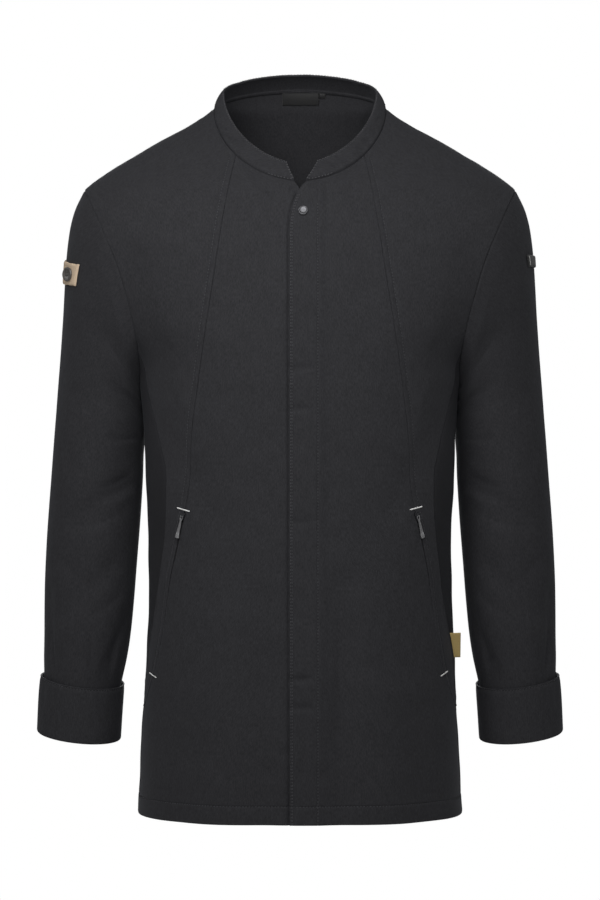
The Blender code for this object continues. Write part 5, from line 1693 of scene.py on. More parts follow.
def collar_points(share, turn):
    """Points between the neckline (share 0) and the collar's top edge (share 1), at turns in degrees."""
    share, turn = np.broadcast_arrays(np.asarray(share, float), np.asarray(turn, float))
    side = np.where(turn > 180.0, -1.0, 1.0)
    turn = np.minimum(turn, 360.0 - turn)
    at_front = turn < 90.0
    drop = np.where(at_front, -NECK_FRONT_DROP, NECK_BACK_RISE)
    cosine = np.abs(np.cos(np.radians(turn)))
    height = drop * cosine ** (2.0 / NECK_SQUARENESS)
    reach = np.clip(1.0 - (np.abs(height / drop)) ** NECK_SQUARENESS, 0.0, None)
    x = NECK_HALF_WIDTH * reach ** (1.0 / NECK_SQUARENESS)
    low = np.stack([x, section_y(x, height, at_front), height], axis=-1)
    power = 2.0 / COLLAR_TOP_SQUARENESS
    sine = np.sin(np.radians(turn)) ** power
    cosine = cosine**power
    y = np.where(at_front, -COLLAR_TOP_FRONT_DEPTH, COLLAR_TOP_BACK_DEPTH) * cosine
    rise = np.where(at_front, -COLLAR_TOP_FRONT_DROP, COLLAR_TOP_BACK_RISE) * cosine
    high = np.stack([COLLAR_TOP_HALF_WIDTH * sine, y, COLLAR_TOP_SIDE_HEIGHT + rise], axis=-1)
    up = high - low
    ahead = unit(up)
    points = low + up * share[..., None] + ahead * (JOIN_GAP * (1.0 - share))[..., None]
    return points * np.stack([side, np.ones_like(side), np.ones_like(side)], axis=-1)


def collar_piece(name, finish):
    """The stand collar, open at the front between its slanted ends."""
    middle = np.linspace(*COLLAR_MIDDLE, COLLAR_ROWS)
    shares = np.concatenate([COLLAR_BASE_SHARES, middle, 1.0 - COLLAR_RIM_SHARES])[:, None]
    in_front = np.linspace(COLLAR_EVEN_TURN, COLLAR_FRONT_TURN, COLLAR_FRONT_COLUMNS, endpoint=False)
    round_back = np.linspace(COLLAR_FRONT_TURN, 360.0 - COLLAR_FRONT_TURN, COLLAR_COLUMNS)
    even = np.concatenate([in_front, round_back, 360.0 - in_front[::-1]])
    ends = NECK_FIRST_TURN + COLLAR_END_TURNS
    turns = np.concatenate([ends, even, 360.0 - ends[::-1]])
    firsts = [NECK_FIRST_TURN + (first - NECK_FIRST_TURN) * shares for first in COLLAR_TOP_FIRST_TURNS]
    first = np.where(turns[None, :] < 180.0, firsts[0], firsts[1])
    scale = (180.0 - first) / (180.0 - NECK_FIRST_TURN)
    grid = collar_points(shares, 180.0 + (turns[None, :] - 180.0) * scale)
    normals = unit(np.cross(np.gradient(grid, axis=1), np.gradient(grid, axis=0)))
    rise = lengths_along(np.swapaxes(grid, 0, 1)).T
    base_share = ease(1.0 - rise / COLLAR_TUCK_REACH)[..., None]
    normals = unit(normals * (1.0 - base_share) + body_normals(grid[0])[None] * base_share)
    run = lengths_along(grid)
    from_ends = np.minimum(run, run[:, -1:] - run)
    from_top = rise[-1:] - rise
    rim = np.minimum(from_top, from_ends)
    push = COLLAR_BULGE * 4.0 * shares * (1.0 - shares) * np.ones_like(rim)
    push = push - STITCH_DEPTH * groove(rim - COLLAR_STITCH, STITCH_WIDTH)
    push = push + pucker(run, rim, "collar") + crease_push(COLLAR_CREASES, run - run[:, -1:] / 2.0, rise)
    at_front = 0.5 + 0.5 * np.cos(np.radians(turns))
    tuck = COLLAR_TUCK_BACK + (COLLAR_TUCK - COLLAR_TUCK_BACK) * at_front[None, :]
    push = push * (1.0 - base_share[..., 0]) + (body_push(grid[:1]) - tuck) * base_share[..., 0]
    grid = grid + normals * push[..., None]
    below = -(grid[1:2] - grid[:1])
    below = unit(below - normals[:1] * np.sum(below * normals[:1], axis=-1)[..., None])
    reach = np.array(JOIN_HIDDEN)[:, None, None]
    grid = np.concatenate([grid[:1] + below * reach, grid])
    normals = np.concatenate([np.repeat(normals[:1], len(JOIN_HIDDEN), axis=0), normals])
    rise = np.concatenate([np.repeat(-reach[..., 0], rise.shape[1], axis=1), rise]) + JOIN_HIDDEN[0]
    rim = np.concatenate([np.repeat(rim[:1], len(JOIN_HIDDEN), axis=0), rim])
    faces = wall_faces(grid, normals, COLLAR_WALL, np.minimum(rim, rise))
    return cloth_wall(name, *faces, finish), grid, normals


def sleeve_points(place, turn, side):
    """(points, normals) of a finished sleeve, still on the left; its top follows the body of its own side."""
    place, turn = np.broadcast_arrays(np.asarray(place, float), np.asarray(turn, float))
    base = sleeve_base(place, turn)
    inside = np.clip(place, PLACE_STEP, len(SLEEVE_RINGS) - 1 - PLACE_STEP)
    normals = tube_normals(sleeve_base, inside, turn)
    edge = armhole_point(turn)
    moved = body_normals(edge) * body_push(mirrored(edge, side))[..., None]
    carried = ease(1.0 - place * RING_SPACING / JOIN_CARRY)
    return base + normals * sleeve_push(place, turn)[..., None] + moved * carried[..., None], normals


def sleeve_piece(name, side, finish):
    """A set-in sleeve from the armhole, whose edge it goes under, to the fold of the cuff."""
    last = len(SLEEVE_RINGS) - 1.0
    places = np.concatenate([SLEEVE_FIRST_PLACES, np.linspace(SLEEVE_EVEN_PLACE, last, SLEEVE_ROWS)])[:, None]
    turns = np.linspace(0.0, 360.0, SLEEVE_COLUMNS, endpoint=False)[None, :]
    points, normals = sleeve_points(places, turns, side)
    edge = body_normals(armhole_point(turns))
    share = ease(1.0 - places * RING_SPACING / JOIN_TUCK_REACH)[..., None]
    normals = unit(normals * (1.0 - share) + edge * share)
    on_top = 0.5 + 0.5 * np.cos(np.radians(turns))
    sink = (JOIN_TUCK + (JOIN_TUCK_TOP - JOIN_TUCK) * on_top) * share[..., 0]
    from_seam = np.radians(np.abs(turns - SLEEVE_SEAM_TURN)) * TURN_RADIUS
    seam = SLEEVE_SEAM_DEPTH * groove(from_seam, SLEEVE_SEAM_WIDTH) * np.clip(places, 0.0, 1.0)
    gather = pucker(np.radians(turns) * GATHER_RADIUS, places * RING_SPACING, "armhole")
    gather = gather * (GATHER_LEAST + on_top)
    points = points + normals * (gather - sink - seam)[..., None]
    back_in = sleeve_base(0.0, turns) - sleeve_base(PLACE_STEP, turns)
    back_in = unit(back_in - edge * np.sum(back_in * edge, axis=-1)[..., None])
    hidden = points[:1] + back_in * np.array(JOIN_HIDDEN)[:, None, None]
    points = np.concatenate([hidden, points])
    normals = np.concatenate([np.repeat(edge, len(JOIN_HIDDEN), axis=0), normals])
    inner = points - WALL * normals
    outer, inner = mirrored(points, side), mirrored(inner, side)
    return cloth_wall(name, outer, inner, finish, closed=True), outer


def cuff_piece(name, side, finish):
    """The turned-back end of a sleeve: its outside, the roll at the bottom, and its short inside."""
    last = len(CUFF_RINGS) - 1.0
    turns = np.linspace(0.0, 360.0, CUFF_COLUMNS, endpoint=False)[None, :]
    rings = np.linspace(0.0, last - CUFF_ROLL_PLACES, CUFF_ROWS)
    path = [(place, CUFF_WALL * share) for place, share in CUFF_EDGE_PATH]
    path += [(place, 0.0) for place in rings[1:]]
    for i in range(1, CUFF_ROLL_STEPS + 1):
        angle = math.pi * i / CUFF_ROLL_STEPS
        depth = CUFF_ROLL_DEPTH * (1.0 - math.cos(angle)) / 2.0
        path.append((last - CUFF_ROLL_PLACES * (1.0 - math.sin(angle)), depth))
    folded = np.linspace(last - CUFF_ROLL_PLACES, last - CUFF_INSIDE_END, CUFF_INSIDE_STEPS)
    path += [(place, CUFF_ROLL_DEPTH) for place in folded[1:]]
    inside = (last - CUFF_INSIDE_TURN, last * CUFF_INSIDE_SHARE, CUFF_INSIDE_TOP)
    path += [(place, CUFF_WALL) for place in inside]
    places = np.array([place for place, _ in path])[:, None]
    depths = np.array([depth for _, depth in path])[:, None]
    base = cuff_base(places, turns)
    slope = (cuff_base(CUFF_SLOPE_PLACE, turns) - cuff_base(0.0, turns)) / CUFF_SLOPE_PLACE
    base = base + slope * np.minimum(places, 0.0)[..., None]
    clear = np.clip(places, PLACE_STEP, last - PLACE_STEP)
    normals = tube_normals(cuff_base, *np.broadcast_arrays(clear, turns))
    along = places * CUFF_RING_SPACING
    push = np.zeros(base.shape[:-1])
    angle = np.radians(turns)
    for lobes, wavelength, phase, height in CUFF_WAVES:
        push = push + height * np.sin(lobes * angle + phase + 2.0 * math.pi * along / wavelength)
    on_outside = (depths < CUFF_OUTSIDE_DEPTH).astype(float)
    around = sleeve_around(turns)
    push = push + crease_push(CUFF_CREASES, around, along) * on_outside
    push = push - STITCH_DEPTH * groove(along - CUFF_STITCH, STITCH_WIDTH) * on_outside
    push = push + pucker(around, along, "cuff") * on_outside
    points = mirrored(base + normals * (push - depths)[..., None], side)
    normals = mirrored(normals, side)
    return tube_ring(name, points, finish), points, normals


def tube_ring(name, points, finish):
    """A closed skin over a grid whose rows and columns both run round."""
    rows, columns = points.shape[:2]
    i, j = np.meshgrid(np.arange(rows), np.arange(columns), indexing="ij")
    i, j = i.ravel(), j.ravel()
    next_i, next_j = (i + 1) % rows, (j + 1) % columns
    here, there = i * columns, next_i * columns
    faces = np.stack([here + j, here + next_j, there + next_j, there + j], axis=1)
    looped = np.concatenate([points, points[:, :1]], axis=1)
    across = lengths_along(looped)
    down = np.mean(lengths_along(np.swapaxes(np.concatenate([looped, looped[:1]]), 0, 1)), axis=0)
    u = np.stack([across[i, j], across[i, j + 1], across[next_i, j + 1], across[next_i, j]], axis=1)
    v = np.stack([down[i], down[i], down[i + 1], down[i + 1]], axis=1)
    uvs = np.stack([u, -v], axis=-1)
    vertices = points.reshape(-1, 3)
    if signed_volume(vertices, faces) < 0.0:
        faces, uvs = faces[:, ::-1], uvs[:, ::-1]
    return new_piece(name, vertices, faces.tolist(), finish, uvs)


# ---- zips, labels, tapes and bar tacks


def slit_line(side, heights):
    """Points, normals and downward directions of the pocket slit at heights."""
    turns = np.array([float(turn_at_x(princess_x(z), z)) for z in heights])
    base = mirrored(body_base(turns, heights), side)
    normals = body_normals(base)
    points = base + normals * body_push(base)[..., None]
    down = unit(np.gradient(points, axis=0))
    return points, normals, down


def zip_tape_piece(name, side, finish):
    """The two tapes of the closed zip behind the slit, as one strip with a raised middle."""
    heights = np.linspace(POCKET_TOP - ZIP_END_ROOM, POCKET_BOTTOM + ZIP_END_ROOM, ZIP_ROWS)
    points, normals, down = slit_line(side, heights)
    across = np.cross(normals, down)
    reach = np.array(ZIP_REACHES) * ZIP_WIDTH
    rise = np.where(np.abs(reach) < ZIP_RIDGE_WIDTH, ZIP_RIDGE_RISE, 0.0)
    middle = points - normals * (WALL + ZIP_LAY)
    face = middle[:, None] + across[:, None] * reach[None, :, None]
    outer = face + normals[:, None] * rise[None, :, None]
    inner = face - normals[:, None] * ZIP_TAPE_WALL
    return cloth_wall(name, outer, inner, finish), outer


def zip_teeth_piece(name, side, finish):
    """The small teeth of the closed zip, left and right in turn."""
    top, bottom = POCKET_TOP - TEETH_TOP_ROOM, POCKET_BOTTOM + TEETH_BOTTOM_ROOM
    count = int((top - bottom) / TOOTH_STEP)
    heights = np.linspace(top, bottom, count)
    points, normals, down = slit_line(side, heights)
    across = np.cross(normals, down)
    turn_about = np.where(np.arange(count) % 2 == 0, 1.0, -1.0)[:, None]
    middle = points - normals * (WALL + ZIP_LAY - TOOTH_RISE) + across * turn_about * TOOTH_ASIDE
    corners = [middle + across * turn_about * x + down * y + normals * z for x, y, z in TOOTH_CORNERS]
    vertices = np.stack(corners, axis=1)
    each = len(TOOTH_CORNERS)
    faces = [tuple(i * each + v for v in face) for i in range(count) for face in BOX_FACES]
    return new_piece(name, vertices.reshape(-1, 3), faces, finish, smooth=False, mixed=True)


def strip_points(side, ends, rows, columns):
    """(points, normals) of a strip between two ends, each a turn with its top and bottom heights."""
    (turn1, top1, bottom1), (turn2, top2, bottom2) = ends
    turns = np.linspace(turn1, turn2, columns + 1)[None, :]
    tops = np.linspace(top1, top2, columns + 1)[None, :]
    bottoms = np.linspace(bottom1, bottom2, columns + 1)[None, :]
    heights = tops + (bottoms - tops) * np.linspace(0.0, 1.0, rows + 1)[:, None]
    return sleeve_points(strip_place(turns, heights), turns, side)


def sleeve_strip_piece(name, side, ends, rows, columns, thickness, ragged, finish):
    """A flat strip sewn on a sleeve, with cut edges that may be ragged."""
    points, normals = strip_points(side, ends, rows, columns)
    row_share = np.linspace(-1.0, 1.0, rows + 1)[:, None]
    column_share = np.linspace(-1.0, 1.0, columns + 1)[None, :]
    rim = np.minimum((1.0 - np.abs(row_share)), (1.0 - np.abs(column_share)) * columns / rows)
    if ragged:
        random = np.random.default_rng(RAGGED_SEED)
        down = unit(np.gradient(points, axis=0))
        teeth = random.uniform(-1.0, 1.0, (1, columns + 1)) * RAGGED
        at_edge = (np.abs(row_share) > STRIP_EDGE) * np.sign(row_share)
        points = points + down * at_edge[..., None] * teeth[..., None]
    puff = STRIP_PUFF * np.sqrt(np.clip(rim / STRIP_PUFF_REACH, 0.0, 1.0))
    full = STRIP_THIN_SHARE + (1.0 - STRIP_THIN_SHARE) * np.clip(rim / STRIP_THIN_REACH, 0.0, 1.0)
    inner = points + normals * SLEEVE_LAY_GAP
    outer = inner + normals * (thickness * full + puff)[..., None]
    outer, inner, normals = (mirrored(one, side) for one in (outer, inner, normals))
    return cloth_wall(name, outer, inner, finish), outer, normals


def inner_label_piece(name, x_range, z_range, rows, columns, finish):
    """A woven label against the inside of the back, folded under at its ends."""
    heights = np.linspace(z_range[0], z_range[1], rows + 1)[:, None]
    across = np.linspace(x_range[0], x_range[1], columns + 1)[None, :]
    heights, across = np.broadcast_arrays(heights, across)
    width, _, squareness = section(heights, False)
    share = (np.abs(across) / width) ** (squareness / 2.0)
    turns = 180.0 - np.sign(across) * np.degrees(np.arcsin(share))
    base = body_base(turns, heights)
    normals = body_normals(base)
    rim = np.minimum(across - x_range[0], x_range[1] - across)
    ends = LABEL_FOLD * ease(1.0 - rim / LABEL_FOLD_REACH)
    hang = LABEL_HANG * np.sin(math.pi * (heights - z_range[1]) / (z_range[0] - z_range[1]))
    inner_face = base + normals * (body_push(base) - WALL - LAY_GAP)[..., None]
    outer_face = inner_face - normals * (LABEL_WALL + ends + hang)[..., None]
    return cloth_wall(name, inner_face, outer_face, finish), outer_face, -normals


def side_label_piece(name, finish):
    """A folded flag that stands out of the left front side seam."""
    turn = math.radians(SIDE_LABEL_TURN)
    out = np.array([math.cos(turn), math.sin(turn), 0.0])
    aside = np.array([-out[1], out[0], 0.0])
    heights = np.linspace(*SIDE_LABEL_Z, SIDE_LABEL_STEPS)
    base = body_base(turn_at_y(side_y(heights, 1), heights), heights)
    normals = body_normals(base)
    root = base + normals * (body_push(base) + JOIN_GAP + LABEL_WALL)[..., None]
    shares = np.linspace(0.0, 1.0, SIDE_LABEL_STEPS)
    curl = SIDE_LABEL_CURL * np.sin(math.pi * shares)
    length = (SIDE_LABEL_OUTER_X - root[:, 0]) / out[0]
    reach = length[:, None, None] * shares[None, :, None]
    outer = root[:, None] + out * reach - aside * curl[None, :, None]
    thin, more, fold = SIDE_LABEL_FAT
    fat = LABEL_WALL * (thin + more * ease((shares - fold) / (1.0 - fold)))
    inner = outer + aside * fat[None, :, None]
    return cloth_wall(name, outer, inner, finish), outer


def bar_tack(points, normals, width, wraps):
    """Vertices and faces of a bar of close thread wraps along a line."""
    along = lengths_along(points)
    places = np.linspace(0.0, along[-1], wraps * TACK_STEPS + 1)
    middle = along_line(places, along, points)
    up = unit(along_line(places, along, normals))
    ahead = unit(np.gradient(middle, axis=0))
    across = np.cross(up, ahead)
    rows = len(places)
    step = np.arange(rows)
    wave = 0.5 + 0.5 * np.cos(2.0 * math.pi * step / TACK_STEPS)
    from_end = np.minimum(step, rows - 1 - step)
    narrow = TACK_END_SHARE + (1.0 - TACK_END_SHARE) * np.clip(from_end / TACK_STEPS, 0.0, 1.0)
    rings = []
    for k in range(TACK_SIDES):
        angle = 2.0 * math.pi * k / TACK_SIDES
        reach = (width / 2.0) * math.cos(angle) * narrow * (1.0 - TACK_WAVE_WIDTH * (1.0 - wave))
        rise = TACK_HEIGHT * math.sin(angle) * (1.0 - TACK_WAVE_HEIGHT * (1.0 - wave)) * narrow
        rings.append(middle + across * reach[:, None] + up * (rise + TACK_LIFT)[:, None])
    grid = np.stack(rings, axis=1)
    tips = middle + up * TACK_LIFT
    vertices = np.concatenate([grid.reshape(-1, 3), tips[:1], tips[-1:]])
    faces = []
    for low in range(0, (rows - 1) * TACK_SIDES, TACK_SIDES):
        high = low + TACK_SIDES
        for k in range(TACK_SIDES):
            m = (k + 1) % TACK_SIDES
            faces.append((low + k, low + m, high + m, high + k))
    first, last = rows * TACK_SIDES, rows * TACK_SIDES + 1
    for k in range(TACK_SIDES):
        m = (k + 1) % TACK_SIDES
        faces.append((first, m, k))
        faces.append((last, (rows - 1) * TACK_SIDES + k, (rows - 1) * TACK_SIDES + m))
    return vertices, faces


def bar_tack_piece(name, bars, finish):
    """Bars given as (points, normals, width, wraps), joined into one mesh."""
    return new_piece(name, *as_one([bar_tack(*bar) for bar in bars]), finish, mixed=True)


def on_front(x_from, z_from, x_to, z_to, lift):
    """Points and normals of a straight line over the front's cloth."""
    x = np.linspace(x_from, x_to, TACK_LINE_STEPS)
    z = np.linspace(z_from, z_to, TACK_LINE_STEPS)
    base = np.stack([x, section_y(x, z, True), z], axis=-1)
    normals = body_normals(base)
    return base + normals * (body_push(base) + lift)[..., None], normals


# ---- finishes


def add_node(tree, kind, values=None, links=None, **settings):
    """A node with its settings, the values of its inputs and the sockets that feed them."""
    node = tree.nodes.new(kind)
    for name, value in settings.items():
        setattr(node, name, value)
    for name, value in (values or {}).items():
        node.inputs[name].default_value = value
    for name, socket in (links or {}).items():
        tree.links.new(socket, node.inputs[name])
    return node


def new_material(name, colour, roughness, metallic=0.0):
    """(material, its tree, its shader) with plain values on the shader."""
    made = bpy.data.materials.new(name)
    made.use_nodes = True
    tree = made.node_tree
    shader = tree.nodes["Principled BSDF"]
    shader.inputs["Base Color"].default_value = colour
    shader.inputs["Roughness"].default_value = roughness
    shader.inputs["Metallic"].default_value = metallic
    return made, tree, shader


def shade_by(tree, shader, colour, patterns):
    """Multiplies the colour by patterns, each given as (socket, how far it strays from 1 both ways)."""
    amount = None
    for socket, spread in patterns:
        change = add_node(
            tree,
            "ShaderNodeMapRange",
            {"From Min": NOISE_LOW, "From Max": NOISE_HIGH, "To Min": 1.0 - spread, "To Max": 1.0 + spread},
            {"Value": socket},
            clamp=False,
        ).outputs["Result"]
        if amount is None:
            amount = change
            continue
        amount = add_node(
            tree, "ShaderNodeMath", None, {0: amount, 1: change}, operation="MULTIPLY"
        ).outputs["Value"]
    node = add_node(tree, "ShaderNodeVectorMath", {0: colour[:3]}, {"Scale": amount}, operation="SCALE")
    tree.links.new(node.outputs["Vector"], shader.inputs["Base Color"])


def raise_by(tree, shader, reliefs):
    """Bumps the surface by reliefs, each given as (socket, strength, height in metres)."""
    last = None
    for socket, strength, height in reliefs:
        links = {"Height": socket}
        if last is not None:
            links["Normal"] = last.outputs["Normal"]
        last = add_node(tree, "ShaderNodeBump", {"Strength": strength, "Distance": height}, links)
    tree.links.new(last.outputs["Normal"], shader.inputs["Normal"])


def twill(name, colour, heather, sheen, fade=None):
    """Brushed cotton twill of mixed dark yarns: matt, with short pale flecks and a faint bloom.

    The flecks are drawn 1.2 mm wide and the rib 1.5 mm, about twice their real size, so that they show.
    A fade is two heights, between which the cloth grows paler upwards: painted shade under the arm darkens it
    below them.
    """
    made, tree, shader = new_material(name, colour, TWILL_ROUGHNESS)
    cloth = add_node(tree, "ShaderNodeUVMap", uv_map="cloth_metres").outputs["UV"]
    down = add_node(
        tree, "ShaderNodeMapping", {"Scale": (1.0, 0.32, 1.0)}, {"Vector": cloth}
    ).outputs["Vector"]
    slant = add_node(
        tree, "ShaderNodeMapping", {"Rotation": (0.0, 0.0, math.radians(TWILL_SLANT))}, {"Vector": cloth}
    ).outputs["Vector"]
    fleck_noise = {"Scale": 1.0 / FLECK_WIDTH, "Detail": 3.0, "Roughness": 0.65}
    fleck = add_node(tree, "ShaderNodeTexNoise", fleck_noise, {"Vector": down}).outputs["Fac"]
    streak_noise = {"Scale": 0.25 / FLECK_WIDTH, "Detail": 2.0, "Roughness": 0.6}
    streak = add_node(tree, "ShaderNodeTexNoise", streak_noise, {"Vector": down}).outputs["Fac"]
    patch = add_node(
        tree, "ShaderNodeTexNoise", {"Scale": 38.0, "Detail": 4.0, "Roughness": 0.6}, {"Vector": cloth}
    ).outputs["Fac"]
    rib = add_node(
        tree,
        "ShaderNodeTexWave",
        {"Scale": WAVE_TURN / TWILL_RIB, "Distortion": 1.4, "Detail": 2.0, "Detail Scale": 1.5},
        {"Vector": slant},
        wave_type="BANDS",
        bands_direction="X",
    ).outputs["Fac"]
    patterns = [(fleck, heather), (streak, heather * STREAK_SHARE), (patch, PATCH_SPREAD), (rib, RIB_SPREAD)]
    # Painted shade under the arm: darker low on the side panels, paler towards the armhole
    if fade:
        place = add_node(tree, "ShaderNodeTexCoord").outputs["Object"]
        height = add_node(tree, "ShaderNodeSeparateXYZ", None, {"Vector": place}).outputs["Z"]
        limits = {"From Min": fade[0], "From Max": fade[1], "To Min": NOISE_LOW, "To Max": NOISE_HIGH}
        shade_share = add_node(tree, "ShaderNodeMapRange", limits, {"Value": height}).outputs["Result"]
        patterns.append((shade_share, SIDE_SHADE_SPREAD))
    shade_by(tree, shader, colour, patterns)
    raise_by(tree, shader, ((rib, *RIB_RELIEF), (fleck, *FLECK_RELIEF), (patch, *PATCH_RELIEF)))
    shader.inputs["Sheen Weight"].default_value = sheen
    shader.inputs["Sheen Roughness"].default_value = 0.42
    shader.inputs["Sheen Tint"].default_value = linear("#c8ccd6")
    shader.inputs["Specular IOR Level"].default_value = 0.25
    return made


def thread_finish(name, colour):
    """Spun polyester thread, a little smoother than cotton, so that each stitch catches the light."""
    made, tree, shader = new_material(name, colour, THREAD_ROUGHNESS)
    place = add_node(tree, "ShaderNodeTexCoord").outputs["Object"]
    fibre = add_node(
        tree, "ShaderNodeTexNoise", {"Scale": 320.0, "Detail": 2.0}, {"Vector": place}
    ).outputs["Fac"]
    shade_by(tree, shader, colour, ((fibre, FIBRE_SPREAD),))
    shader.inputs["Sheen Weight"].default_value = 0.10
    return made


def tape_finish(name, colour, rib_step, roughness, bloom):
    """Close-woven polyester tape: fine cross ribs and a low satin."""
    made, tree, shader = new_material(name, colour, roughness)
    cloth = add_node(tree, "ShaderNodeUVMap", uv_map="cloth_metres").outputs["UV"]
    rib = add_node(
        tree,
        "ShaderNodeTexWave",
        {"Scale": WAVE_TURN / rib_step, "Distortion": 0.4, "Detail": 1.0},
        {"Vector": cloth},
        wave_type="BANDS",
        bands_direction="Y",
    ).outputs["Fac"]
    speck = add_node(
        tree, "ShaderNodeTexNoise", {"Scale": 1500.0, "Detail": 2.0}, {"Vector": cloth}
    ).outputs["Fac"]
    shade_by(tree, shader, colour, ((speck, TAPE_SPECK_SPREAD), (rib, TAPE_RIB_SPREAD)))
    raise_by(tree, shader, ((rib, *TAPE_RELIEF),))
    shader.inputs["Sheen Weight"].default_value = bloom
    return made


def canvas_finish(name, colour):
    """Pale plain-woven cotton canvas: crossed uneven yarns that leave a soft grid."""
    made, tree, shader = new_material(name, colour, CANVAS_ROUGHNESS)
    cloth = add_node(tree, "ShaderNodeUVMap", uv_map="cloth_metres").outputs["UV"]
    ribs = []
    for direction in ("X", "Y"):
        ribs.append(add_node(
            tree,
            "ShaderNodeTexWave",
            {"Scale": WAVE_TURN / CANVAS_YARN, "Distortion": 1.2, "Detail": 1.0},
            {"Vector": cloth},
            wave_type="BANDS",
            bands_direction=direction,
        ).outputs["Fac"])
    weave = add_node(
        tree, "ShaderNodeMath", None, {0: ribs[0], 1: ribs[1]}, operation="MULTIPLY"
    ).outputs["Value"]
    speck = add_node(
        tree, "ShaderNodeTexNoise", {"Scale": 900.0, "Detail": 3.0}, {"Vector": cloth}
    ).outputs["Fac"]
    shade_by(tree, shader, colour, ((weave, WEAVE_SPREAD), (speck, CANVAS_SPECK_SPREAD)))
    raise_by(tree, shader, ((weave, *CANVAS_RELIEF),))
    return made


def metal_finish(name, colour, roughness, wear):
    """Stamped or cast metal whose polish is a little uneven from handling."""
    made, tree, shader = new_material(name, colour, roughness, 1.0)
    place = add_node(tree, "ShaderNodeTexCoord").outputs["Object"]
    smear = add_node(
        tree, "ShaderNodeTexNoise", {"Scale": 900.0, "Detail": 3.0}, {"Vector": place}
    ).outputs["Fac"]
    pit = add_node(
        tree, "ShaderNodeTexNoise", {"Scale": 1600.0, "Detail": 2.0}, {"Vector": place}
    ).outputs["Fac"]
    polish = add_node(
        tree,
        "ShaderNodeMapRange",
        {
            "From Min": SMEAR_LOW,
            "From Max": SMEAR_HIGH,
            "To Min": roughness - wear,
            "To Max": roughness + wear,
        },
        {"Value": smear},
    ).outputs["Result"]
    tree.links.new(polish, shader.inputs["Roughness"])
    shade_by(tree, shader, colour, ((smear, SMEAR_SPREAD),))
    raise_by(tree, shader, ((pit, *PIT_RELIEF),))
    return made


def button_finish(name, colour):
    """Polished dark polyester resin with faint horn-like streaks under a clear gloss."""
    made, tree, shader = new_material(name, colour, RESIN_ROUGHNESS)
    place = add_node(tree, "ShaderNodeTexCoord").outputs["Object"]
    down = add_node(
        tree, "ShaderNodeMapping", {"Scale": (1.0, 1.0, 0.25)}, {"Vector": place}
    ).outputs["Vector"]
    streak = add_node(
        tree, "ShaderNodeTexNoise", {"Scale": 420.0, "Detail": 3.0, "Roughness": 0.6}, {"Vector": down}
    ).outputs["Fac"]
    shade_by(tree, shader, colour, ((streak, RESIN_SPREAD),))
    shader.inputs["Coat Weight"].default_value = 0.4
    shader.inputs["Coat Roughness"].default_value = 0.12
    return made


# What makes each finish: its kind, then that kind's own settings
FINISH_KINDS = {
    "charcoal_twill": (twill, 0.34, 0.10),
    # The side panels' twill: darker colour and a height fade that are painted shade under the arms
    "dark_side_twill": (twill, 0.20, 0.05, SIDE_SHADE_HEIGHTS),
    "black_zip_tape": (tape_finish, 0.0012, 0.75, 0.1),
    "black_woven_label": (tape_finish, 0.0009, 0.55, 0.2),
    "tan_woven_label": (tape_finish, 0.0009, 0.7, 0.1),
    "tan_canvas": (canvas_finish,),
    "charcoal_thread": (thread_finish,),
    "pale_edge_thread": (thread_finish,),
    "white_thread": (thread_finish,),
    "grey_thread": (thread_finish,),
    "black_zip_teeth": (metal_finish, 0.45, 0.08),
    "gunmetal": (metal_finish, 0.40, 0.08),
    "brushed_steel": (metal_finish, 0.42, 0.08),
    "pull_steel": (metal_finish, 0.50, 0.08),
    "dark_button": (button_finish,),
}
FINISHES = {}


def material_of(name):
    """The shared material of that name, in its colour of the looks, made on first use."""
    if name not in FINISHES:
        kind, *settings = FINISH_KINDS[name]
        colour = tuple(getattr(bpy.context.scene.jacket_looks, name))
        FINISHES[name] = kind(name, colour, *settings)
    return FINISHES[name]


# ---- hard pieces: sliders, pulls, the stud's cap and the button


def frame_at(point, normal, along):
    """A matrix whose Z is the normal and whose Y is nearest to the direction given."""
    z_axis = Vector(normal).normalized()
    y_axis = Vector(along) - z_axis * Vector(along).dot(z_axis)
    y_axis.normalize()
    x_axis = y_axis.cross(z_axis)
    turned = Matrix((x_axis, y_axis, z_axis)).transposed().to_4x4()
    return Matrix.Translation(Vector(point)) @ turned


def edit_faces(piece, wanted):
    """Enters edit mode with only the faces selected whose middle and normal pass a test."""
    bpy.ops.object.mode_set(mode="EDIT")
    bpy.ops.mesh.select_mode(type="FACE")
    bpy.ops.mesh.select_all(action="DESELECT")
    made = bmesh.from_edit_mesh(piece.data)
    for face in made.faces:
        face.select_set(bool(wanted(face.calc_center_median(), face.normal)))
    bmesh.update_edit_mesh(piece.data)


def new_box(name, low, high):
    """A box between two corners, selected and active."""
    bpy.ops.object.select_all(action="DESELECT")
    middle = [(l + h) / 2.0 for l, h in zip(low, high)]
    bpy.ops.mesh.primitive_cube_add(size=1.0, location=middle, scale=[h - l for l, h in zip(low, high)])
    bpy.ops.object.transform_apply(location=True, rotation=True, scale=True)
    bpy.context.object.name = name
    return bpy.context.object


def stepped_disc(name, radius, height, steps):
    """A disc whose face is inset and raised step by step: each step is an inset and a rise."""
    bpy.ops.object.select_all(action="DESELECT")
    bpy.ops.mesh.primitive_cylinder_add(
        vertices=DISC_SIDES, radius=radius, depth=height, location=(0.0, 0.0, height / 2.0)
    )
    bpy.ops.object.transform_apply(location=True, rotation=True, scale=True)
    piece = bpy.context.object
    piece.name = name
    edit_faces(piece, lambda middle, normal: normal.z > FACING)
    for inset, rise in steps:
        bpy.ops.mesh.inset(thickness=inset, depth=rise)
    bpy.ops.object.mode_set(mode="OBJECT")
    return piece


def cut_away(piece, cutter):
    """Cuts one piece out of another and removes the cutter."""
    bpy.ops.object.select_all(action="DESELECT")
    bpy.context.view_layer.objects.active = piece
    piece.select_set(True)
    change = piece.modifiers.new("cut", "BOOLEAN")
    change.operation = "DIFFERENCE"
    change.solver = "EXACT"
    change.object = cutter
    bpy.ops.object.modifier_apply(modifier=change.name)
    bpy.data.objects.remove(cutter)


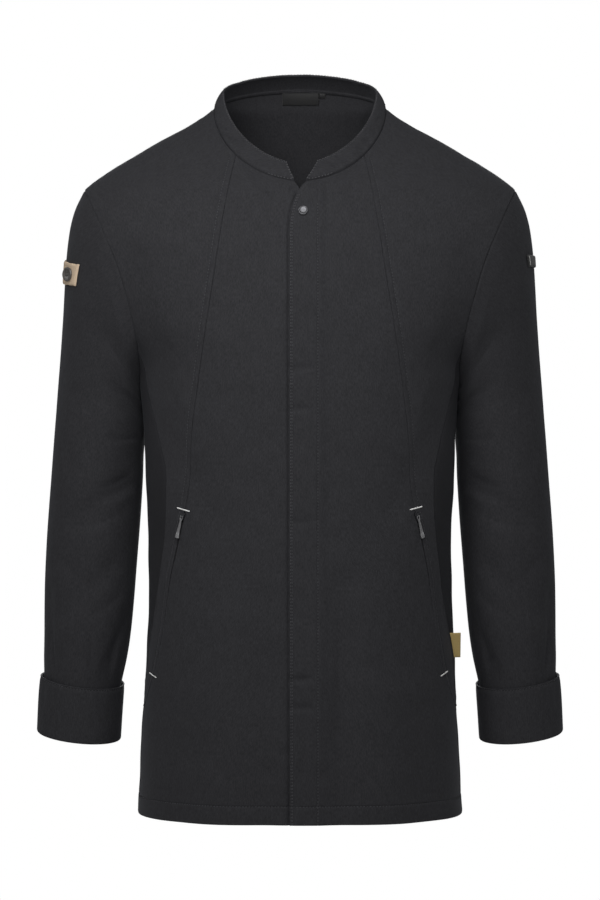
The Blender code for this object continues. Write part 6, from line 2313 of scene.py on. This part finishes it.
def join_pieces(pieces):
    """Joins pieces into the first one."""
    bpy.ops.object.select_all(action="DESELECT")
    for piece in pieces:
        piece.select_set(True)
    bpy.context.view_layer.objects.active = pieces[0]
    bpy.ops.object.join()
    return pieces[0]


def round_off(piece, width, segments):
    """Rounds the sharp edges of a piece."""
    bpy.context.view_layer.objects.active = piece
    change = piece.modifiers.new("round", "BEVEL")
    change.width = width
    change.segments = segments
    change.limit_method = "ANGLE"
    change.angle_limit = math.radians(ROUND_ANGLE)
    bpy.ops.object.modifier_apply(modifier=change.name)


def put_in_place(piece, place, finish_name, body=BODY):
    """Moves a finished shape to its place inside its mesh, and gives it its finish and its body."""
    bpy.ops.object.select_all(action="DESELECT")
    piece.select_set(True)
    bpy.context.view_layer.objects.active = piece
    piece.matrix_world = place
    bpy.ops.object.transform_apply(location=True, rotation=True, scale=True)
    bpy.ops.object.shade_smooth_by_angle(angle=math.radians(SMOOTH_ANGLE))
    piece.data.materials.clear()
    piece.data.materials.append(material_of(finish_name))
    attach(piece, body)
    return piece


def slider_place(side):
    """Where a slider sits on its slit: Z leaves the cloth and Y points down the slit."""
    places = []
    for z in (POCKET_TOP - SLIDER_DROP, POCKET_TOP - SLIDER_DROP - SLIT_STEP):
        base = mirrored(body_base(turn_at_x(princess_x(z), z), z), side)
        places.append((base + body_normals(base) * body_folds(base)[..., None], body_normals(base)))
    point, normal = places[0]
    return frame_at(point + normal * LAY_GAP, normal, places[1][0] - point)


def slider_piece(word, side):
    """A cast slider: a plate that narrows downwards, with a raised middle, and an arch for the pull."""
    half_width, half_length = SLIDER_WIDTH / 2.0, SLIDER_LENGTH / 2.0
    low, high = (-half_width, -half_length, 0.0), (half_width, half_length, SLIDER_HEIGHT)
    plate = new_box("zip_slider_cast_" + word, low, high)
    edit_faces(plate, lambda middle, normal: normal.y > FACING)
    bpy.ops.transform.resize(value=(SLIDER_TAPER, 1.0, 1.0))
    bpy.ops.object.mode_set(mode="OBJECT")
    edit_faces(plate, lambda middle, normal: normal.z > FACING)
    bpy.ops.mesh.inset(thickness=SLIDER_RIM, depth=-SLIDER_RIM / 3.0)
    bpy.ops.mesh.inset(thickness=SLIDER_RIM, depth=SLIDER_RIM / 3.0)
    bpy.ops.object.mode_set(mode="OBJECT")
    round_off(plate, SLIDER_ROUND, 2)
    bar = ARCH_BAR / 2.0
    arch = new_box(
        "arch_" + word,
        (-BRIDGE_WIDTH / 2.0, -ARCH_RADIUS - bar, SLIDER_HEIGHT - bar),
        (BRIDGE_WIDTH / 2.0, -ARCH_RADIUS + bar, SLIDER_HEIGHT),
    )
    edit_faces(arch, lambda middle, normal: normal.z > FACING)
    bpy.ops.mesh.spin(
        steps=ARCH_STEPS, angle=-math.pi, center=(0.0, 0.0, SLIDER_HEIGHT), axis=(1.0, 0.0, 0.0), dupli=False
    )
    bpy.ops.mesh.extrude_region_move(TRANSFORM_OT_translate={"value": (0.0, 0.0, -bar)})
    bpy.ops.mesh.select_all(action="SELECT")
    bpy.ops.mesh.remove_doubles(threshold=DOUBLES)
    bpy.ops.mesh.normals_make_consistent(inside=False)
    bpy.ops.object.mode_set(mode="OBJECT")
    round_off(arch, SLIDER_ROUND, 2)
    return put_in_place(join_pieces([plate, arch]), slider_place(side), "gunmetal")


def pull_piece(word, side):
    """A stamped pull that widens towards its ribbed end, with a small eye round the slider's arch."""
    half, half_eye = PULL_WALL / 2.0, PULL_EYE_WIDTH / 2.0
    back = -PULL_EYE_RIM
    low, high = (-half_eye, back, -half), (half_eye, back + PULL_EYE_LENGTH, half)
    pull = new_box("zip_pull_steel_" + word, low, high)
    edit_faces(pull, lambda middle, normal: normal.y > FACING)
    for run, wider, thicker in PULL_STEPS:
        bpy.ops.mesh.extrude_region_move(TRANSFORM_OT_translate={"value": (0.0, run, 0.0)})
        bpy.ops.transform.resize(value=(wider, 1.0, thicker))
    bpy.ops.object.mode_set(mode="OBJECT")
    hole_half = half_eye - PULL_EYE_RIM
    hole = new_box("hole_" + word, (-hole_half, 0.0, -PULL_WALL), (hole_half, PULL_EYE_HOLE, PULL_WALL))
    cut_away(pull, hole)
    round_off(pull, PULL_ROUND, 2)
    place = slider_place(side) @ Matrix.Translation((0.0, 0.0, SLIDER_HEIGHT + BRIDGE_HOLE_HEIGHT / 2.0))
    return put_in_place(pull, place, "pull_steel", "pull_" + word)


def snap_piece():
    """The stud's cap: a rolled rim round a shallow dish."""
    radius = bpy.context.scene.jacket_sizes.snap_radius
    cap = stepped_disc("snap_cap_steel", radius, SNAP_BASE, SNAP_STEPS)
    round_off(cap, SNAP_ROUND, 3)
    x, height = SNAP_PLACE
    base = body_base(turn_at_x(x, height), height)
    normal = body_normals(base)
    point = base + normal * (body_push(base) + overlap_lift(base) + LAY_GAP)[..., None]
    return put_in_place(cap, frame_at(point, normal, (0.0, 0.0, 1.0)), "brushed_steel")


def button_place(lift):
    """Where the button lies on the tab, leaning forwards, lifted off it."""
    place = strip_place(BUTTON_TURN, BUTTON_CENTRE_HEIGHT)
    points, normals = sleeve_points(place, BUTTON_TURN, -1.0)
    normal = Vector(mirrored(normals, -1.0))
    point = Vector(mirrored(points + normals * (SLEEVE_LAY_GAP + TAB_WALL), -1.0))
    lean = Matrix.Rotation(math.radians(BUTTON_TILT), 3, "Z") @ normal
    return frame_at(point + normal * lift, lean, (0.0, 0.0, 1.0))


def button_piece():
    """A dished button with four holes, on a shank of thread."""
    radius = bpy.context.scene.jacket_sizes.button_radius
    button = stepped_disc("tab_button_resin", radius, BUTTON_BASE, BUTTON_STEPS)
    round_off(button, BUTTON_ROUND, 3)
    for x, y in ((1.0, 1.0), (-1.0, 1.0), (-1.0, -1.0), (1.0, -1.0)):
        bpy.ops.object.select_all(action="DESELECT")
        bpy.ops.mesh.primitive_cylinder_add(
            vertices=HOLE_SIDES,
            radius=HOLE_RADIUS,
            depth=HOLE_DEPTH,
            location=(x * HOLE_REACH, y * HOLE_REACH, 0.0),
        )
        cut_away(button, bpy.context.object)
    shank = stepped_disc("tab_button_shank", SHANK_RADIUS, SHANK_STEP, SHANK_STEPS)
    put_in_place(shank, button_place(-SHANK_STEP), "charcoal_thread")
    return put_in_place(button, button_place(BUTTON_LIFT), "dark_button")


# ---- operators

SIDES = (("left", 1.0), ("right", -1.0))

# What stands in for each solid: (piece, its grid or Panel, ...)
MADE = {}

# What each piece of cloth is sewn to
SEWN_TO = {
    "front_centre_left": ("front_side_left", "collar"),
    "front_centre_right": ("front_side_right", "collar"),
    "front_side_left": ("front_centre_left", "side_panel_left"),
    "front_side_right": ("front_centre_right", "side_panel_right"),
    "side_panel_left": ("front_side_left", "back"),
    "side_panel_right": ("front_side_right", "back"),
    "back": ("side_panel_left", "side_panel_right"),
    "collar": ("back", "front_centre_left", "front_centre_right"),
    "sleeve_left": ("front_side_left", "back"),
    "sleeve_right": ("front_side_right", "back"),
    "cuff_left": ("sleeve_left",),
    "cuff_right": ("sleeve_right",),
    "pocket_zip_left": ("front_centre_left", "front_side_left"),
    "pocket_zip_right": ("front_centre_right", "front_side_right"),
    "sleeve_tab": ("sleeve_right",),
    "sleeve_loop": ("sleeve_left",),
    "neck_label": ("back",),
    "side_label": ("front_side_left", "side_panel_left"),
}


def stand_in(made, node):
    """Hides a solid and keeps what was made in its place, its piece first."""
    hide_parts(node)
    MADE[node] = made


class JACKET_OT_fronts(bpy.types.Operator):
    """Build both fronts, each from a centre panel and a side panel with a princess seam between"""

    bl_idname = "jacket.fronts"
    bl_label = "Fronts"

    def execute(self, context):
        cloth = material_of("charcoal_twill")
        for word, side, edge, laps in (("left", 1.0, UPPER_EDGE, True), ("right", -1.0, UNDER_EDGE, False)):
            made = front_centre_piece("front_centre_cloth_" + word, side, edge, laps, cloth)
            stand_in(made, "front_centre_" + word)
            made = front_side_piece("front_side_cloth_" + word, side, cloth)
            stand_in(made, "front_side_" + word)
        return {"FINISHED"}


class JACKET_OT_side_panels(bpy.types.Operator):
    """Build the panels under the arms, in the jacket's twill darkened with painted shade"""

    bl_idname = "jacket.side_panels"
    bl_label = "Side panels"

    def execute(self, context):
        for word, side in SIDES:
            made = side_panel_piece("side_panel_cloth_" + word, side, material_of("dark_side_twill"))
            stand_in(made, "side_panel_" + word)
        return {"FINISHED"}


class JACKET_OT_back(bpy.types.Operator):
    """Build the back"""

    bl_idname = "jacket.back"
    bl_label = "Back"

    def execute(self, context):
        stand_in(back_piece("back_cloth", material_of("charcoal_twill")), "back")
        return {"FINISHED"}


class JACKET_OT_collar(bpy.types.Operator):
    """Build the stand collar"""

    bl_idname = "jacket.collar"
    bl_label = "Collar"

    def execute(self, context):
        stand_in(collar_piece("collar_cloth", material_of("charcoal_twill")), "collar")
        return {"FINISHED"}


class JACKET_OT_sleeves(bpy.types.Operator):
    """Build the sleeves and their turned-back cuffs"""

    bl_idname = "jacket.sleeves"
    bl_label = "Sleeves"

    def execute(self, context):
        cloth = material_of("charcoal_twill")
        for word, side in SIDES:
            stand_in(sleeve_piece("sleeve_cloth_" + word, side, cloth), "sleeve_" + word)
            stand_in(cuff_piece("cuff_cloth_" + word, side, cloth), "cuff_" + word)
        return {"FINISHED"}


class JACKET_OT_zips(bpy.types.Operator):
    """Build the zips behind the pocket slits, with their sliders and pulls"""

    bl_idname = "jacket.zips"
    bl_label = "Pocket zips"

    def execute(self, context):
        for word, side in SIDES:
            made = zip_tape_piece("zip_tape_" + word, side, material_of("black_zip_tape"))
            stand_in(made, "pocket_zip_" + word)
            zip_teeth_piece("zip_teeth_" + word, side, material_of("black_zip_teeth"))
            stand_in((slider_piece(word, side),), "zip_slider_" + word)
            stand_in((pull_piece(word, side),), "zip_pull_" + word)
        return {"FINISHED"}


class JACKET_OT_trim(bpy.types.Operator):
    """Build the sleeve tab, the sleeve loop and the bare labels"""

    bl_idname = "jacket.trim"
    bl_label = "Tab, loop and labels"

    def execute(self, context):
        tab = (TAB_ENDS, *TAB_GRID, TAB_WALL, True)
        loop = (LOOP_ENDS, *LOOP_GRID, LOOP_WALL, False)
        for node, name, side, shape, slot in (
            ("sleeve_tab", "sleeve_tab_cloth", -1.0, tab, "tan_canvas"),
            ("sleeve_loop", "sleeve_loop_tape", 1.0, loop, "black_woven_label"),
        ):
            stand_in(sleeve_strip_piece(name, side, *shape, material_of(slot)), node)
        for node, x_range, z_range, counts in (
            ("neck_label", NECK_LABEL_X, NECK_LABEL_Z, NECK_LABEL_GRID),
            ("size_tab", SIZE_TAB_X, SIZE_TAB_Z, SIZE_TAB_GRID),
        ):
            woven = material_of("black_woven_label")
            made = inner_label_piece(node + "_cloth", x_range, z_range, *counts, woven)
            stand_in(made, node)
        made = side_label_piece("side_label_cloth", material_of("tan_woven_label"))
        stand_in(made, "side_label")
        return {"FINISHED"}


class JACKET_OT_fastenings(bpy.types.Operator):
    """Build the press stud's cap and the button on the sleeve tab"""

    bl_idname = "jacket.fastenings"
    bl_label = "Stud and button"

    def execute(self, context):
        stand_in((snap_piece(),), "snap_cap")
        stand_in((button_piece(),), "tab_button")
        return {"FINISHED"}


class JACKET_OT_cloth_facts(bpy.types.Operator):
    """Go through every piece of cloth, its grid and what it is sewn to, without stating anything"""

    bl_idname = "jacket.cloth_facts"
    bl_label = "Cloth facts"

    def execute(self, context):
        for name, rests_on in SEWN_TO.items():
            piece, shape = MADE[name][:2]
            grid = shape.points if isinstance(shape, Panel) else shape
        return {"FINISHED"}


class JACKET_OT_topstitching(bpy.types.Operator):
    """Lay the rows of topstitching along seams, edges and hems"""

    bl_idname = "jacket.topstitching"
    bl_label = "Topstitching"

    def execute(self, context):
        thread = material_of("charcoal_thread")
        for word in ("left", "right"):
            panel = MADE["front_side_" + word][1]
            lines = [
                panel.line(panel.start, PRINCESS_STITCH, high=princess_top() - PRINCESS_STITCH_ROOM),
                panel.line(panel.end, SHOULDER_STITCH, low=SHOULDER_TIP[1] + SHOULDER_STITCH_ROOM),
            ]
            thread_piece("front_side_stitches_" + word, lines, thread)
            panel = MADE["front_centre_" + word][1]
            lines = [panel.level(HEM_HEIGHT + HEM_STITCH)]
            if word == "left":
                lines += [panel.line(panel.start, stitch, high=NECK_OPEN) for stitch in FLY_EDGE_STITCHES]
                lines.append(panel.line(panel.x, FLY_STITCH_X, high=NECK_OPEN - FLY_STITCH_ROOM))
            thread_piece("front_centre_stitches_" + word, lines, thread)
            panel = MADE["side_panel_" + word][1]
            thread_piece("side_panel_stitches_" + word, [panel.level(HEM_HEIGHT + HEM_STITCH)], thread)
            sleeve_stitches(word)
        panel = MADE["back"][1]
        thread_piece("back_stitches", [panel.level(HEM_HEIGHT + HEM_STITCH)], thread)
        collar_stitches()
        return {"FINISHED"}


def sleeve_stitches(word):
    """The row along the top edge of a cuff."""
    _, points, normals = MADE["cuff_" + word]
    row = CUFF_EDGE_ROW
    line = np.concatenate([points[row], points[row][:1]])
    upwards = np.concatenate([normals[row], normals[row][:1]])
    thread_piece("cuff_stitches_" + word, [(line, upwards)], material_of("charcoal_thread"))


def collar_stitches():
    """The row inside the collar's top edge and its slanted ends."""
    _, grid, normals = MADE["collar"]
    row = grid.shape[0] - 1 - COLLAR_STITCH_COLUMN
    low, edge = COLLAR_STITCH_ROW, COLLAR_STITCH_COLUMN
    top = grid[row, edge:-edge]
    upwards = normals[row, edge:-edge]
    first = grid[low:row, edge]
    last = grid[low:row, -edge - 1][::-1]
    line = np.concatenate([first, top, last])
    last_faces = normals[low:row, -edge - 1][::-1]
    faces = np.concatenate([normals[low:row, edge], upwards, last_faces])
    ends = []
    for columns in (slice(edge, COLLAR_BASE_STITCHED), slice(-COLLAR_BASE_STITCHED, -edge)):
        ends.append((grid[low, columns], normals[low, columns]))
    thread_piece("collar_stitches", [(line, faces)], material_of("charcoal_thread"))
    # The pale row at the collar's edge is edge stitching whose pale colour paints the edge's highlight
    edge_row = grid.shape[0] - 2
    first, last = grid[low:edge_row, 1], grid[low:edge_row, -2][::-1]
    line = np.concatenate([first, grid[edge_row, 1:-1], last])
    last_faces = normals[low:edge_row, -2][::-1]
    faces = np.concatenate([normals[low:edge_row, 1], normals[edge_row, 1:-1], last_faces])
    ends.append((line, faces))
    thread_piece("collar_edge_stitches", ends, material_of("pale_edge_thread"), fine=True)


class JACKET_OT_bar_tacks(bpy.types.Operator):
    """Sew the bar tacks at the ends of the pockets and on the sleeve loop"""

    bl_idname = "jacket.bar_tacks"
    bl_label = "Bar tacks"

    def execute(self, context):
        for word, _ in SIDES:
            bars = []
            for x_from, z_from, x_to, z_to in POCKET_TACKS[word]:
                points, normals = on_front(x_from, z_from, x_to, z_to, SEAM_RISE)
                bars.append((points, normals, TACK_WIDTH, TACK_TURNS))
            bar_tack_piece("pocket_tacks_" + word, bars, material_of("white_thread"))
        _, grid, normals = MADE["sleeve_loop"]
        rows = slice(1, grid.shape[0] - 1)
        line, upwards = grid[rows, LOOP_TACK_COLUMN], normals[rows, LOOP_TACK_COLUMN]
        bar = (line, upwards, LOOP_TACK_WIDTH, LOOP_TACK_TURNS)
        bar_tack_piece("loop_tack", [bar], material_of("grey_thread"))
        return {"FINISHED"}


class JACKET_OT_stage(bpy.types.Operator):
    """Set up a pale floor, soft light and the camera"""

    bl_idname = "jacket.stage"
    bl_label = "Stage"

    def execute(self, context):
        settings = context.scene.jacket_stage
        bpy.ops.object.select_all(action="DESELECT")
        bpy.ops.mesh.primitive_plane_add(size=FLOOR_SIZE, location=(0.0, 0.0, FLOOR_HEIGHT))
        floor = context.object
        floor.name = "floor"
        floor.data.materials.append(pale_floor(settings.floor_tone))
        soft_light("key_light", KEY_PLACE, KEY_AIM, KEY_SIZE, settings.key_power)
        soft_light("fill_light", FILL_PLACE, FILL_AIM, FILL_SIZE, settings.fill_power)
        soft_light("back_light", BACK_PLACE, BACK_AIM, BACK_SIZE, settings.back_power)
        for word, side in SIDES:
            place = (side * SIDE_PLACE[0], *SIDE_PLACE[1:])
            aim = (side * SIDE_AIM[0], *SIDE_AIM[1:])
            soft_light("side_light_" + word, place, aim, SIDE_SIZE, settings.side_power)
        turns = [math.radians(turn) for turn in CAMERA_TURN]
        bpy.ops.object.camera_add(location=CAMERA_PLACE, rotation=turns)
        camera = context.object
        camera.name = "camera"
        camera.data.sensor_width = SENSOR
        camera.data.lens = SENSOR * -CAMERA_PLACE[1] / VIEW_HEIGHT
        context.scene.camera = camera
        white_world(context.scene, settings.ambient)
        context.scene.view_settings.view_transform = "Standard"
        return {"FINISHED"}


def soft_light(name, place, aim, size, power):
    """A square area light at a place, turned towards a point."""
    turn = (Vector(aim) - Vector(place)).to_track_quat("-Z", "Y").to_euler()
    bpy.ops.object.light_add(type="AREA", location=place, rotation=turn)
    light = bpy.context.object
    light.name = name
    light.data.size = size
    light.data.energy = power
    light.visible_camera = False


def pale_floor(tone):
    """A matt painted floor, shown as a plain pale backdrop that throws no light of its own on the jacket."""
    made, tree, shader = new_material("pale_floor", linear(FLOOR_COLOUR), FLOOR_ROUGHNESS)
    seen = add_node(tree, "ShaderNodeLightPath").outputs["Is Camera Ray"]
    shader.inputs["Emission Color"].default_value = (1.0, 1.0, 1.0, 1.0)
    glow = add_node(tree, "ShaderNodeMath", {1: tone}, {0: seen}, operation="MULTIPLY").outputs["Value"]
    tree.links.new(glow, shader.inputs["Emission Strength"])
    return made


def white_world(scene, ambient):
    """A world that the camera sees as white and that lights the jacket more weakly."""
    world = bpy.data.worlds.new("studio")
    world.use_nodes = True
    tree = world.node_tree
    tree.nodes.clear()
    path = add_node(tree, "ShaderNodeLightPath")
    seen = add_node(tree, "ShaderNodeBackground", {"Color": (1.0, 1.0, 1.0, 1.0), "Strength": 1.0})
    light = add_node(tree, "ShaderNodeBackground", {"Color": (1.0, 1.0, 1.0, 1.0), "Strength": ambient})
    mix = add_node(tree, "ShaderNodeMixShader")
    out = add_node(tree, "ShaderNodeOutputWorld")
    tree.links.new(path.outputs["Is Camera Ray"], mix.inputs["Fac"])
    tree.links.new(light.outputs["Background"], mix.inputs[1])
    tree.links.new(seen.outputs["Background"], mix.inputs[2])
    tree.links.new(mix.outputs["Shader"], out.inputs["Surface"])
    scene.world = world


class JACKET_PT_build(bpy.types.Panel):
    """Buttons that build the jacket"""

    bl_idname = "JACKET_PT_build"
    bl_label = "Chef jacket"
    bl_space_type = "VIEW_3D"
    bl_region_type = "UI"
    bl_category = "Jacket"

    def draw(self, context):
        for operator in OPERATORS:
            self.layout.operator(operator.bl_idname)
        for group_name, group in GROUPS:
            for name in group.__annotations__:
                self.layout.prop(getattr(context.scene, group_name), name)


OPERATORS = (
    JACKET_OT_fronts,
    JACKET_OT_side_panels,
    JACKET_OT_back,
    JACKET_OT_collar,
    JACKET_OT_sleeves,
    JACKET_OT_zips,
    JACKET_OT_trim,
    JACKET_OT_fastenings,
    JACKET_OT_cloth_facts,
    JACKET_OT_topstitching,
    JACKET_OT_bar_tacks,
    JACKET_OT_stage,
)
GROUPS = (("jacket_sizes", JacketSizes), ("jacket_looks", JacketLooks), ("jacket_stage", JacketStage))
CLASSES = tuple(group for _, group in GROUPS) + OPERATORS + (JACKET_PT_build,)


def register():
    """Adds the classes, and the groups of settings to every scene."""
    for one in CLASSES:
        bpy.utils.register_class(one)
    for name, group in GROUPS:
        setattr(bpy.types.Scene, name, bpy.props.PointerProperty(type=group))


def unregister():
    """Takes away what register added."""
    for name, _ in GROUPS:
        delattr(bpy.types.Scene, name)
    for one in reversed(CLASSES):
        bpy.utils.unregister_class(one)


def main():
    """Builds the jacket and its stage."""
    register()
    bpy.ops.jacket.fronts()
    bpy.ops.jacket.side_panels()
    bpy.ops.jacket.back()
    bpy.ops.jacket.collar()
    bpy.ops.jacket.sleeves()
    bpy.ops.jacket.zips()
    bpy.ops.jacket.trim()
    bpy.ops.jacket.fastenings()
    bpy.ops.jacket.cloth_facts()
    bpy.ops.jacket.topstitching()
    bpy.ops.jacket.bar_tacks()
    bpy.ops.jacket.stage()


if __name__ == "__main__":
    main()
